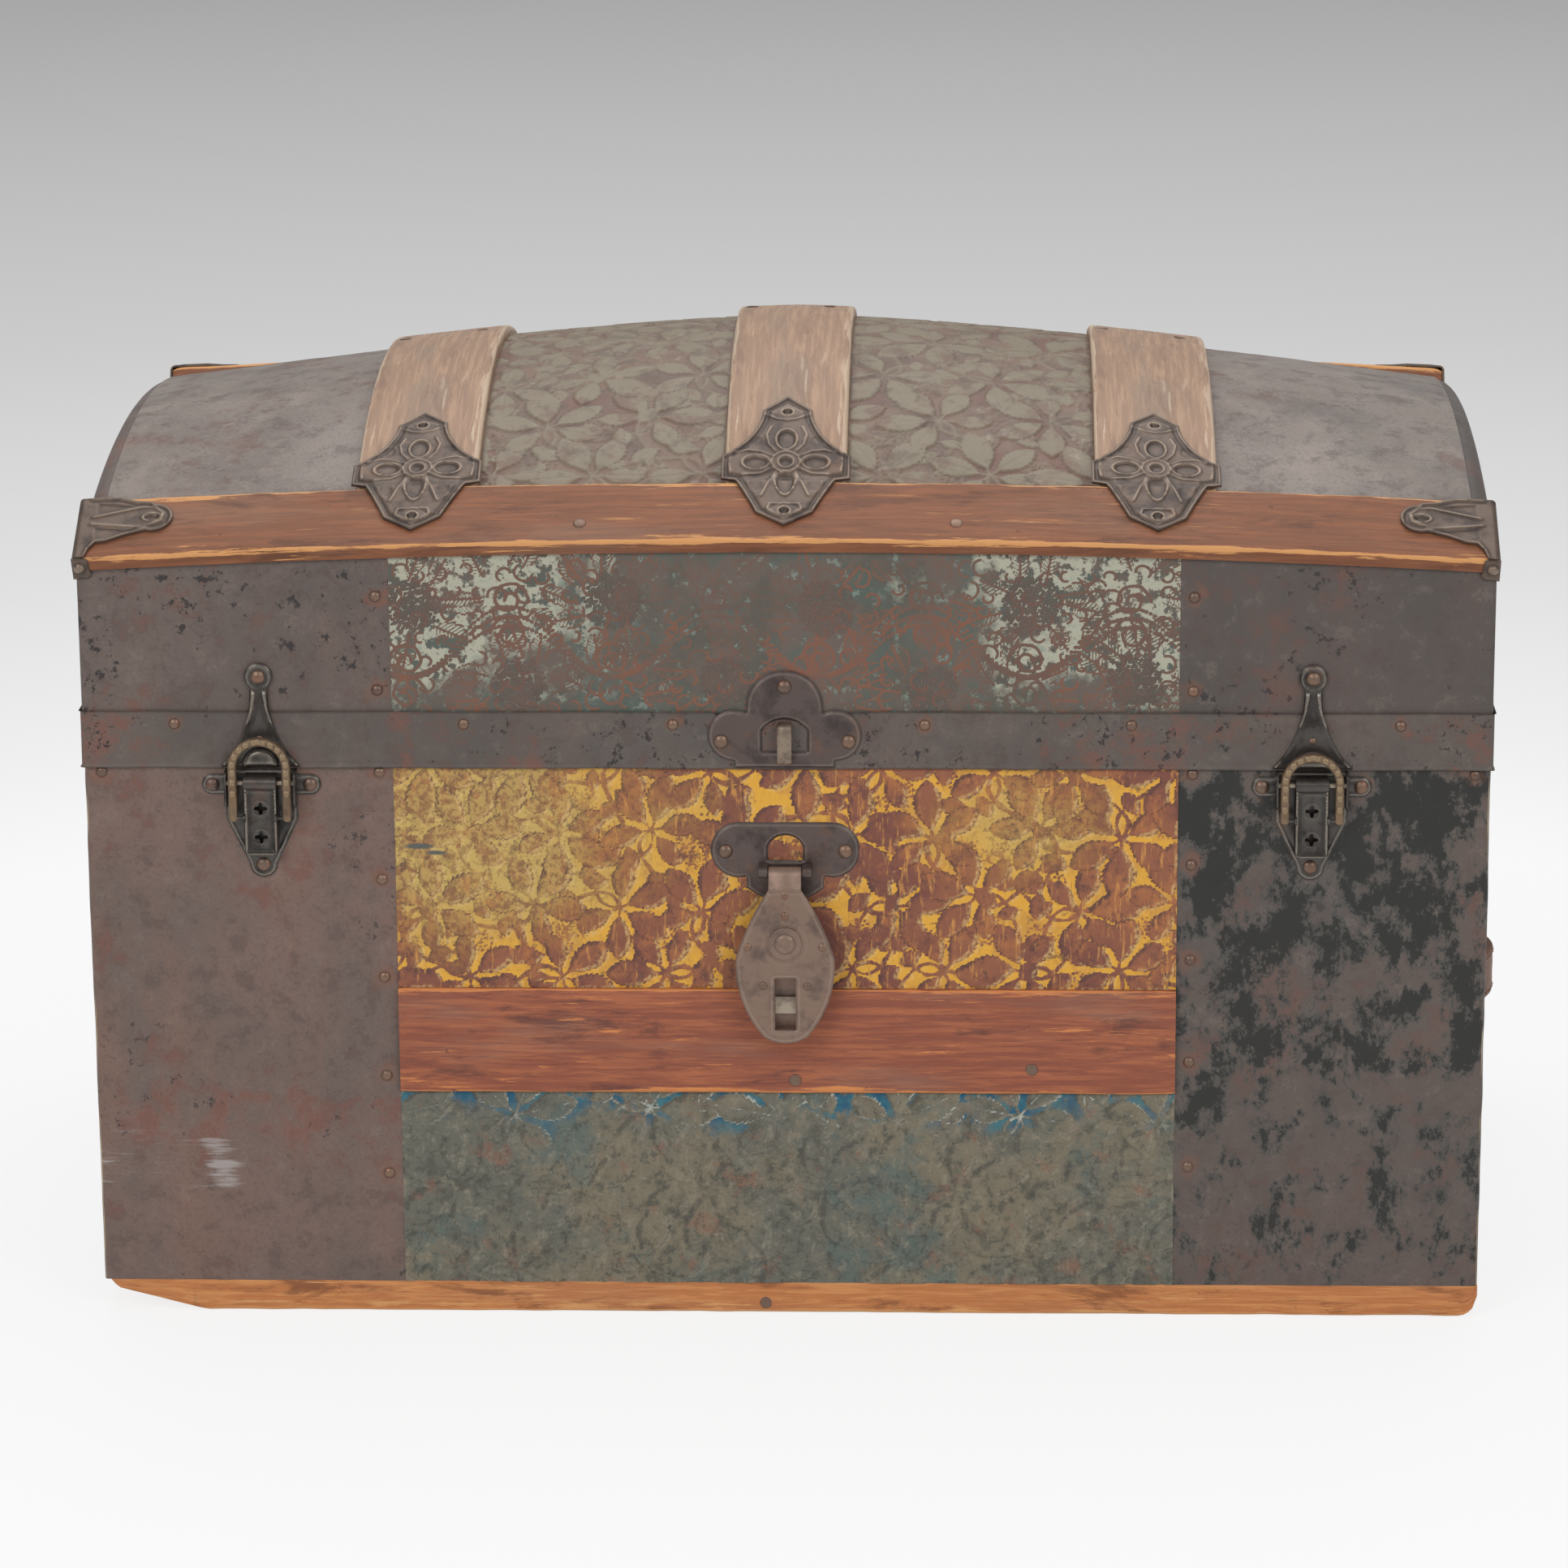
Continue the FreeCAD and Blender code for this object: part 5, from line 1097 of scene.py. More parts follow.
def wood(name, light, mid, dark, bare, grey=0.2, worn=0.8, gloss=0.45, scrape=0.5, stain=0.5):
    """Old varnished wood: fibres and pores along the board, bare streaks where the finish has gone."""
    stuff = Finish(name, roughness=gloss)

    def drawn_out(*stretch):
        """Places drawn out along the fibres."""
        return stuff.place(stretch=stretch, source="fibre")
    grain = stuff.noise(9.0, detail=8.0, rough=0.66, warp=0.4, at=drawn_out(2.2, 34.0, 34.0))
    pores = stuff.noise(30.0, detail=4.0, rough=0.7, at=drawn_out(1.6, 60.0, 60.0))
    broad = stuff.noise(7.0, detail=4.0, at=drawn_out(0.8, 4.0, 4.0))
    stuff.colour = mid
    stuff.coat(light, grain, 0.42, 0.64)
    stuff.coat(dark, pores, 0.56, 0.68, 0.55)
    stuff.coat((140, 124, 110), broad, 0.5, 0.68, grey)
    blotch = stuff.noise(16.0, detail=7.0, rough=0.7, warp=0.4, at=drawn_out(0.9, 4.5, 4.5))
    stuff.coat(dark, blotch, 0.52, 0.66, stain)
    streak = stuff.noise(12.0, detail=7.0, rough=0.72, at=drawn_out(1.1, 16.0, 16.0))
    stuff.coat(bare, streak, 0.6, 0.68, scrape)
    corner = stuff.sum(stuff.mask("worn"), stuff.both(stuff.sum(streak, -0.5), 2.6))
    stuff.coat(bare, corner, 0.6, 0.78, worn)
    spots = stuff.band(stuff.noise(120.0, detail=3.0), 0.7, 0.76)
    stuff.coat(dark, stuff.both(spots, 0.6))
    rough = stuff.sum(stuff.both(grain, 0.25), gloss - 0.1)
    return stuff.done(rough, stuff.sum(pores, grain), depth=0.3 * mm)


rail_wood = wood("rail_wood", (145, 92, 62), (126, 78, 52), (88, 54, 38), (214, 154, 96),
                 grey=0.2, worn=0.95, stain=0.6)
dome_wood = wood("dome_slat_wood", (181, 148, 122), (159, 128, 106), (122, 94, 78),
                 (206, 184, 160), grey=0.6, worn=0.7, stain=0.45)
front_wood = wood("front_slat_wood", (172, 102, 70), (142, 80, 60), (92, 56, 50), (218, 140, 80),
                  grey=0.3, scrape=0.9, stain=0.75)
skid_wood = wood("skid_wood", (214, 148, 92), (192, 122, 72), (120, 72, 46), (222, 166, 108), grey=0.12,
                 stain=0.75)


def rounded_end(gap, radius=13.0):
    """How far a rounded end lifts the underside, by the distance from the end."""
    return radius - np.sqrt(np.maximum(radius ** 2 - np.maximum(radius - gap, 0.0) ** 2, 0.0))


def make_rails():
    for side, name in ((-1, "front"), (1, "rear")):
        def on_rail(along, across, up, side=side):
            return on_shoulder(along - lid_x, across - rail_overhang, up, side)
        add_board(name + "_rail_wood", on_rail, 2 * lid_x, rail_width, rail_thick, rail_wood, "lid",
                  "rail_wood", name + "_rail", radius=2.4, chips=1.1, seed=100 + side, pitch=2.6)


def make_slats():
    for name, centre in slat_centres.items():
        low, high = box_mm(name + "_dome_slat")
        left, width = low[0], high[0] - low[0]
        radius, _ = dome_circle(left + width / 2)
        run = 2 * radius * math.asin(foot_y / radius)

        def on_arc(along, across, up, left=left, run=run):
            return on_dome(left + across, (along - run / 2) / (run / 2) * 0.992, up + 0.1)
        add_board(name + "_slat_wood", on_arc, run, width, 6.9, dome_wood, "lid", "dome_slat_wood",
                  name + "_dome_slat", radius=2.6, chips=0.7, seed=int(400 + centre), pitch=3.0)
    low, high = box_mm("front_slat")

    def on_front(along, across, up):
        return np.stack([low[0] + along, high[1] - up, low[2] + across], -1)
    add_board("front_slat_wood", on_front, high[0] - low[0], high[2] - low[2], high[1] - low[1], front_wood,
              "case", "front_slat_wood", "front_slat", radius=1.6, chips=0.7, seed=130, pitch=2.6, ends=0.3)


def make_skids(worn_run=58.0):
    """Skids with rounded ends. The front one is worn to a slant over a run at its left end."""
    for name in ("front", "middle", "rear"):
        low, high = box_mm(name + "_skid")

        def on_floor(along, across, up, name=name, low=low, high=high):
            if name == "front":
                slant = 14.0 * (1 - (along - 4) / (worn_run - 4))
                start = np.clip(np.where(along < 4, 19.0 - along * 1.25, slant), 0, None)
            else:
                start = rounded_end(along)
            bottom = np.maximum(rounded_end(high[0] - low[0] - along), start)
            z = high[2] - np.minimum(up, high[2] - bottom)
            return np.stack([low[0] + along, low[1] + across, z], -1)
        add_board(name + "_skid_wood", on_floor, *(high - low), skid_wood, "case", "skid_wood",
                  name + "_skid", radius=2.2, chips=0.9, seed=140 + len(name), pitch=2.6, ends=0.0)


make_rails()
make_slats()
make_skids()

# %% [markdown]
# What stays as packed still needs its finish: the boards, the hinges, the pins and the tin at the back.
# The case is lined with printed paper, now brown with age, on every side that faces the inside. The wood
# of the boards shows only along their top edges, so one recipe paints both and chooses by direction.

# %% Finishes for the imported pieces
def steel(name, base, dark, rust, shine=0.38, metallic=0.55, rust_share=0.5):
    """Stamped steel with a brown patina, brighter on the worn spots and rusty in patches."""
    stuff = Finish(name, roughness=shine, metallic=metallic)
    fine = stuff.noise(600.0, detail=5.0, rough=0.7)
    patch = stuff.noise(55.0, detail=6.0, rough=0.66)
    stuff.colour = base
    stuff.coat(dark, patch, 0.45, 0.66)
    bloom = stuff.noise(38.0, detail=7.0, rough=0.7)
    stuff.coat(rust, bloom, 0.56, 0.68, rust_share)
    stuff.coat((176, 164, 148), fine, 0.62, 0.72, 0.35)
    rough = stuff.sum(stuff.both(patch, 0.35), shine - 0.12)
    return stuff.done(rough, stuff.sum(fine, stuff.both(patch, 1.5)), depth=0.15 * mm)


def lined_board(name):
    """Pine board with lining paper on the faces that look into the trunk."""
    stuff = Finish(name, roughness=0.85)
    grain = stuff.noise(14.0, detail=6.0, rough=0.65, at=stuff.place(stretch=(1.0, 9.0, 9.0)))
    pine = stuff.over((176, 140, 100), (138, 102, 70), stuff.band(grain, 0.4, 0.65))
    stain = stuff.noise(6.0, detail=6.0, rough=0.62)
    paper = stuff.over((196, 180, 148), (160, 136, 104), stuff.band(stain, 0.4, 0.66))
    sprig = stuff.band(stuff.cells(34.0), 0.16, 0.1)
    paper = stuff.over(paper, (118, 104, 84), stuff.both(sprig, 0.55))
    geometry = stuff.node("ShaderNodeNewGeometry")
    split = stuff.node("ShaderNodeSeparateXYZ")
    stuff.feed(split.inputs[0], geometry.outputs["Normal"])
    faced = stuff.node("ShaderNodeMath", operation="ABSOLUTE")
    stuff.feed(faced.inputs[0], split.outputs["X"])
    end_wall = stuff.band(faced.outputs[0], 0.6, 0.8)
    run = stuff.sum(stuff.both(stuff.axis("Y"), end_wall),
                    stuff.both(stuff.axis("X"), stuff.sum(1.0, end_wall, "SUBTRACT")))
    wave = stuff.node("ShaderNodeMath", operation="SINE")
    stuff.feed(wave.inputs[0], stuff.both(run, 2 * math.pi / 0.042))
    line = stuff.band(wave.outputs[0], 0.93, 0.99)
    paper = stuff.over(paper, (132, 96, 84), stuff.both(line, stuff.sum(stuff.both(stain, 0.6), 0.15)))
    level = stuff.axis("Z")
    rim = stuff.both(stuff.band(split.outputs["Z"], 0.8, 0.9), stuff.band(level, 0.3, 0.31))
    stuff.colour = paper
    stuff.coat(pine, rim)
    return stuff.done(0.85, stuff.sum(grain, stain), depth=0.25 * mm)


def leather():
    stuff = Finish("strap_leather", roughness=0.5)
    pores = stuff.cells(900.0)
    crease = stuff.noise(80.0, detail=6.0, rough=0.6, at=stuff.place(stretch=(1, 0.35, 1)))
    patch = stuff.noise(30.0, detail=5.0)
    stuff.colour = (112, 72, 48)
    stuff.coat((72, 46, 34), patch, 0.42, 0.62)
    stuff.coat((150, 106, 74), crease, 0.58, 0.7, 0.5)
    return stuff.done(stuff.sum(stuff.both(patch, 0.3), 0.35), stuff.sum(pores, crease), depth=0.35 * mm)


def finish_nodes(material, *names):
    for name in names:
        for slot in nodes[name].material_slots:
            slot.material = material


hinge_steel = steel("clamp_steel", (126, 112, 100), (104, 92, 84), (136, 98, 74), rust_share=0.25)
bright_steel = steel("bright_steel", (168, 154, 138), (128, 114, 102), (128, 98, 80), 0.3, 0.8, 0.3)
back_tin = plain_tin("back_tin", (104, 90, 84), (96, 86, 80), (112, 94, 84), rust=0.35)
lining = lined_board("lining")
finish_nodes(hinge_steel, "hinge_case_leaves", "hinge_lid_leaves")
finish_nodes(bright_steel, "lock_bolt", "latch_pins", "hinge_pins")
finish_nodes(back_tin, "back_case_sheet", "bottom_sheet", "lid_back_sheet")
finish_nodes(lining, "bottom_board", "front_board", "back_board", "left_end_board", "right_end_board",
             "lid_front_board", "lid_back_board", "lid_left_board", "lid_right_board")
strap = leather()
print("finishes", len(bpy.data.materials))

# %% [markdown]
# Clamps, plates and levers were stamped from sheet steel: a flat outline, raised rims, hollows, and holes.
# One helper makes them all. It triangulates the outline with many points inside, lifts each point by a
# height rule that knows its distance from the rim, and bends the result to wherever the piece lies. How
# far each point stands above its neighbourhood is kept as a mask, because ridges are worn bright.

# %% Stamped sheet
from mathutils.geometry import delaunay_2d_cdt


def trace(points, pitch=0.8):
    """A closed line through points, evenly spaced. A pair of pairs is an arc's middle and end."""
    line = []
    start = points[0]
    for point in list(points[1:]) + [points[0]]:
        if isinstance(point[0], tuple):
            middle, end = point
            a, b, c = (complex(*p) for p in (start, middle, end))
            w = (c - a) / (b - a)
            centre = (b - a) * (w - abs(w) ** 2) / (2j * w.imag) + a
            begin, sweep = np.angle(a - centre), np.angle((c - centre) / (a - centre))
            if (np.angle((b - centre) / (a - centre)) > 0) != (sweep > 0) or abs(sweep) < 1e-6:
                sweep += -2 * math.pi if sweep > 0 else 2 * math.pi
            count = max(int(abs(sweep) * abs(a - centre) / pitch), 3)
            for step in range(count):
                spot = centre + abs(a - centre) * np.exp(1j * (begin + sweep * step / count))
                line.append((spot.real, spot.imag))
        else:
            end = point
            count = max(int(math.dist(start, end) / pitch), 1)
            line += [(start[0] + (end[0] - start[0]) * s / count, start[1] + (end[1] - start[1]) * s / count)
                     for s in range(count)]
        start = end
    return np.array(line)


def clover(x, z, radius, lobe, count=40):
    """A small hole with four lobes."""
    turn = np.linspace(0, 2 * math.pi, count, endpoint=False)
    reach = radius + lobe * np.cos(4 * turn)
    return np.stack([x + reach * np.cos(turn), z + reach * np.sin(turn)], -1)


def union(centre, shapes, count=420, pitch=0.8):
    """The outline of overlapping discs and boxes, seen from a place inside them."""
    line = []
    for turn in np.linspace(0, 2 * math.pi, count, endpoint=False):
        way = np.array([math.cos(turn), math.sin(turn)])
        reach = np.arange(0, 60, 0.05)[:, None] * way + centre
        inside = np.zeros(len(reach), bool)
        for kind, low, high in shapes:
            if kind == "disc":
                inside |= np.hypot(reach[:, 0] - low[0], reach[:, 1] - low[1]) < high
            else:
                inside |= ((reach > low) & (reach < high)).all(1)
        line.append(reach[np.nonzero(inside)[0].max()])
    line = np.array(line)
    run = np.r_[0, np.cumsum(np.linalg.norm(np.diff(np.r_[line, line[:1]], axis=0), axis=1))]
    even = np.linspace(0, run[-1], int(run[-1] / pitch), endpoint=False)
    return np.stack([np.interp(even, run, np.r_[line[:, i], line[0, i]]) for i in range(2)], -1)


def rim_distance(points, loops):
    """Distance of each point from the nearest outline."""
    nearest = np.full(len(points), 1e9)
    for loop in loops:
        start, run = loop, np.roll(loop, -1, axis=0) - loop
        for part in range(0, len(points), 4000):
            gap = points[part:part + 4000, None] - start[None]
            share = np.clip((gap * run).sum(-1) / np.maximum((run ** 2).sum(-1), 1e-9), 0, 1)
            far = np.linalg.norm(gap - share[..., None] * run, axis=-1).min(1)
            nearest[part:part + 4000] = np.minimum(nearest[part:part + 4000], far)
    return nearest


def inside_loops(points, loops):
    odd = np.zeros(len(points), bool)
    for loop in loops:
        following = np.roll(loop, -1, axis=0)
        for (x1, y1), (x2, y2) in zip(loop, following):
            if y1 != y2:
                crossing = (points[:, 1] < max(y1, y2)) & (points[:, 1] >= min(y1, y2))
                at = x1 + (points[:, 1] - y1) * (x2 - x1) / (y2 - y1)
                odd ^= crossing & (points[:, 0] < at)
    return odd


def turned(loop, left):
    """The same loop, running to the left or to the right."""
    area = (loop[:, 0] * np.roll(loop[:, 1], -1) - np.roll(loop[:, 0], -1) * loop[:, 1]).sum()
    return loop if (area > 0) == left else loop[::-1]


def plan(outer, holes=(), pitch=0.85):
    """Points, triangles, rim distances and rims of a flat plate with holes."""
    loops = [turned(outer, True)] + [turned(hole, False) for hole in holes]
    rims, seen = [], 0
    for loop in loops:
        rims.append(np.arange(seen, seen + len(loop)))
        seen += len(loop)
    rings, wanted, grid = [], [], []
    for loop in loops:
        run = np.roll(loop, -1, axis=0) - np.roll(loop, 1, axis=0)
        normal = np.stack([-run[:, 1], run[:, 0]], -1)
        normal /= np.maximum(np.linalg.norm(run, axis=1), 1e-9)[:, None]
        for inset in (0.3, 0.75):
            rings.append(loop + normal * inset)
            wanted.append(np.full(len(loop), inset))
    low, high = loops[0].min(0), loops[0].max(0)
    for row, z in enumerate(np.arange(low[1], high[1], pitch * 0.87)):
        across = np.arange(low[0] + (row % 2) * pitch / 2, high[0], pitch)
        grid.append(np.stack([across, np.full(len(across), z)], -1))
    rings, wanted, grid = (np.concatenate(part) for part in (rings, wanted, grid))
    rings = rings[(rim_distance(rings, loops) > wanted * 0.93) & inside_loops(rings, loops)]
    grid = grid[(rim_distance(grid, loops) > 0.75 + pitch * 0.5) & inside_loops(grid, loops)]
    points = np.concatenate(loops + [rings, grid])
    edges = [(int(a), int(b)) for rim in rims for a, b in zip(rim, np.roll(rim, -1))]
    made = delaunay_2d_cdt([Vector(p) for p in points], edges, [], 2, 1e-7)
    new = np.array([tuple(v) for v in made[0]])
    lookup = {old: index for index, olds in enumerate(made[3]) for old in olds}
    faces = np.array([face for face in made[2] if len(face) == 3])
    faces = faces[inside_loops(new[faces].mean(1), loops)]
    rims = [np.array([lookup[i] for i in rim if i in lookup]) for rim in rims]
    return new, faces, rim_distance(new, loops), rims


def proudness(height, faces, rounds=14):
    """How far each point stands above its neighbourhood."""
    pairs = np.unique(np.sort(np.concatenate([faces[:, :2], faces[:, 1:], faces[:, ::2]]), axis=1), axis=0)
    count = np.bincount(pairs.reshape(-1), minlength=len(height)) + 1.0
    level = height.copy()
    for _ in range(rounds):
        total = level.copy()
        np.add.at(total, pairs[:, 0], level[pairs[:, 1]])
        np.add.at(total, pairs[:, 1], level[pairs[:, 0]])
        level = total / count
    return height - level


def stamp(flat, height, place, base=0.0, back=False):
    """Points, faces and the proud mask of a stamped plate, ready to be joined with others."""
    points, faces, rim, rims = flat
    top = height(points[:, 0], points[:, 1], rim)
    verts = [place(points[:, 0], points[:, 1], top)]
    proud = [proudness(top, faces)]
    u, v = points.mean(0)
    spot = np.array([place(np.array([u + a]), np.array([v + b]), np.array([c]))[0]
                     for a, b, c in ((0, 0, 1), (0.1, 0, 1), (0, 0.1, 1), (0, 0, 1.1))])
    flip = np.dot(np.cross(spot[1] - spot[0], spot[2] - spot[0]), spot[3] - spot[0]) < 0
    made = [tuple(face) for face in faces]
    total = len(points)
    for ring in rims:
        verts.append(place(points[ring, 0], points[ring, 1], np.full(len(ring), base)))
        proud.append(np.zeros(len(ring)))
        under = total + np.arange(len(ring))
        total += len(ring)
        for a, b, c, d in zip(under, np.roll(under, -1), np.roll(ring, -1), ring):
            made.append((a, b, c, d))
    if back:
        verts.append(place(points[:, 0], points[:, 1], np.full(len(points), base)))
        proud.append(np.zeros(len(points)))
        made += [tuple(total + face[::-1]) for face in faces]
        total += len(points)
    if flip:
        made = [face[::-1] for face in made]
    return np.concatenate(verts), made, np.concatenate(proud)


def join(parts):
    """Several meshes of points, faces and mask as one."""
    verts, faces, proud, total = [], [], [], 0
    for points, made, mask in parts:
        verts.append(points)
        faces += [tuple(int(i) + total for i in face) for face in made]
        proud.append(mask)
        total += len(points)
    return np.concatenate(verts), faces, np.concatenate(proud)


def lathe(profile, centre, axis, around=28):
    """A turned shape: pairs of distance along the axis and radius, from a centre."""
    axis = np.array(axis, float)
    side = np.cross(axis, (0.3, 0.5, 0.81))
    side /= np.linalg.norm(side)
    other = np.cross(axis, side)
    turn = np.linspace(0, 2 * math.pi, around, endpoint=False)
    ring = np.cos(turn)[:, None] * side + np.sin(turn)[:, None] * other
    rows = [np.array(centre) + axis * along + ring * radius for along, radius in profile]
    faces = [tuple(face) for face in grid_faces(len(rows), around, closed=True)]
    faces.append(tuple(range(around)))
    faces.append(tuple((len(rows) - 1) * around + i for i in reversed(range(around))))
    return np.concatenate(rows), faces, np.repeat([0.1 * (i > 0) for i in range(len(rows))], around)


def add_steel(name, parts, material, body, slot, *replaced):
    verts, faces, proud = join(parts)
    mesh = add_piece(name, verts * mm, faces, material, body, slot, *replaced).data
    mesh.attributes.new("proud", "FLOAT", "POINT").data.foreach_set("value", proud)
    mesh.set_sharp_from_angle(angle=math.radians(45))


def along_lines(u, v, lines, width):
    """Ridges of a width along open lines."""
    ridge = np.zeros(u.shape)
    for line in lines:
        for (x1, y1), (x2, y2) in zip(line, line[1:]):
            run = (x2 - x1, y2 - y1)
            share = np.clip(((u - x1) * run[0] + (v - y1) * run[1]) / (run[0] ** 2 + run[1] ** 2), 0, 1)
            far = np.hypot(u - x1 - share * run[0], v - y1 - share * run[1])
            ridge = np.maximum(ridge, np.exp(-(far / width) ** 2))
    return ridge


def ellipse_gap(u, v, x, y, wide, tall):
    """Rough distance from an ellipse, below zero inside."""
    return (np.hypot((u - x) / wide, (v - y) / tall) - 1) * min(wide, tall)


def stamped_steel(name, base, dark, worn, rust, shine=0.36, metallic=0.6, rust_share=0.3):
    """Patinated steel, bright where it stands proud, dark in the hollows, with patches of rust."""
    stuff = Finish(name, roughness=shine, metallic=metallic)
    fine = stuff.noise(700.0, detail=5.0, rough=0.7)
    patch = stuff.noise(60.0, detail=6.0, rough=0.66)
    stuff.colour = base
    stuff.coat(dark, patch, 0.45, 0.68)
    bloom = stuff.noise(42.0, detail=7.0, rough=0.7)
    stuff.coat(rust, bloom, 0.53, 0.66, rust_share)
    speckle = stuff.band(fine, 0.6, 0.74)
    stuff.coat(dark, stuff.both(speckle, 0.4))
    proud = stuff.sum(stuff.mask("proud"), stuff.both(stuff.sum(fine, -0.5), 0.25))
    stuff.coat(dark, proud, -0.05, -0.3, 0.6)
    stuff.coat(worn, proud, 0.12, 0.5, 0.5)
    rough = stuff.sum(stuff.both(patch, 0.3), stuff.both(stuff.band(proud, 0.1, 0.4), -0.1))
    return stuff.done(stuff.sum(rough, shine - 0.1), stuff.sum(fine, stuff.both(patch, 1.5)), depth=0.12 * mm)


print("stamping ready")

# %% [markdown]
# A clamp holds each end of a dome slat down on the rail. It is stamped with a boss, four petals and a
# raised rim, and bent over the step between slat and rail. Each rail ends in a clamp too, whose plate
# narrows to a point and whose end is bent down over the rail's end, with a lip and a ball nail in front.

# %% Clamps
def clamp_relief(u, v, rim):
    """Heights of the four petals round a boss, in millimetres above the back of the sheet."""
    side = np.abs(u)
    height = 1.25 + 0.5 * soft_step(rim, 3.4, 6.0) + 0.7 * np.exp(-((rim - 1.0) / 0.95) ** 2)
    height -= 0.45 * np.exp(-((rim - 3.1) / 1.0) ** 2)
    waist = np.where(v < 0, 1 - 0.035 * (v + 19), 1.0)
    for gap in (ellipse_gap(side, v, 17.2, 0.0, 7.6, 5.6), ellipse_gap(side * waist, v, 0.0, -18.0, 5.4, 9.4),
                ellipse_gap(side, v, 0.0, 19.0, 5.8, 8.6)):
        height += 0.75 * np.exp(-((gap - 0.2) / 0.85) ** 2) - 0.75 * (1 - soft_step(gap, -2.2, -0.3))
    lines = [[(8, 5.0), (14, 8.6), (22, 10.2), (29, 8.5)], [(8, -5.0), (15, -9.0), (24, -9.5)],
             [(6.0, -8.0), (9.5, -17), (13.5, -28)], [(6.0, 9.0), (10, 15), (11.5, 23), (9.0, 30.0)],
             [(31.5, 8), (33.2, 1), (32.0, -7)], [(12.4, 42.0), (6.0, 37.4), (0.0, 36.0)],
             [(0, -35.0), (8.5, -35.0), (9.8, -40), (0.0, -48.5)]]
    height += 0.7 * along_lines(side, v, lines, 1.05)
    hub = np.hypot(u, v * 0.98)
    height += 0.5 * (1 - soft_step(hub, 8.0, 9.4)) + 0.6 * np.exp(-((hub - 8.0) / 0.95) ** 2)
    height += 0.6 * np.exp(-((hub - 4.6) / 0.9) ** 2) - 0.9 * (1 - soft_step(hub, 1.2, 4.0))
    for x, y, wide, tall in ((17.5, 17.5, 3.6, 5.0), (16.5, -19.0, 4.0, 5.4)):
        height -= 0.5 * (1 - soft_step(ellipse_gap(side, v, x, y, wide, tall), -1.5, 0.6))
    height += 0.35 * (1 - soft_step(side * 0.55 + np.abs(v - 44.0), 6.0, 7.5))
    height += 0.35 * (1 - soft_step(side * 0.8 + np.abs(v + 41), 7.0, 8.5))
    for y in (43.5, -41.0):
        hole = np.hypot(u, v - y)
        height += 0.4 * np.exp(-((hole - 3.4) / 0.7) ** 2) - 1.5 * (1 - soft_step(hole, 1.8, 2.9))
    return np.maximum(height, 0.2)


def slat_clamp_parts():
    """Three clamps on each side. Their outline is made of shares of the width and of both lengths."""
    half, boss, slat_top, rail_top = 37.0, 14.0, 7.1, 9.1
    reach = dome_circle(0.0)[0] + slat_top
    up = (math.asin((foot_y + 4.5) / reach) - math.asin(128.8 / reach)) * reach
    down = 33.0 / math.cos(slope)
    low = [(a * half, -boss - b * down) for a, b in ((0.44, 0.72), (0.61, 0.34), (0.78, 0.0), (1.0, -0.04))]
    high = [(a * half, b * up - boss) for a, b in ((1.0, 0.27), (0.60, 0.47), (0.38, 0.82), (0.0, 1.0))]
    right = [(0.0, -boss - down), low[0], (low[1], low[2]), low[3], high[0], (high[1], high[2]), high[3]]
    mirror = [(-x, z) for x, z in low + high]
    left = [mirror[6], (mirror[5], mirror[4]), mirror[3], mirror[2], (mirror[1], mirror[0])]
    flat = plan(trace(right + left))
    parts = []
    for side in (-1, 1):
        for middle in slat_centres.values():
            def place(u, v, h, middle=middle, side=side):
                run, x = v + boss, middle + u
                arc, centre = dome_circle(x)
                angle = 1.6 / arc - np.arcsin(foot_y / arc) + run / (arc + slat_top)
                reach = arc + slat_top + h
                slat = np.stack([x, reach * np.sin(angle), centre + reach * np.cos(angle)], -1)
                rail = on_shoulder(x, 47.0 + run, rail_top + h)
                share = soft_step(run, -2.5, 3.5)[:, None]
                spot = rail * (1 - share) + slat * share
                spot[:, 1] *= -side
                return spot
            parts.append(stamp(flat, clamp_relief, place))
    return parts


def corner_relief(u, v, rim):
    """Heights of the corner clamp: a rim, two ridges that meet at the point, and hollows between."""
    plate = soft_step(u, 3.0, 8.0)
    height = 1.3 + plate * (0.7 * np.exp(-((rim - 1.0) / 1.0) ** 2) - 0.3 * np.exp(-((rim - 3.2) / 1.2) ** 2))
    ridges = [[(9, 33), (37, 39.5)], [(8, 27.4), (37, 22.5)],
              [(37, 39.5), (44, 38.5), (49, 34), (48, 27.5), (37, 22.5)]]
    height += 0.75 * plate * along_lines(u, v, ridges, 1.2)
    for corners in (((10, 34.5), (10, 45.5), (36, 41.0)), ((10, 25.6), (36, 21.0), (10, 14.5))):
        inward = np.full(u.shape, 99.0)
        centre = np.mean(corners, axis=0)
        for a, b in zip(corners, corners[1:] + corners[:1]):
            normal = np.array([a[1] - b[1], b[0] - a[0]]) / math.dist(a, b)
            sign = np.sign(np.dot(centre - a, normal))
            inward = np.minimum(inward, ((u - a[0]) * normal[0] + (v - a[1]) * normal[1]) * sign)
        height -= 0.65 * soft_step(inward, 0.0, 1.6)
    hole = ellipse_gap(u, v, 42.5, 31.0, 4.4, 2.6)
    height += 0.5 * np.exp(-((hole - 0.5) / 0.7) ** 2) - 1.1 * (1 - soft_step(hole, -1.0, 0.2))
    return np.maximum(height, 0.2)


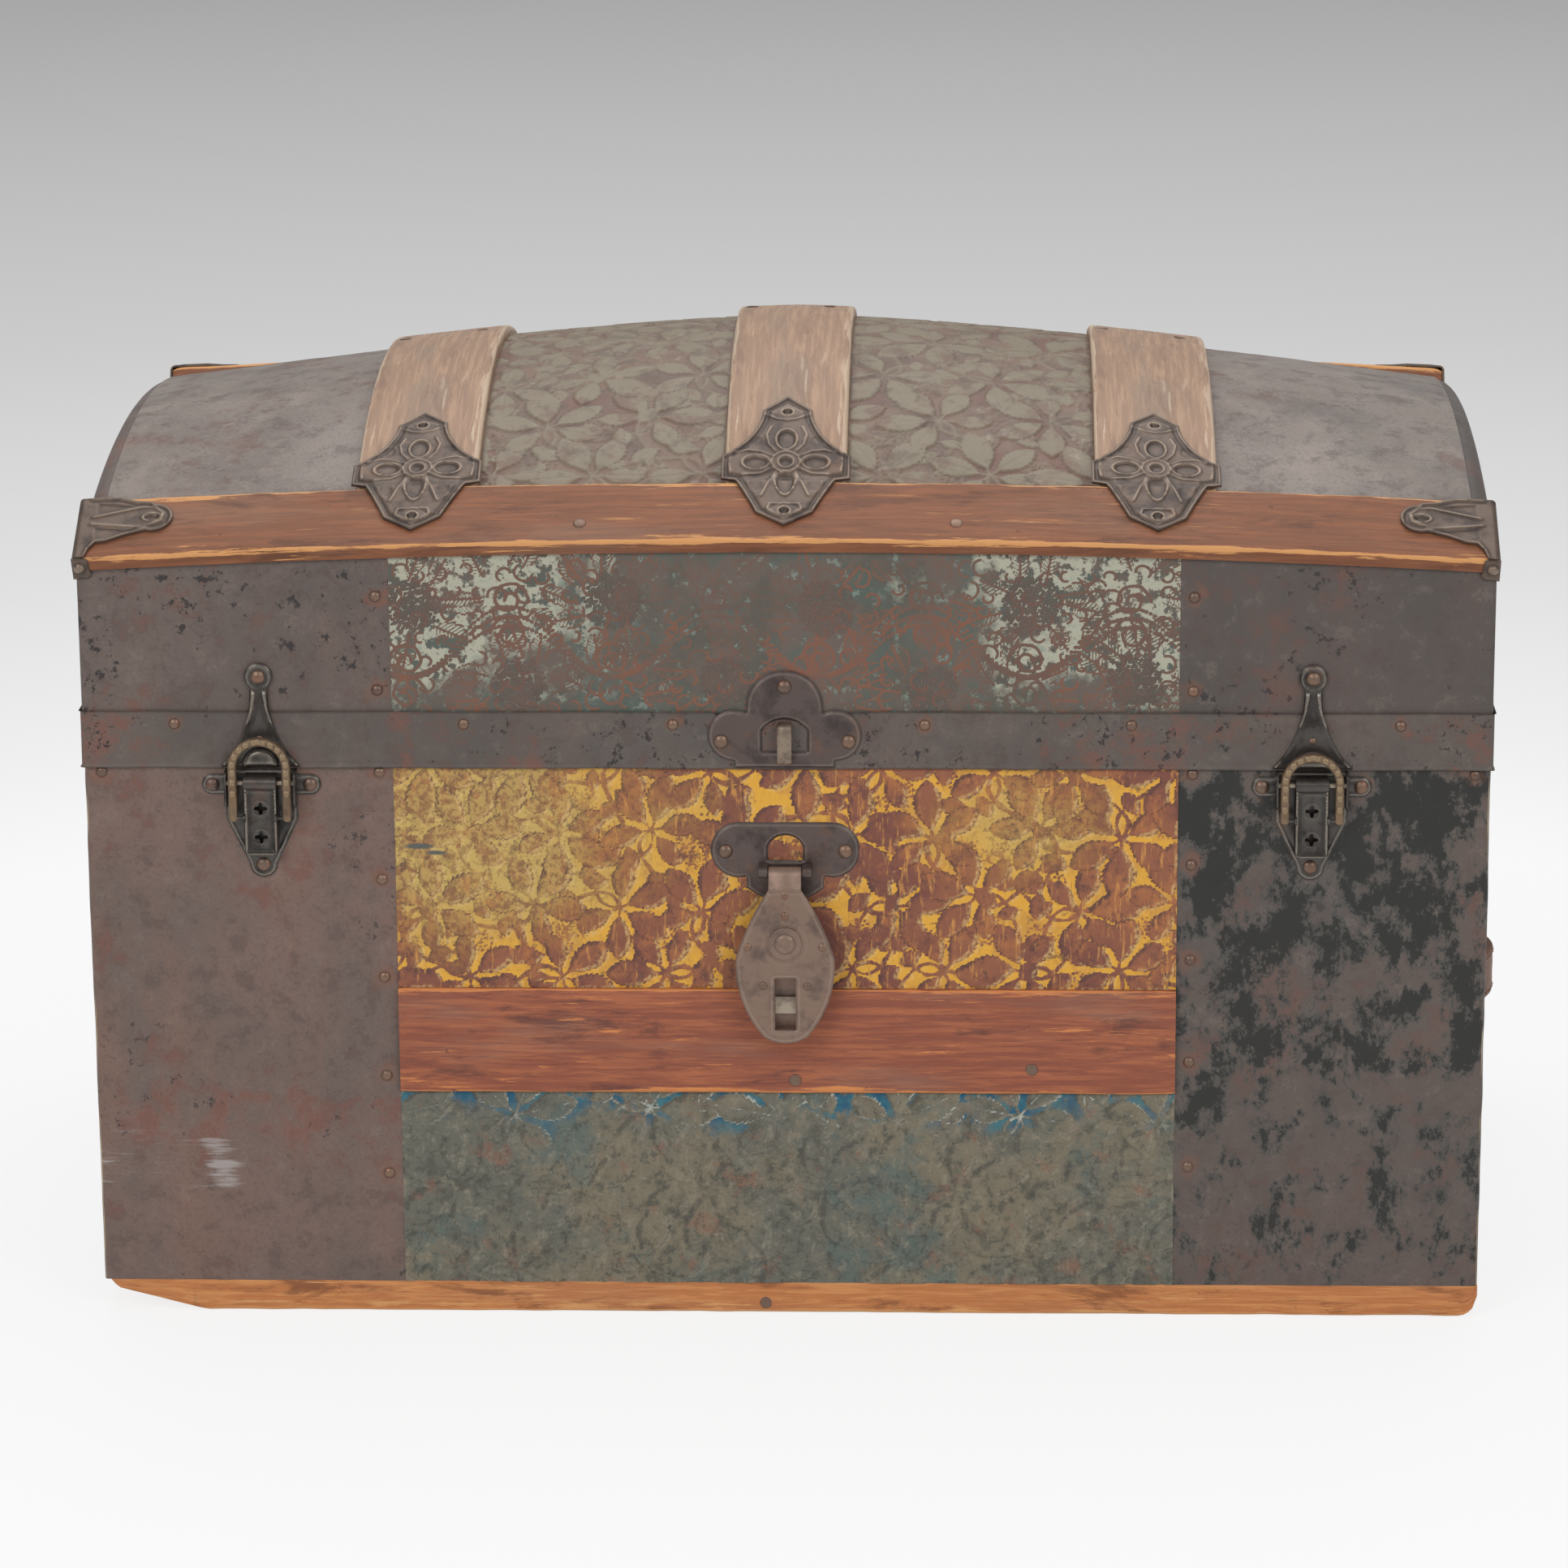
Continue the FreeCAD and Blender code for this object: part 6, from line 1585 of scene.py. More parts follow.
def corner_clamp_parts():
    outline = trace([(-16.0, 0.5), (6.5, 0.5), (8.5, 7.0), (12.0, 12.2), (18.0, 12.6), (28.0, 17.0),
                     (40.0, 20.3), ((54.5, 31.0), (43.5, 41.6)), (42.0, 43.6), (33.0, 45.0), (23.0, 48.6),
                     (-1.0, 49.6), (-16.0, 49.6)])
    lip = trace([(0.0, -5.8), (8.5, -5.8), ((10.0, -4.3), (10.0, 0.0)), (9.0, 9.4), (0.0, 9.9)])
    flat, lip_flat = plan(outline), plan(lip)
    radius, outer, face = 3.0, lid_x + 1.3, 10.3
    half = math.pi / 4 * radius
    parts = []
    for end in (-1, 1):
        for side in (-1, 1):
            def place(u, v, h, end=end, side=side):
                lift = h - 1.2
                angle = np.clip((half - u) / radius, 0, math.pi / 2)
                x = outer - radius + (radius + lift) * np.sin(angle) - np.maximum(u - half, 0)
                above = face - radius + (radius + lift) * np.cos(angle) - np.maximum(-u - half, 0)
                y = lid_y - (v - 3.0) * math.cos(slope) + above * math.sin(slope)
                z = shoulder(x) + (v - 3.0) * math.sin(slope) + above * math.cos(slope)
                return np.stack([end * x, side * y, z], -1)

            def place_lip(u, v, h, end=end, side=side):
                x = outer - u
                along = -3.1 - h
                y = lid_y - along * math.cos(slope) + v * math.sin(slope)
                z = shoulder(x) + along * math.sin(slope) + v * math.cos(slope)
                return np.stack([end * x, side * y, z], -1)

            def lip_relief(u, v, rim):
                ball = np.clip(1 - ((u - 4.4) ** 2 + (v - 3.2) ** 2) / 3.3 ** 2, 0, 1) ** 0.5
                return 0.5 + 0.6 * soft_step(rim, 0.0, 1.0) + 2.6 * ball
            parts.append(stamp(flat, corner_relief, place))
            parts.append(stamp(lip_flat, lip_relief, place_lip))
    return parts


clamp_steel = stamped_steel("clamp_steel_stamped", (102, 87, 77), (72, 62, 58), (156, 138, 120),
                            (134, 96, 72), metallic=0.45, rust_share=0.3)
add_steel("slat_clamps_steel", slat_clamp_parts(), clamp_steel, "lid", "stamped_steel", "slat_clamps")
add_steel("corner_clamps_steel", corner_clamp_parts(), clamp_steel, "lid", "stamped_steel", "corner_clamps")

# %% [markdown]
# The draw bolts are five pressed parts each: the strike on the lid, the base on the case, the lever on
# its pin, the loop that the lever pulls down, and the rivets. The strike has two ridges that run down its
# neck and spread to the corners of its bell, and a domed nose that the loop hooks over. The loop is a flat
# bar with a row of beads on its arch. The lever is turned up along its edges and pierced with two clovers.

# %% Draw bolts
def oriented(verts, faces, proud):
    """The same closed mesh with its faces outward, judged by the sign of its volume."""
    volume = 0.0
    for face in faces:
        for b, c in zip(face[1:-1], face[2:]):
            volume += np.dot(verts[face[0]], np.cross(verts[b], verts[c]))
    return verts, (faces if volume > 0 else [tuple(face)[::-1] for face in faces]), proud


def slab(path, middle, half, thick, bevel=0.4):
    """A bar along a path in Y and Z, of a width in X, with bevelled corners."""
    path = np.array(path, float)
    run = np.gradient(path, axis=0)
    normal = np.stack([-run[:, 1], run[:, 0]], -1) / np.linalg.norm(run, axis=1)[:, None]
    corners = []
    for sx, sn in ((-1, -1), (1, -1), (1, 1), (-1, 1)):
        corners += [(sx * (half - bevel), sn * thick / 2), (sx * half, sn * (thick / 2 - bevel))]
    corners.sort(key=lambda corner: math.atan2(corner[1], corner[0]))
    rows = []
    for spot, way in zip(path, normal):
        rows.append([(middle + x, spot[0] + way[0] * n, spot[1] + way[1] * n) for x, n in corners])
    verts = np.array(rows).reshape(-1, 3)
    count = len(corners)
    faces = [tuple(face) for face in grid_faces(len(path), count, closed=True)]
    faces += [tuple(range(count))[::-1], tuple((len(path) - 1) * count + i for i in range(count))]
    return oriented(verts, faces, np.full(len(verts), 0.12))


def bend(points, radius=2.5, steps=6):
    """A line with rounded corners."""
    points = [np.array(p, float) for p in points]
    line = [points[0]]
    for before, corner, after in zip(points, points[1:], points[2:]):
        a = corner + (before - corner) / np.linalg.norm(before - corner) * radius
        b = corner + (after - corner) / np.linalg.norm(after - corner) * radius
        line += [(1 - t) ** 2 * a + 2 * t * (1 - t) * corner + t * t * b for t in np.linspace(0, 1, steps)]
    return line + [points[-1]]


base_half = 20.7
bolt_x = box_mm("latch_pins")[1][0] - base_half
lever_axis = (-case_y - 7.4, 324.5)
loop_axis = (-case_y - 11.2, 304.5)


def front_place(middle, face):
    """Points of a plate on the front, whose back lies at y = -face."""
    return lambda u, v, h: np.stack([middle + u, -face - h, v], -1)


def strike_parts(middle):
    head_z, low, neck, flare = 386.0, 333.0, 5.25, 23.0
    side = math.sqrt(64 - neck ** 2)
    waist, waist_z = neck + (flare - neck) * 0.16, low + (head_z - low) * 0.45
    bell = [(neck, head_z - side), ((waist, waist_z), (flare, low)), (-flare, low),
            ((-waist, waist_z), (-neck, head_z - side)), ((0.0, head_z + 8.0), (neck, head_z - side))]
    ridge = [(3.1, head_z - 10), (4.2, head_z - 17), (6.6, head_z - 25), (11.0, head_z - 33),
             (16.5, head_z - 42), (20.6, head_z - 51)]

    def relief(u, v, rim):
        height = 1.5 - 0.5 * (1 - soft_step(rim, 0.0, 0.9))
        height -= 0.35 * soft_step(rim, 1.0, 4.0) * (v < head_z - 9)
        height += 1.7 * along_lines(np.abs(u), v, [ridge], 1.35)
        ring = np.hypot(u, v - head_z)
        return height + 0.42 * np.exp(-((ring - 6.4) / 0.7) ** 2)

    def nose_relief(u, v, rim):
        return 0.4 + 3.6 * np.sqrt(np.clip(1 - (1 - np.clip(rim, 0, 4.2) / 4.2) ** 2, 0, 1))
    nose = trace([(-10.5, low), (10.5, low), (10.5, low + 3), ((0.0, low + 11.5), (-10.5, low + 3))])
    plate = stamp(plan(trace(bell)), relief, front_place(middle, lid_y + 0.8))
    return [plate, stamp(plan(nose, pitch=0.7), nose_relief, front_place(middle, lid_y + 1.9), base=-0.5)]


def base_parts(middle):
    half, ear, ear_z, shoulder_z, foot_z = base_half, 28.25, 322.0, 301.5, 274.5
    pin_z = lever_axis[1]
    right = [(half, shoulder_z), (half, ear_z - 6), (ear, ear_z - 6), ((ear + 6, ear_z), (ear, ear_z + 6)),
             (half, ear_z + 6), (half, 331.0)]
    left = [(-half, 331.0), (-half, ear_z + 6), (-ear, ear_z + 6), ((-ear - 6, ear_z), (-ear, ear_z - 6)),
            (-half, ear_z - 6), (-half, shoulder_z)]
    foot_arc = [(-8.0, foot_z), ((0.0, foot_z - 8.0), (8.0, foot_z))]
    outline = trace(right + left + foot_arc)

    def relief(u, v, rim):
        height = 1.7 - 0.8 * (1 - soft_step(rim, 0.0, 1.2)) + 0.18 * np.exp(-((rim - 1.6) / 0.8) ** 2)
        height -= 0.25 * np.exp(-((rim - 3.4) / 1.0) ** 2)
        knob = np.hypot(u, v - foot_z)
        return height + 0.9 * (1 - soft_step(knob, 1.5, 3.4))

    parts = [stamp(plan(outline), relief, front_place(middle, case_y))]
    cheek = trace([(pin_z - 15, 0.4), (pin_z - 15, 6.0), ((pin_z - 13.0, 9.2), (pin_z - 9.5, 10.2)),
                   (pin_z + 2.5, 10.2), ((pin_z + 5.8, 9.0), (pin_z + 7.0, 5.6)), (pin_z + 7.0, 0.4)])
    flat = plan(cheek, pitch=1.1)
    for side in (-1, 1):
        def place(u, v, h, side=side):
            return np.stack([middle + side * (19.3 + h), -case_y - v, u], -1)
        parts.append(stamp(flat, lambda u, v, rim: 1.1 + 0.3 * soft_step(rim, 0, 0.8), place, back=True))
    return parts


def lever_parts(middle):
    half, (y, top) = 9.75, lever_axis
    low = top - 43.0
    outline = trace([(half, top + 1), (-half, top + 1), (-half, low + 3.4), ((-half + 1.1, low + 1.1),
                     (-half + 3.4, low)), (half - 3.4, low), ((half - 1.1, low + 1.1), (half, low + 3.4))])
    drops = (15.0, 32.0)
    holes = [clover(0.0, top - drop, 2.9, 1.0) for drop in drops]

    def relief(u, v, rim):
        edge = np.minimum(half - np.abs(u), v - low)
        height = 2.3 + 1.9 * np.exp(-((edge - 1.1) / 0.95) ** 2) * (v < top - 3)
        height += 0.2 * soft_step(edge, 2.5, 4.5)
        height += 0.4 * np.exp(-((v - (top - 5.2)) / 0.9) ** 2) * (edge > 1.0)
        for drop in drops:
            ring = np.hypot(u, v - (top - drop))
            height += 0.4 * np.exp(-((ring - 4.6) / 0.7) ** 2)
        return height - 0.8 * (1 - soft_step(rim, 0.0, 0.8)) * (edge < 1.5)
    back = -y - 1.3
    parts = [stamp(plan(outline, holes, pitch=0.75), relief, front_place(middle, back), back=True)]
    profile = [(-9.75, 3.6), (-9.3, 4.3), (9.3, 4.3), (9.75, 3.6)]
    parts.append(oriented(*lathe(profile, (middle, y, top), (1, 0, 0))))
    for side in (-1, 1):
        parts.append(oriented(*lathe([(8.5, 2.4), (9.9, 2.2), (10.0, 1.1), (18.0, 1.0)],
                                     (middle, loop_axis[0], loop_axis[1]), (side, 0, 0), around=16)))
    return parts


def loop_parts(middle, length):
    outer, inner, low = 18.0, 13.1, loop_axis[1] - 2.2
    top = loop_axis[1] + length - 2.3
    spring = top - outer
    ring = [(outer, low + 1.5), (outer, spring), ((0.0, top), (-outer, spring)), (-outer, low + 1.5),
            ((-15.5, low), (-inner, low + 1.5)), (-inner, spring), ((0.0, top - 4.9), (inner, spring)),
            (inner, low + 1.5), ((15.5, low), (outer, low + 1.5))]
    bar = (outer + inner) / 2
    bead_spots = [(bar * math.sin(a), spring + bar * math.cos(a)) for a in np.linspace(-1.75, 1.75, 12)]
    bead_spots += [(side * bar, spring - drop) for side in (-1, 1) for drop in (8.5, 15.0)]

    def relief(u, v, rim):
        height = 2.2 + 0.8 * np.sqrt(np.clip(1 - (1 - np.clip(rim, 0, 1.5) / 1.5) ** 2, 0, 1))
        beads = np.zeros(u.shape)
        for x, z in bead_spots:
            beads = np.maximum(beads, np.clip(1 - ((u - x) ** 2 + (v - z) ** 2) / 2.1 ** 2, 0, 1) ** 0.5)
        tip = np.clip(1 - (u ** 2 + (v - top + 1.8) ** 2) / 2.2 ** 2, 0, 1) ** 0.5
        return height + np.maximum(0.95 * beads, 1.1 * tip)
    back = -loop_axis[0] - 1.5
    return [stamp(plan(trace(ring, pitch=0.7), pitch=0.7), relief, front_place(middle, back), back=True)]


latch_steel = stamped_steel("draw_bolt_steel", (88, 84, 80), (56, 53, 51), (168, 158, 146),
                            (116, 84, 66), shine=0.27, metallic=0.75, rust_share=0.4)
loop_steel = stamped_steel("loop_steel_worn", (124, 104, 82), (92, 74, 60), (158, 136, 106),
                           (128, 88, 60), shine=0.42, metallic=0.35, rust_share=0.5)
strikes = strike_parts(-bolt_x) + strike_parts(bolt_x)
add_steel("latch_strikes_steel", strikes, latch_steel, "lid", "latch_steel", "latch_strikes")
bases = base_parts(-bolt_x) + base_parts(bolt_x)
add_steel("latch_bases_steel", bases, latch_steel, "case", "latch_steel", "latch_bases")
for side, name, length in ((-1, "left", 50.0), (1, "right", 42.0)):
    lever, loop = name + "_lever", name + "_loop"
    add_steel(lever + "_steel", lever_parts(side * bolt_x), latch_steel, lever, "latch_steel", lever)
    add_steel(loop + "_steel", loop_parts(side * bolt_x, length), loop_steel, loop, "loop_steel", loop)

# %% [markdown]
# The lock is three plates. The clover plate on the lid carries the staple in a window, the plate on the
# case carries the hasp's hinge, and the hasp is a pear shaped leaf with a slot for the staple. Their rims
# are bevelled, and the leaf has a round boss over the keyhole.

# %% Lock plates and hasp
hasp_axis = (-case_y - 11.0, 273.0)


def knuckle(x, half, rounding):
    """A rolled hinge knuckle round the axis of the hasp."""
    profile = [(-half, 2.9), (rounding - half, 3.4), (half - rounding, 3.4), (half, 2.9)]
    return oriented(*lathe(profile, (x, *hasp_axis), (1, 0, 0)))


def lock_plates():
    window = trace([(-13.0, 342.5), (13.0, 342.5), (13.0, 355.0), ((0.0, 361.5), (-13.0, 355.0))])
    shapes = [("disc", (0.0, 368.0), 22.0), ("disc", (-29.0, 352.0), 15.0), ("disc", (29.0, 352.0), 15.0),
              ("box", (-29.0, 333.0), (29.0, 352.0))]
    outline = union(np.array([0.0, 356.0]), shapes)
    outline[:, 1] = np.maximum(outline[:, 1], 333.0)

    def relief(u, v, rim):
        height = 0.7 + 0.85 * soft_step(rim, 0.0, 1.4) + 0.25 * np.exp(-((rim - 1.7) / 0.7) ** 2)
        return height + 0.12 * lumps(u, v, 26.0, 3)
    upper = [stamp(plan(outline, [window]), relief, front_place(0.0, lid_y + 0.8))]
    back, front = -lid_y - 1.4, -lid_y - 7.8
    path = bend([(back, 358.6), (front, 358.6), (front, 337.2), (back - 1.0, 337.2)])
    bar = slab(path, 0.0, 4.1, 2.9, bevel=0.7)
    spread, lobe, waist = 26.5, 283.5, 273.6
    shapes = [("disc", (-spread, lobe), 16.5), ("disc", (spread, lobe), 16.5),
              ("box", (-spread, waist), (spread, 300.0)), ("box", (-22.5, 259.0), (22.5, waist + 2))]
    outline = union(np.array([0.0, 281.0]), shapes)
    low = 252.0 + 8.0 * (np.abs(outline[:, 0]) / 21.2) ** 2
    outline[:, 1] = np.where(outline[:, 1] < 260.5, low, outline[:, 1])
    aperture = trace([(-10.0, 277.4), (10.0, 277.4), (10.0, 285.4), ((0.0, 292.4), (-10.0, 285.4))])
    lower = [stamp(plan(outline, [aperture]), relief, front_place(0.0, case_y))]
    y, z = hasp_axis
    for x in (-12.6, 12.6):
        lower.append(slab([(-case_y - 0.5, z), (-case_y - 5, z), (y + 0.5, z)], x, 2.75, 6.4))
        lower.append(knuckle(x, 2.7, 0.3))
    return upper, bar, lower


def hasp_parts():
    y, axis_z = hasp_axis
    neck, wide, foot_half = 9.5, 28.5, 12.5
    top, wide_z, low = axis_z - 9.0, axis_z - 50.0, axis_z - 101.0
    shoulder_half, shoulder_z = neck + (wide - neck) * 0.62, top + (wide_z - top) * 0.52
    waist, waist_z, foot_z = foot_half + (wide - foot_half) * 0.72, wide_z + (low - wide_z) * 0.55, low + 3.75
    outline = trace([(neck, top), ((shoulder_half, shoulder_z), (wide, wide_z)), ((waist, waist_z),
                     (foot_half, foot_z)), ((0.0, low), (-foot_half, foot_z)), ((-waist, waist_z),
                     (-wide, wide_z)), ((-shoulder_half, shoulder_z), (-neck, top))])
    slot = trace([(-6.0, 180.0), (6.0, 180.0), (6.0, 211.0), (-6.0, 211.0)])

    def relief(u, v, rim):
        height = 0.8 + 0.7 * soft_step(rim, 0.0, 1.3) + 0.3 * np.exp(-((rim - 1.8) / 0.8) ** 2)
        height += 0.4 * np.exp(-((np.hypot(u, v - 232.5) - 12.5) / 1.0) ** 2)
        return height + 0.1 * lumps(u, v, 30.0, 9)
    parts = [stamp(plan(outline, [slot], pitch=0.95), relief, front_place(0.0, case_y + 16.5), back=True)]
    front = -case_y - 17.4
    corners = [(y - 1.0, axis_z + 2.6), (y - 3.2, axis_z + 0.5), (front, top), (front, top - 5)]
    path = bend(corners, radius=1.6)
    return parts + [knuckle(0, 9.5, 0.4), slab(path, 0.0, 9.4, 1.6)]


lock_steel = stamped_steel("lock_plate_steel", (98, 86, 82), (72, 64, 62), (140, 126, 116),
                           (128, 90, 70), shine=0.38, metallic=0.6, rust_share=0.35)
hasp_steel = stamped_steel("hasp_steel", (138, 115, 102), (106, 90, 82), (162, 142, 126),
                           (128, 92, 72), shine=0.38, metallic=0.6, rust_share=0.35)
staple_steel = stamped_steel("staple_steel", (150, 134, 118), (104, 90, 80), (182, 168, 150),
                             (136, 98, 72), shine=0.34, metallic=0.6, rust_share=0.3)
upper, bar, lower = lock_plates()
add_steel("staple_plate_steel", upper, lock_steel, "lid", "stamped_steel", "staple_plate")
add_steel("staple_bar", [bar], staple_steel, "lid", "bright_steel", "staple")
add_steel("lock_lower_plate_steel", lower, lock_steel, "case", "stamped_steel", "lock_lower_plate")
add_steel("hasp_leaf", hasp_parts(), hasp_steel, "hasp", "stamped_steel", "hasp")
finish_nodes(hasp_steel, "lock_case")

# %% [markdown]
# Tacks and rivets repeat, so a Geometry Nodes tree sets them. It takes points with a facing direction, a
# radius and a height, puts one turned head on each, tips it a little as a hammer does, and makes the result
# real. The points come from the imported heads: each island of the mesh gives a base, a direction and a size.

# %% Tacks and rivets
def head_places(name):
    """Base, outward direction, radius and height of each head in a node, in millimetres."""
    mesh = nodes[name].data
    places = []
    points = np.array([v.co[:] for v in mesh.vertices]) * 1000
    for low, high in heads[name]:
        inside = points[((points > low - 0.01) & (points < high + 0.01)).all(1)]
        centre = (inside.min(0) + inside.max(0)) / 2
        _, _, axes = np.linalg.svd(inside - inside.mean(0), full_matrices=False)
        way = axes[2] if np.dot(axes[2], centre - (0, 0, 200)) > 0 else -axes[2]
        level = inside @ way
        flat = inside[level < level.min() + 0.05].mean(0)
        places.append((flat, way, np.linalg.norm(inside - flat, axis=1).max(), level.max() - level.min()))
    return places


def turned_head(name, profile, around=16):
    """A unit head: radius one and height one."""
    turn = np.linspace(0, 2 * math.pi, around, endpoint=False)
    verts = [(r * math.cos(a), r * math.sin(a), z) for z, r in profile for a in turn] + [(0, 0, 1.0)]
    faces = [tuple(face) for face in grid_faces(len(profile), around, closed=True)]
    last = (len(profile) - 1) * around
    faces += [(last + i, last + (i + 1) % around, len(verts) - 1) for i in range(around)]
    mesh = bpy.data.meshes.new(name)
    mesh.from_pydata(verts, [], faces)
    mesh.shade_smooth()
    return bpy.data.objects.new(name, mesh)


def new_tree(name, **inputs):
    """An empty tree with named inputs. Gives it, what makes its nodes and links, and its start."""
    tree = bpy.data.node_groups.new(name, "GeometryNodeTree")
    kinds = {"Geometry": "Geometry", **inputs}
    for label, kind in kinds.items():
        tree.interface.new_socket(label, in_out="INPUT", socket_type="NodeSocket" + kind)
    tree.interface.new_socket("Geometry", in_out="OUTPUT", socket_type="NodeSocketGeometry")
    return tree, tree.nodes.new, tree.links.new, tree.nodes.new("NodeGroupInput")


def close_tree(tree, start, copies):
    """Ends a tree: the copies are made real and painted."""
    new, link = tree.nodes.new, tree.links.new
    real, paint = new("GeometryNodeRealizeInstances"), new("GeometryNodeSetMaterial")
    link(copies, real.inputs[0])
    link(real.outputs[0], paint.inputs["Geometry"])
    link(start.outputs["Material"], paint.inputs["Material"])
    link(paint.outputs[0], new("NodeGroupOutput").inputs[0])
    return tree


def heads_tree():
    """The tree that puts heads on points. Its inputs are named for what they change."""
    tree, new, link, start = new_tree("set_heads", Head="Object", Material="Material", Tip="Float",
                                      Seed="Int")
    facing, size = new("GeometryNodeInputNamedAttribute"), new("GeometryNodeInputNamedAttribute")
    facing.data_type = size.data_type = "FLOAT_VECTOR"
    facing.inputs["Name"].default_value = "facing"
    size.inputs["Name"].default_value = "size"
    align = new("FunctionNodeAlignRotationToVector")
    align.axis = "Z"
    link(facing.outputs["Attribute"], align.inputs["Vector"])
    spin = new("FunctionNodeRandomValue")
    spin.data_type = "FLOAT_VECTOR"
    negative = new("ShaderNodeMath")
    negative.operation = "MULTIPLY"
    negative.inputs[1].default_value = -1.0
    link(start.outputs["Tip"], negative.inputs[0])
    lowest, highest = new("ShaderNodeCombineXYZ"), new("ShaderNodeCombineXYZ")
    for axis in ("X", "Y"):
        link(negative.outputs[0], lowest.inputs[axis])
        link(start.outputs["Tip"], highest.inputs[axis])
    highest.inputs["Z"].default_value = 6.283
    link(lowest.outputs[0], spin.inputs["Min"])
    link(highest.outputs[0], spin.inputs["Max"])
    link(start.outputs["Seed"], spin.inputs["Seed"])
    turn = new("FunctionNodeRotateRotation")
    turn.rotation_space = "LOCAL"
    link(align.outputs[0], turn.inputs[0])
    link(spin.outputs[0], turn.inputs[1])
    info = new("GeometryNodeObjectInfo")
    link(start.outputs["Head"], info.inputs["Object"])
    scatter = new("GeometryNodeInstanceOnPoints")
    link(start.outputs["Geometry"], scatter.inputs["Points"])
    link(info.outputs["Geometry"], scatter.inputs["Instance"])
    link(turn.outputs[0], scatter.inputs["Rotation"])
    link(size.outputs["Attribute"], scatter.inputs["Scale"])
    tone, store = new("FunctionNodeRandomValue"), new("GeometryNodeStoreNamedAttribute")
    tone.data_type = "FLOAT"
    store.data_type, store.domain = "FLOAT", "INSTANCE"
    store.inputs["Name"].default_value = "tone"
    link(tone.outputs[1], store.inputs["Value"])
    link(scatter.outputs[0], store.inputs["Geometry"])
    return close_tree(tree, start, store.outputs[0])


def made_real(name, source, tree, values, body, slot, *replaced):
    """Runs a tree over a mesh and keeps the result as a plain mesh on a body."""
    worker = bpy.data.objects.new(name + "_source", source)
    scene.collection.objects.link(worker)
    modifier = worker.modifiers.new("build", "NODES")
    modifier.node_group = tree
    for item in tree.interface.items_tree:
        if item.item_type == "SOCKET" and item.in_out == "INPUT" and item.name in values:
            modifier[item.identifier] = values[item.name]
    result = worker.evaluated_get(bpy.context.evaluated_depsgraph_get())
    mesh = bpy.data.meshes.new_from_object(result)
    bpy.data.objects.remove(worker)
    mesh.name = name
    return settle(name, mesh, body, slot, *replaced)


def set_heads(tree, head, material, body, names, seed, tip=0.06):
    places = [place for name in names for place in head_places(name) if place[2] < 8]
    source = bpy.data.meshes.new("places")
    source.from_pydata([tuple(base * mm) for base, _, _, _ in places], [], [])
    facing = np.array([way for _, way, _, _ in places])
    size = np.array([(radius, radius, height) for _, _, radius, height in places]) * mm
    source.attributes.new("facing", "FLOAT_VECTOR", "POINT").data.foreach_set("vector", facing.reshape(-1))
    source.attributes.new("size", "FLOAT_VECTOR", "POINT").data.foreach_set("vector", size.reshape(-1))
    values = {"Head": head, "Material": material, "Tip": tip, "Seed": seed}
    piece = made_real(body + "_heads", source, tree, values, body, "tack_steel", *names)
    print(piece.name, len(places), "heads", len(piece.data.polygons), "faces")


def tack_finish():
    stuff = Finish("tack_heads", roughness=0.34, metallic=0.7)
    tone = stuff.mask("tone")
    fine = stuff.noise(900.0, detail=4.0)
    stuff.colour = (104, 88, 80)
    stuff.coat((132, 108, 92), tone)
    stuff.coat((136, 82, 56), stuff.noise(260.0, detail=4.0), 0.5, 0.68, 0.4)
    stuff.coat((70, 58, 54), fine, 0.55, 0.72, 0.5)
    return stuff.done(stuff.sum(stuff.both(fine, 0.3), 0.24), fine, depth=0.15 * mm)


tack_head = turned_head("tack_head", ((-0.12, 0.98), (0.1, 1.0), (0.42, 0.86), (0.78, 0.56), (0.96, 0.24)))
head_tree, tack_metal = heads_tree(), tack_finish()
set_heads(head_tree, tack_head, tack_metal, "case", ("case_tacks", "case_rivets"), seed=3)
set_heads(head_tree, tack_head, tack_metal, "lid", ("lid_tacks", "lid_rivets"), seed=4)
set_heads(head_tree, tack_head, tack_metal, "hasp", ("hasp_rivets",), seed=5, tip=0.03)
boss = lathe([(-0.2, 9.5), (1.0, 9.5), (1.3, 9.1), (1.2, 7.0), (1.3, 6.2), (2.2, 5.7), (2.9, 4.2), (3.2, 2.2),
              (3.0, 1.3), (3.0, 0.1)], (0, -case_y - 18.0, 232.5), (0, -1, 0), around=40)
add_steel("hasp_boss", [oriented(*boss)], hasp_steel, "hasp", "stamped_steel")

# %% [markdown]
# Under the tin the dome is coopered like a barrel: five curved staves with a flat stave along each
# shoulder. They are swept as boards and stop short of the ends, where the tin is hammered round.

# %% Staves under the dome
def make_staves():
    inside = lid_x - 11.3
    radius, _ = dome_circle(0.0)
    arc = 2 * radius * math.asin(foot_y / radius)
    staves = 5
    width = arc / staves - 0.8
    shapes = []
    for stave in range(staves):
        def on_stave(along, across, up, stave=stave):
            share = ((stave + 0.5) / staves * arc + across - width / 2) / arc * 2 - 1
            return on_dome(along - inside, share, -1.3 - up)
        shapes.append(board_shape(on_stave, 2 * inside, width, 6.6, radius=0.9, chips=0.2, seed=150 + stave,
                                  pitch=8.0, warp=0.1, ends=0.0))
    for side in (-1, 1):
        def on_flat(along, across, up, side=side):
            return on_shoulder(along - inside, 2.0 + across, -0.5 - up, side)
        shapes.append(board_shape(on_flat, 2 * inside, 48.0, 6.4, radius=0.9, chips=0.2, seed=160 + side,
                                  pitch=8.0, warp=0.1, ends=0.0))
    add_boards("dome_staves_wood", shapes, lining, "lid", "box_wood", "dome_staves")


make_staves()

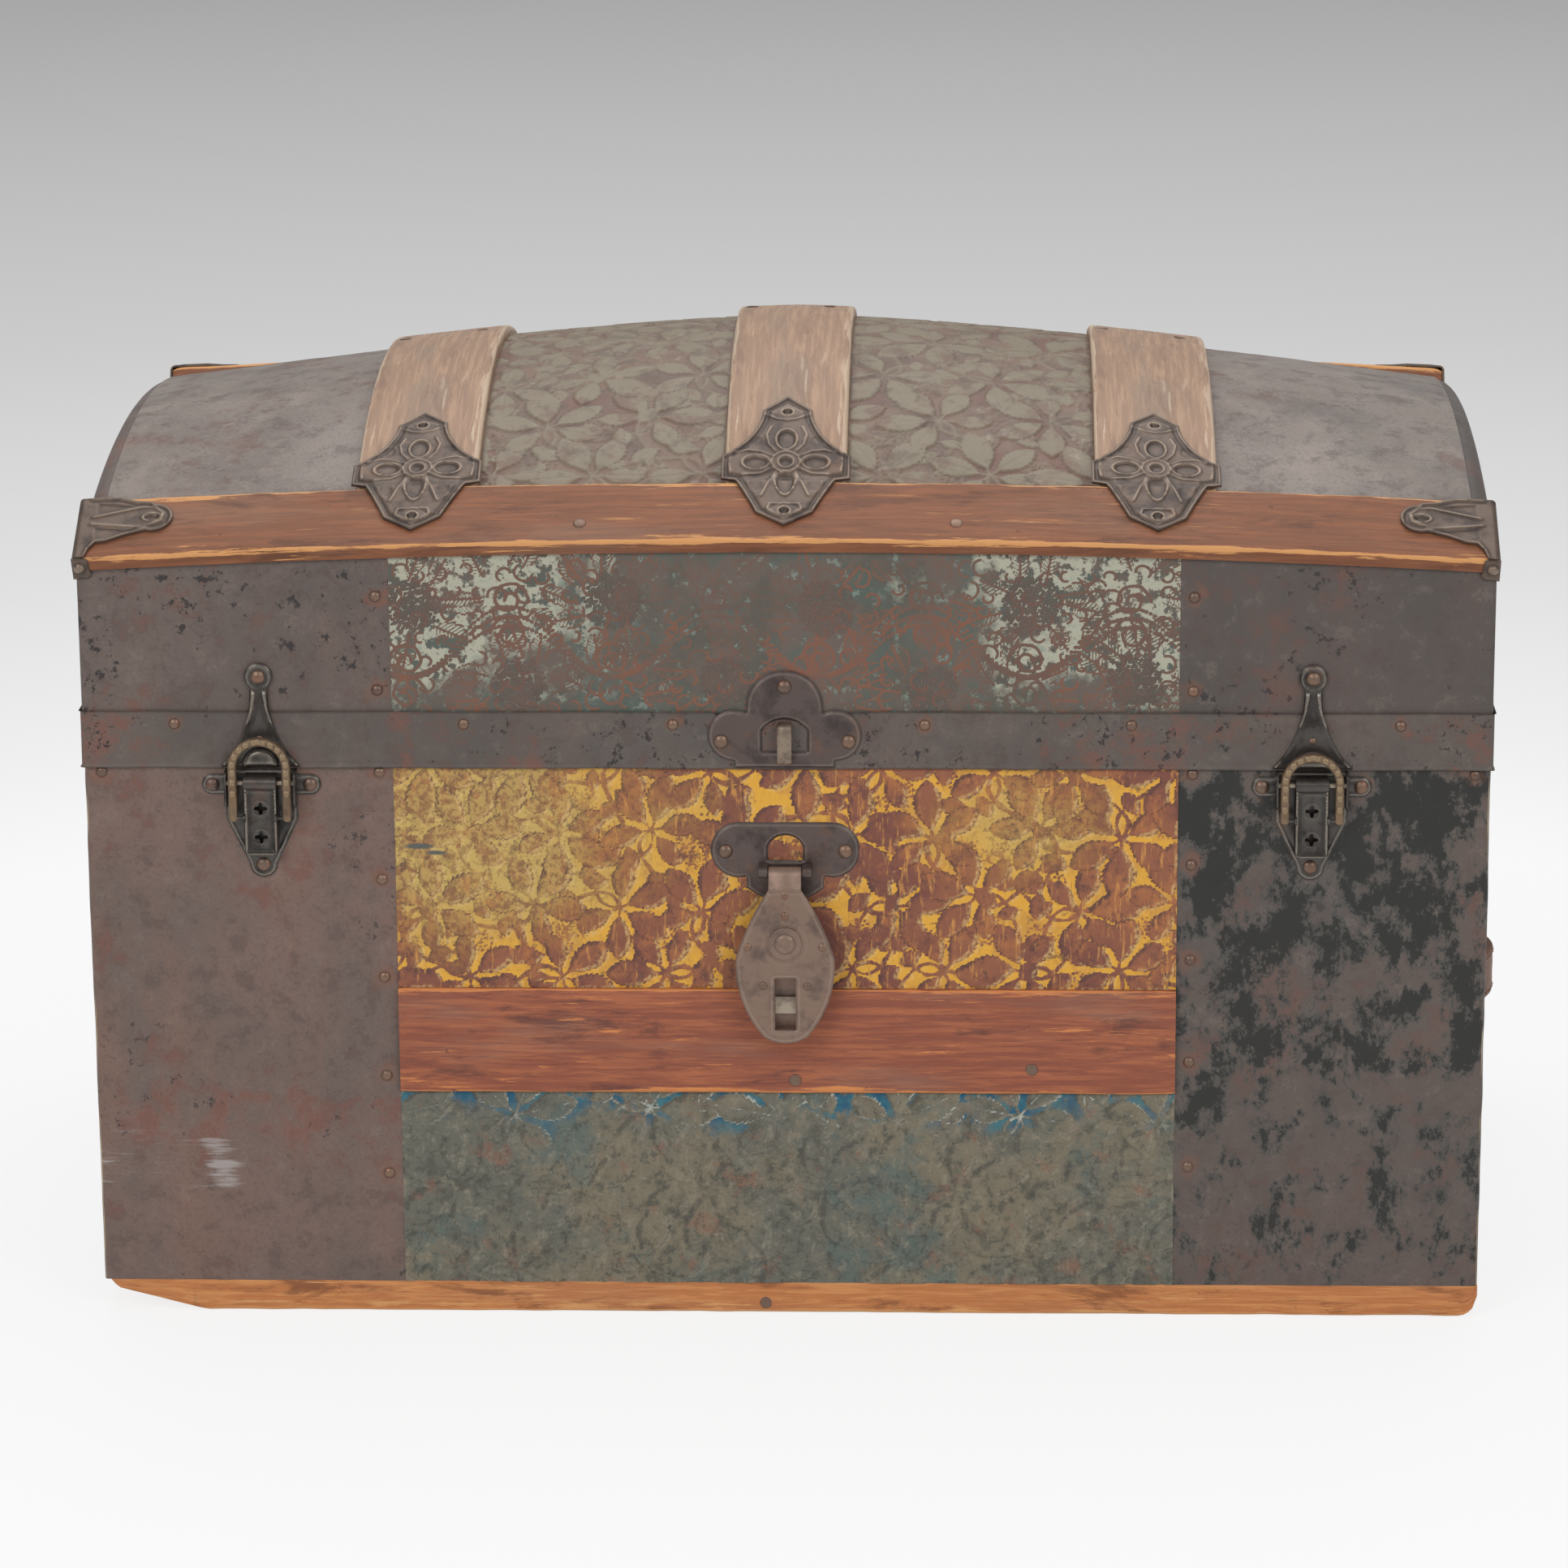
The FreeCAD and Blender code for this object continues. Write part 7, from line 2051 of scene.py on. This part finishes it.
# %% [markdown]
# A leather strap arches out between two pressed caps on each end, so that a hand goes behind it. Its two
# rows of stitches repeat along a path, which is work for a tree: the rows are resampled by a spacing and
# a stitch is set at each step, turned along the row.

# %% Handles
def strap_x(y):
    """How far the strap stands from the middle of the trunk at a place along it."""
    return case_x + 18.6 * (0.5 + 0.5 * np.cos(math.pi * np.clip(np.abs(y) / 58.0, 0, 1))) ** 0.8


def stitch_tree():
    """Sets stitches along lines. Spacing is the step in metres and Stitch is what is set."""
    tree, new, link, start = new_tree("stitches", Stitch="Object", Material="Material", Spacing="Float")
    line, even = new("GeometryNodeMeshToCurve"), new("GeometryNodeResampleCurve")
    even.mode = "LENGTH"
    link(start.outputs["Geometry"], line.inputs["Mesh"])
    link(line.outputs[0], even.inputs["Curve"])
    link(start.outputs["Spacing"], even.inputs["Length"])
    along, align = new("GeometryNodeInputTangent"), new("FunctionNodeAlignRotationToVector")
    align.axis = "X"
    link(along.outputs[0], align.inputs["Vector"])
    info, scatter = new("GeometryNodeObjectInfo"), new("GeometryNodeInstanceOnPoints")
    link(start.outputs["Stitch"], info.inputs["Object"])
    link(even.outputs[0], scatter.inputs["Points"])
    link(info.outputs["Geometry"], scatter.inputs["Instance"])
    link(align.outputs[0], scatter.inputs["Rotation"])
    return close_tree(tree, start, scatter.outputs[0])


def stitch_rows(side, middle, half):
    """Two lines of points just inside the strap's edges."""
    count = 80
    y = np.linspace(-52, 52, count)
    x = side * (strap_x(y) + 6.05)
    rows = [np.stack([x, y, np.full(count, level)], -1) for level in (middle - half, middle + half)]
    mesh = bpy.data.meshes.new("stitch_rows")
    edges = [(row * count + i, row * count + i + 1) for row in range(2) for i in range(count - 1)]
    mesh.from_pydata([tuple(v) for v in np.concatenate(rows) * mm], edges, [])
    return mesh


def make_handles():
    thread = Finish("thread", roughness=0.8)
    twist = thread.noise(900.0, detail=3.0)
    thread.colour = thread.over((150, 124, 92), (104, 82, 60), thread.band(twist, 0.4, 0.6))
    cord = thread.done(0.8, twist, depth=0.1 * mm)
    bead = [(-1.6, 0.15), (-1.3, 0.42), (0.0, 0.55), (1.3, 0.42), (1.6, 0.15)]
    verts, faces, _ = oriented(*lathe(bead, (0, 0, 0), (1, 0, 0), around=6))
    mesh = bpy.data.meshes.new("stitch")
    mesh.from_pydata([tuple(v) for v in verts * mm], [], faces)
    mesh.shade_smooth()
    stitch, tree = bpy.data.objects.new("stitch", mesh), stitch_tree()
    for side, name in ((-1, "left"), (1, "right")):
        low, high = box_mm(name + "_handle")
        middle, width = (low[2] + high[2]) / 2, high[2] - low[2]

        def on_strap(along, across, up, side=side, low=low):
            y = low[1] + along
            return np.stack([side * (strap_x(y) + 0.1 + up), y, low[2] + across], -1)
        add_board(name + "_handle_leather", on_strap, high[1] - low[1], width, 5.9, strap, "case",
                  "strap_leather", name + "_handle", radius=1.9, chips=0.4, seed=170 + side, pitch=2.0,
                  warp=0.3, ends=0.0)
        made_real(name + "_handle_stitches", stitch_rows(side, middle, width / 2 - 3.4), tree,
                  {"Stitch": stitch, "Material": cord, "Spacing": 5.2 * mm}, "case", "strap_leather")


def cap_parts():
    """Pressed caps over the strap's ends, open towards the hand, with a raised rim."""
    low, high = box_mm("handle_caps")
    middle, depth = (low[2] + high[2]) / 2, high[0] - case_x
    half = 22.6
    flat = plan(trace([(56.5, middle - 21.0), (62.0, middle - half), (84.0, middle - half),
                       ((88.2, middle - 20.9), (89.8, middle - 16.6)), (89.8, middle + 16.6),
                       ((88.2, middle + 20.9), (84.0, middle + half)), (62.0, middle + half),
                       (56.5, middle + 21.0)]))

    def relief(u, v, rim):
        shut, away = soft_step(u, 56.0, 58.5), np.abs(v - middle)
        height = (depth - 0.5) * (soft_step(rim, 0.0, 3.2) * shut + 0.86 * (1 - shut)) + 0.3
        height *= np.where(away > 16.5, soft_step(half - away, 0.0, 4.2), 1.0)
        return np.minimum(height + 0.12 * lumps(u, v, 16.0, 9), depth)

    parts = []
    for side in (-1, 1):
        for end in (-1, 1):
            def on_end(u, v, w, side=side, end=end):
                return np.stack([side * (case_x + w), end * u, v], -1)
            parts.append(stamp(flat, relief, on_end))
    return parts


make_handles()
add_steel("handle_caps_steel", cap_parts(), clamp_steel, "case", "stamped_steel", "handle_caps")
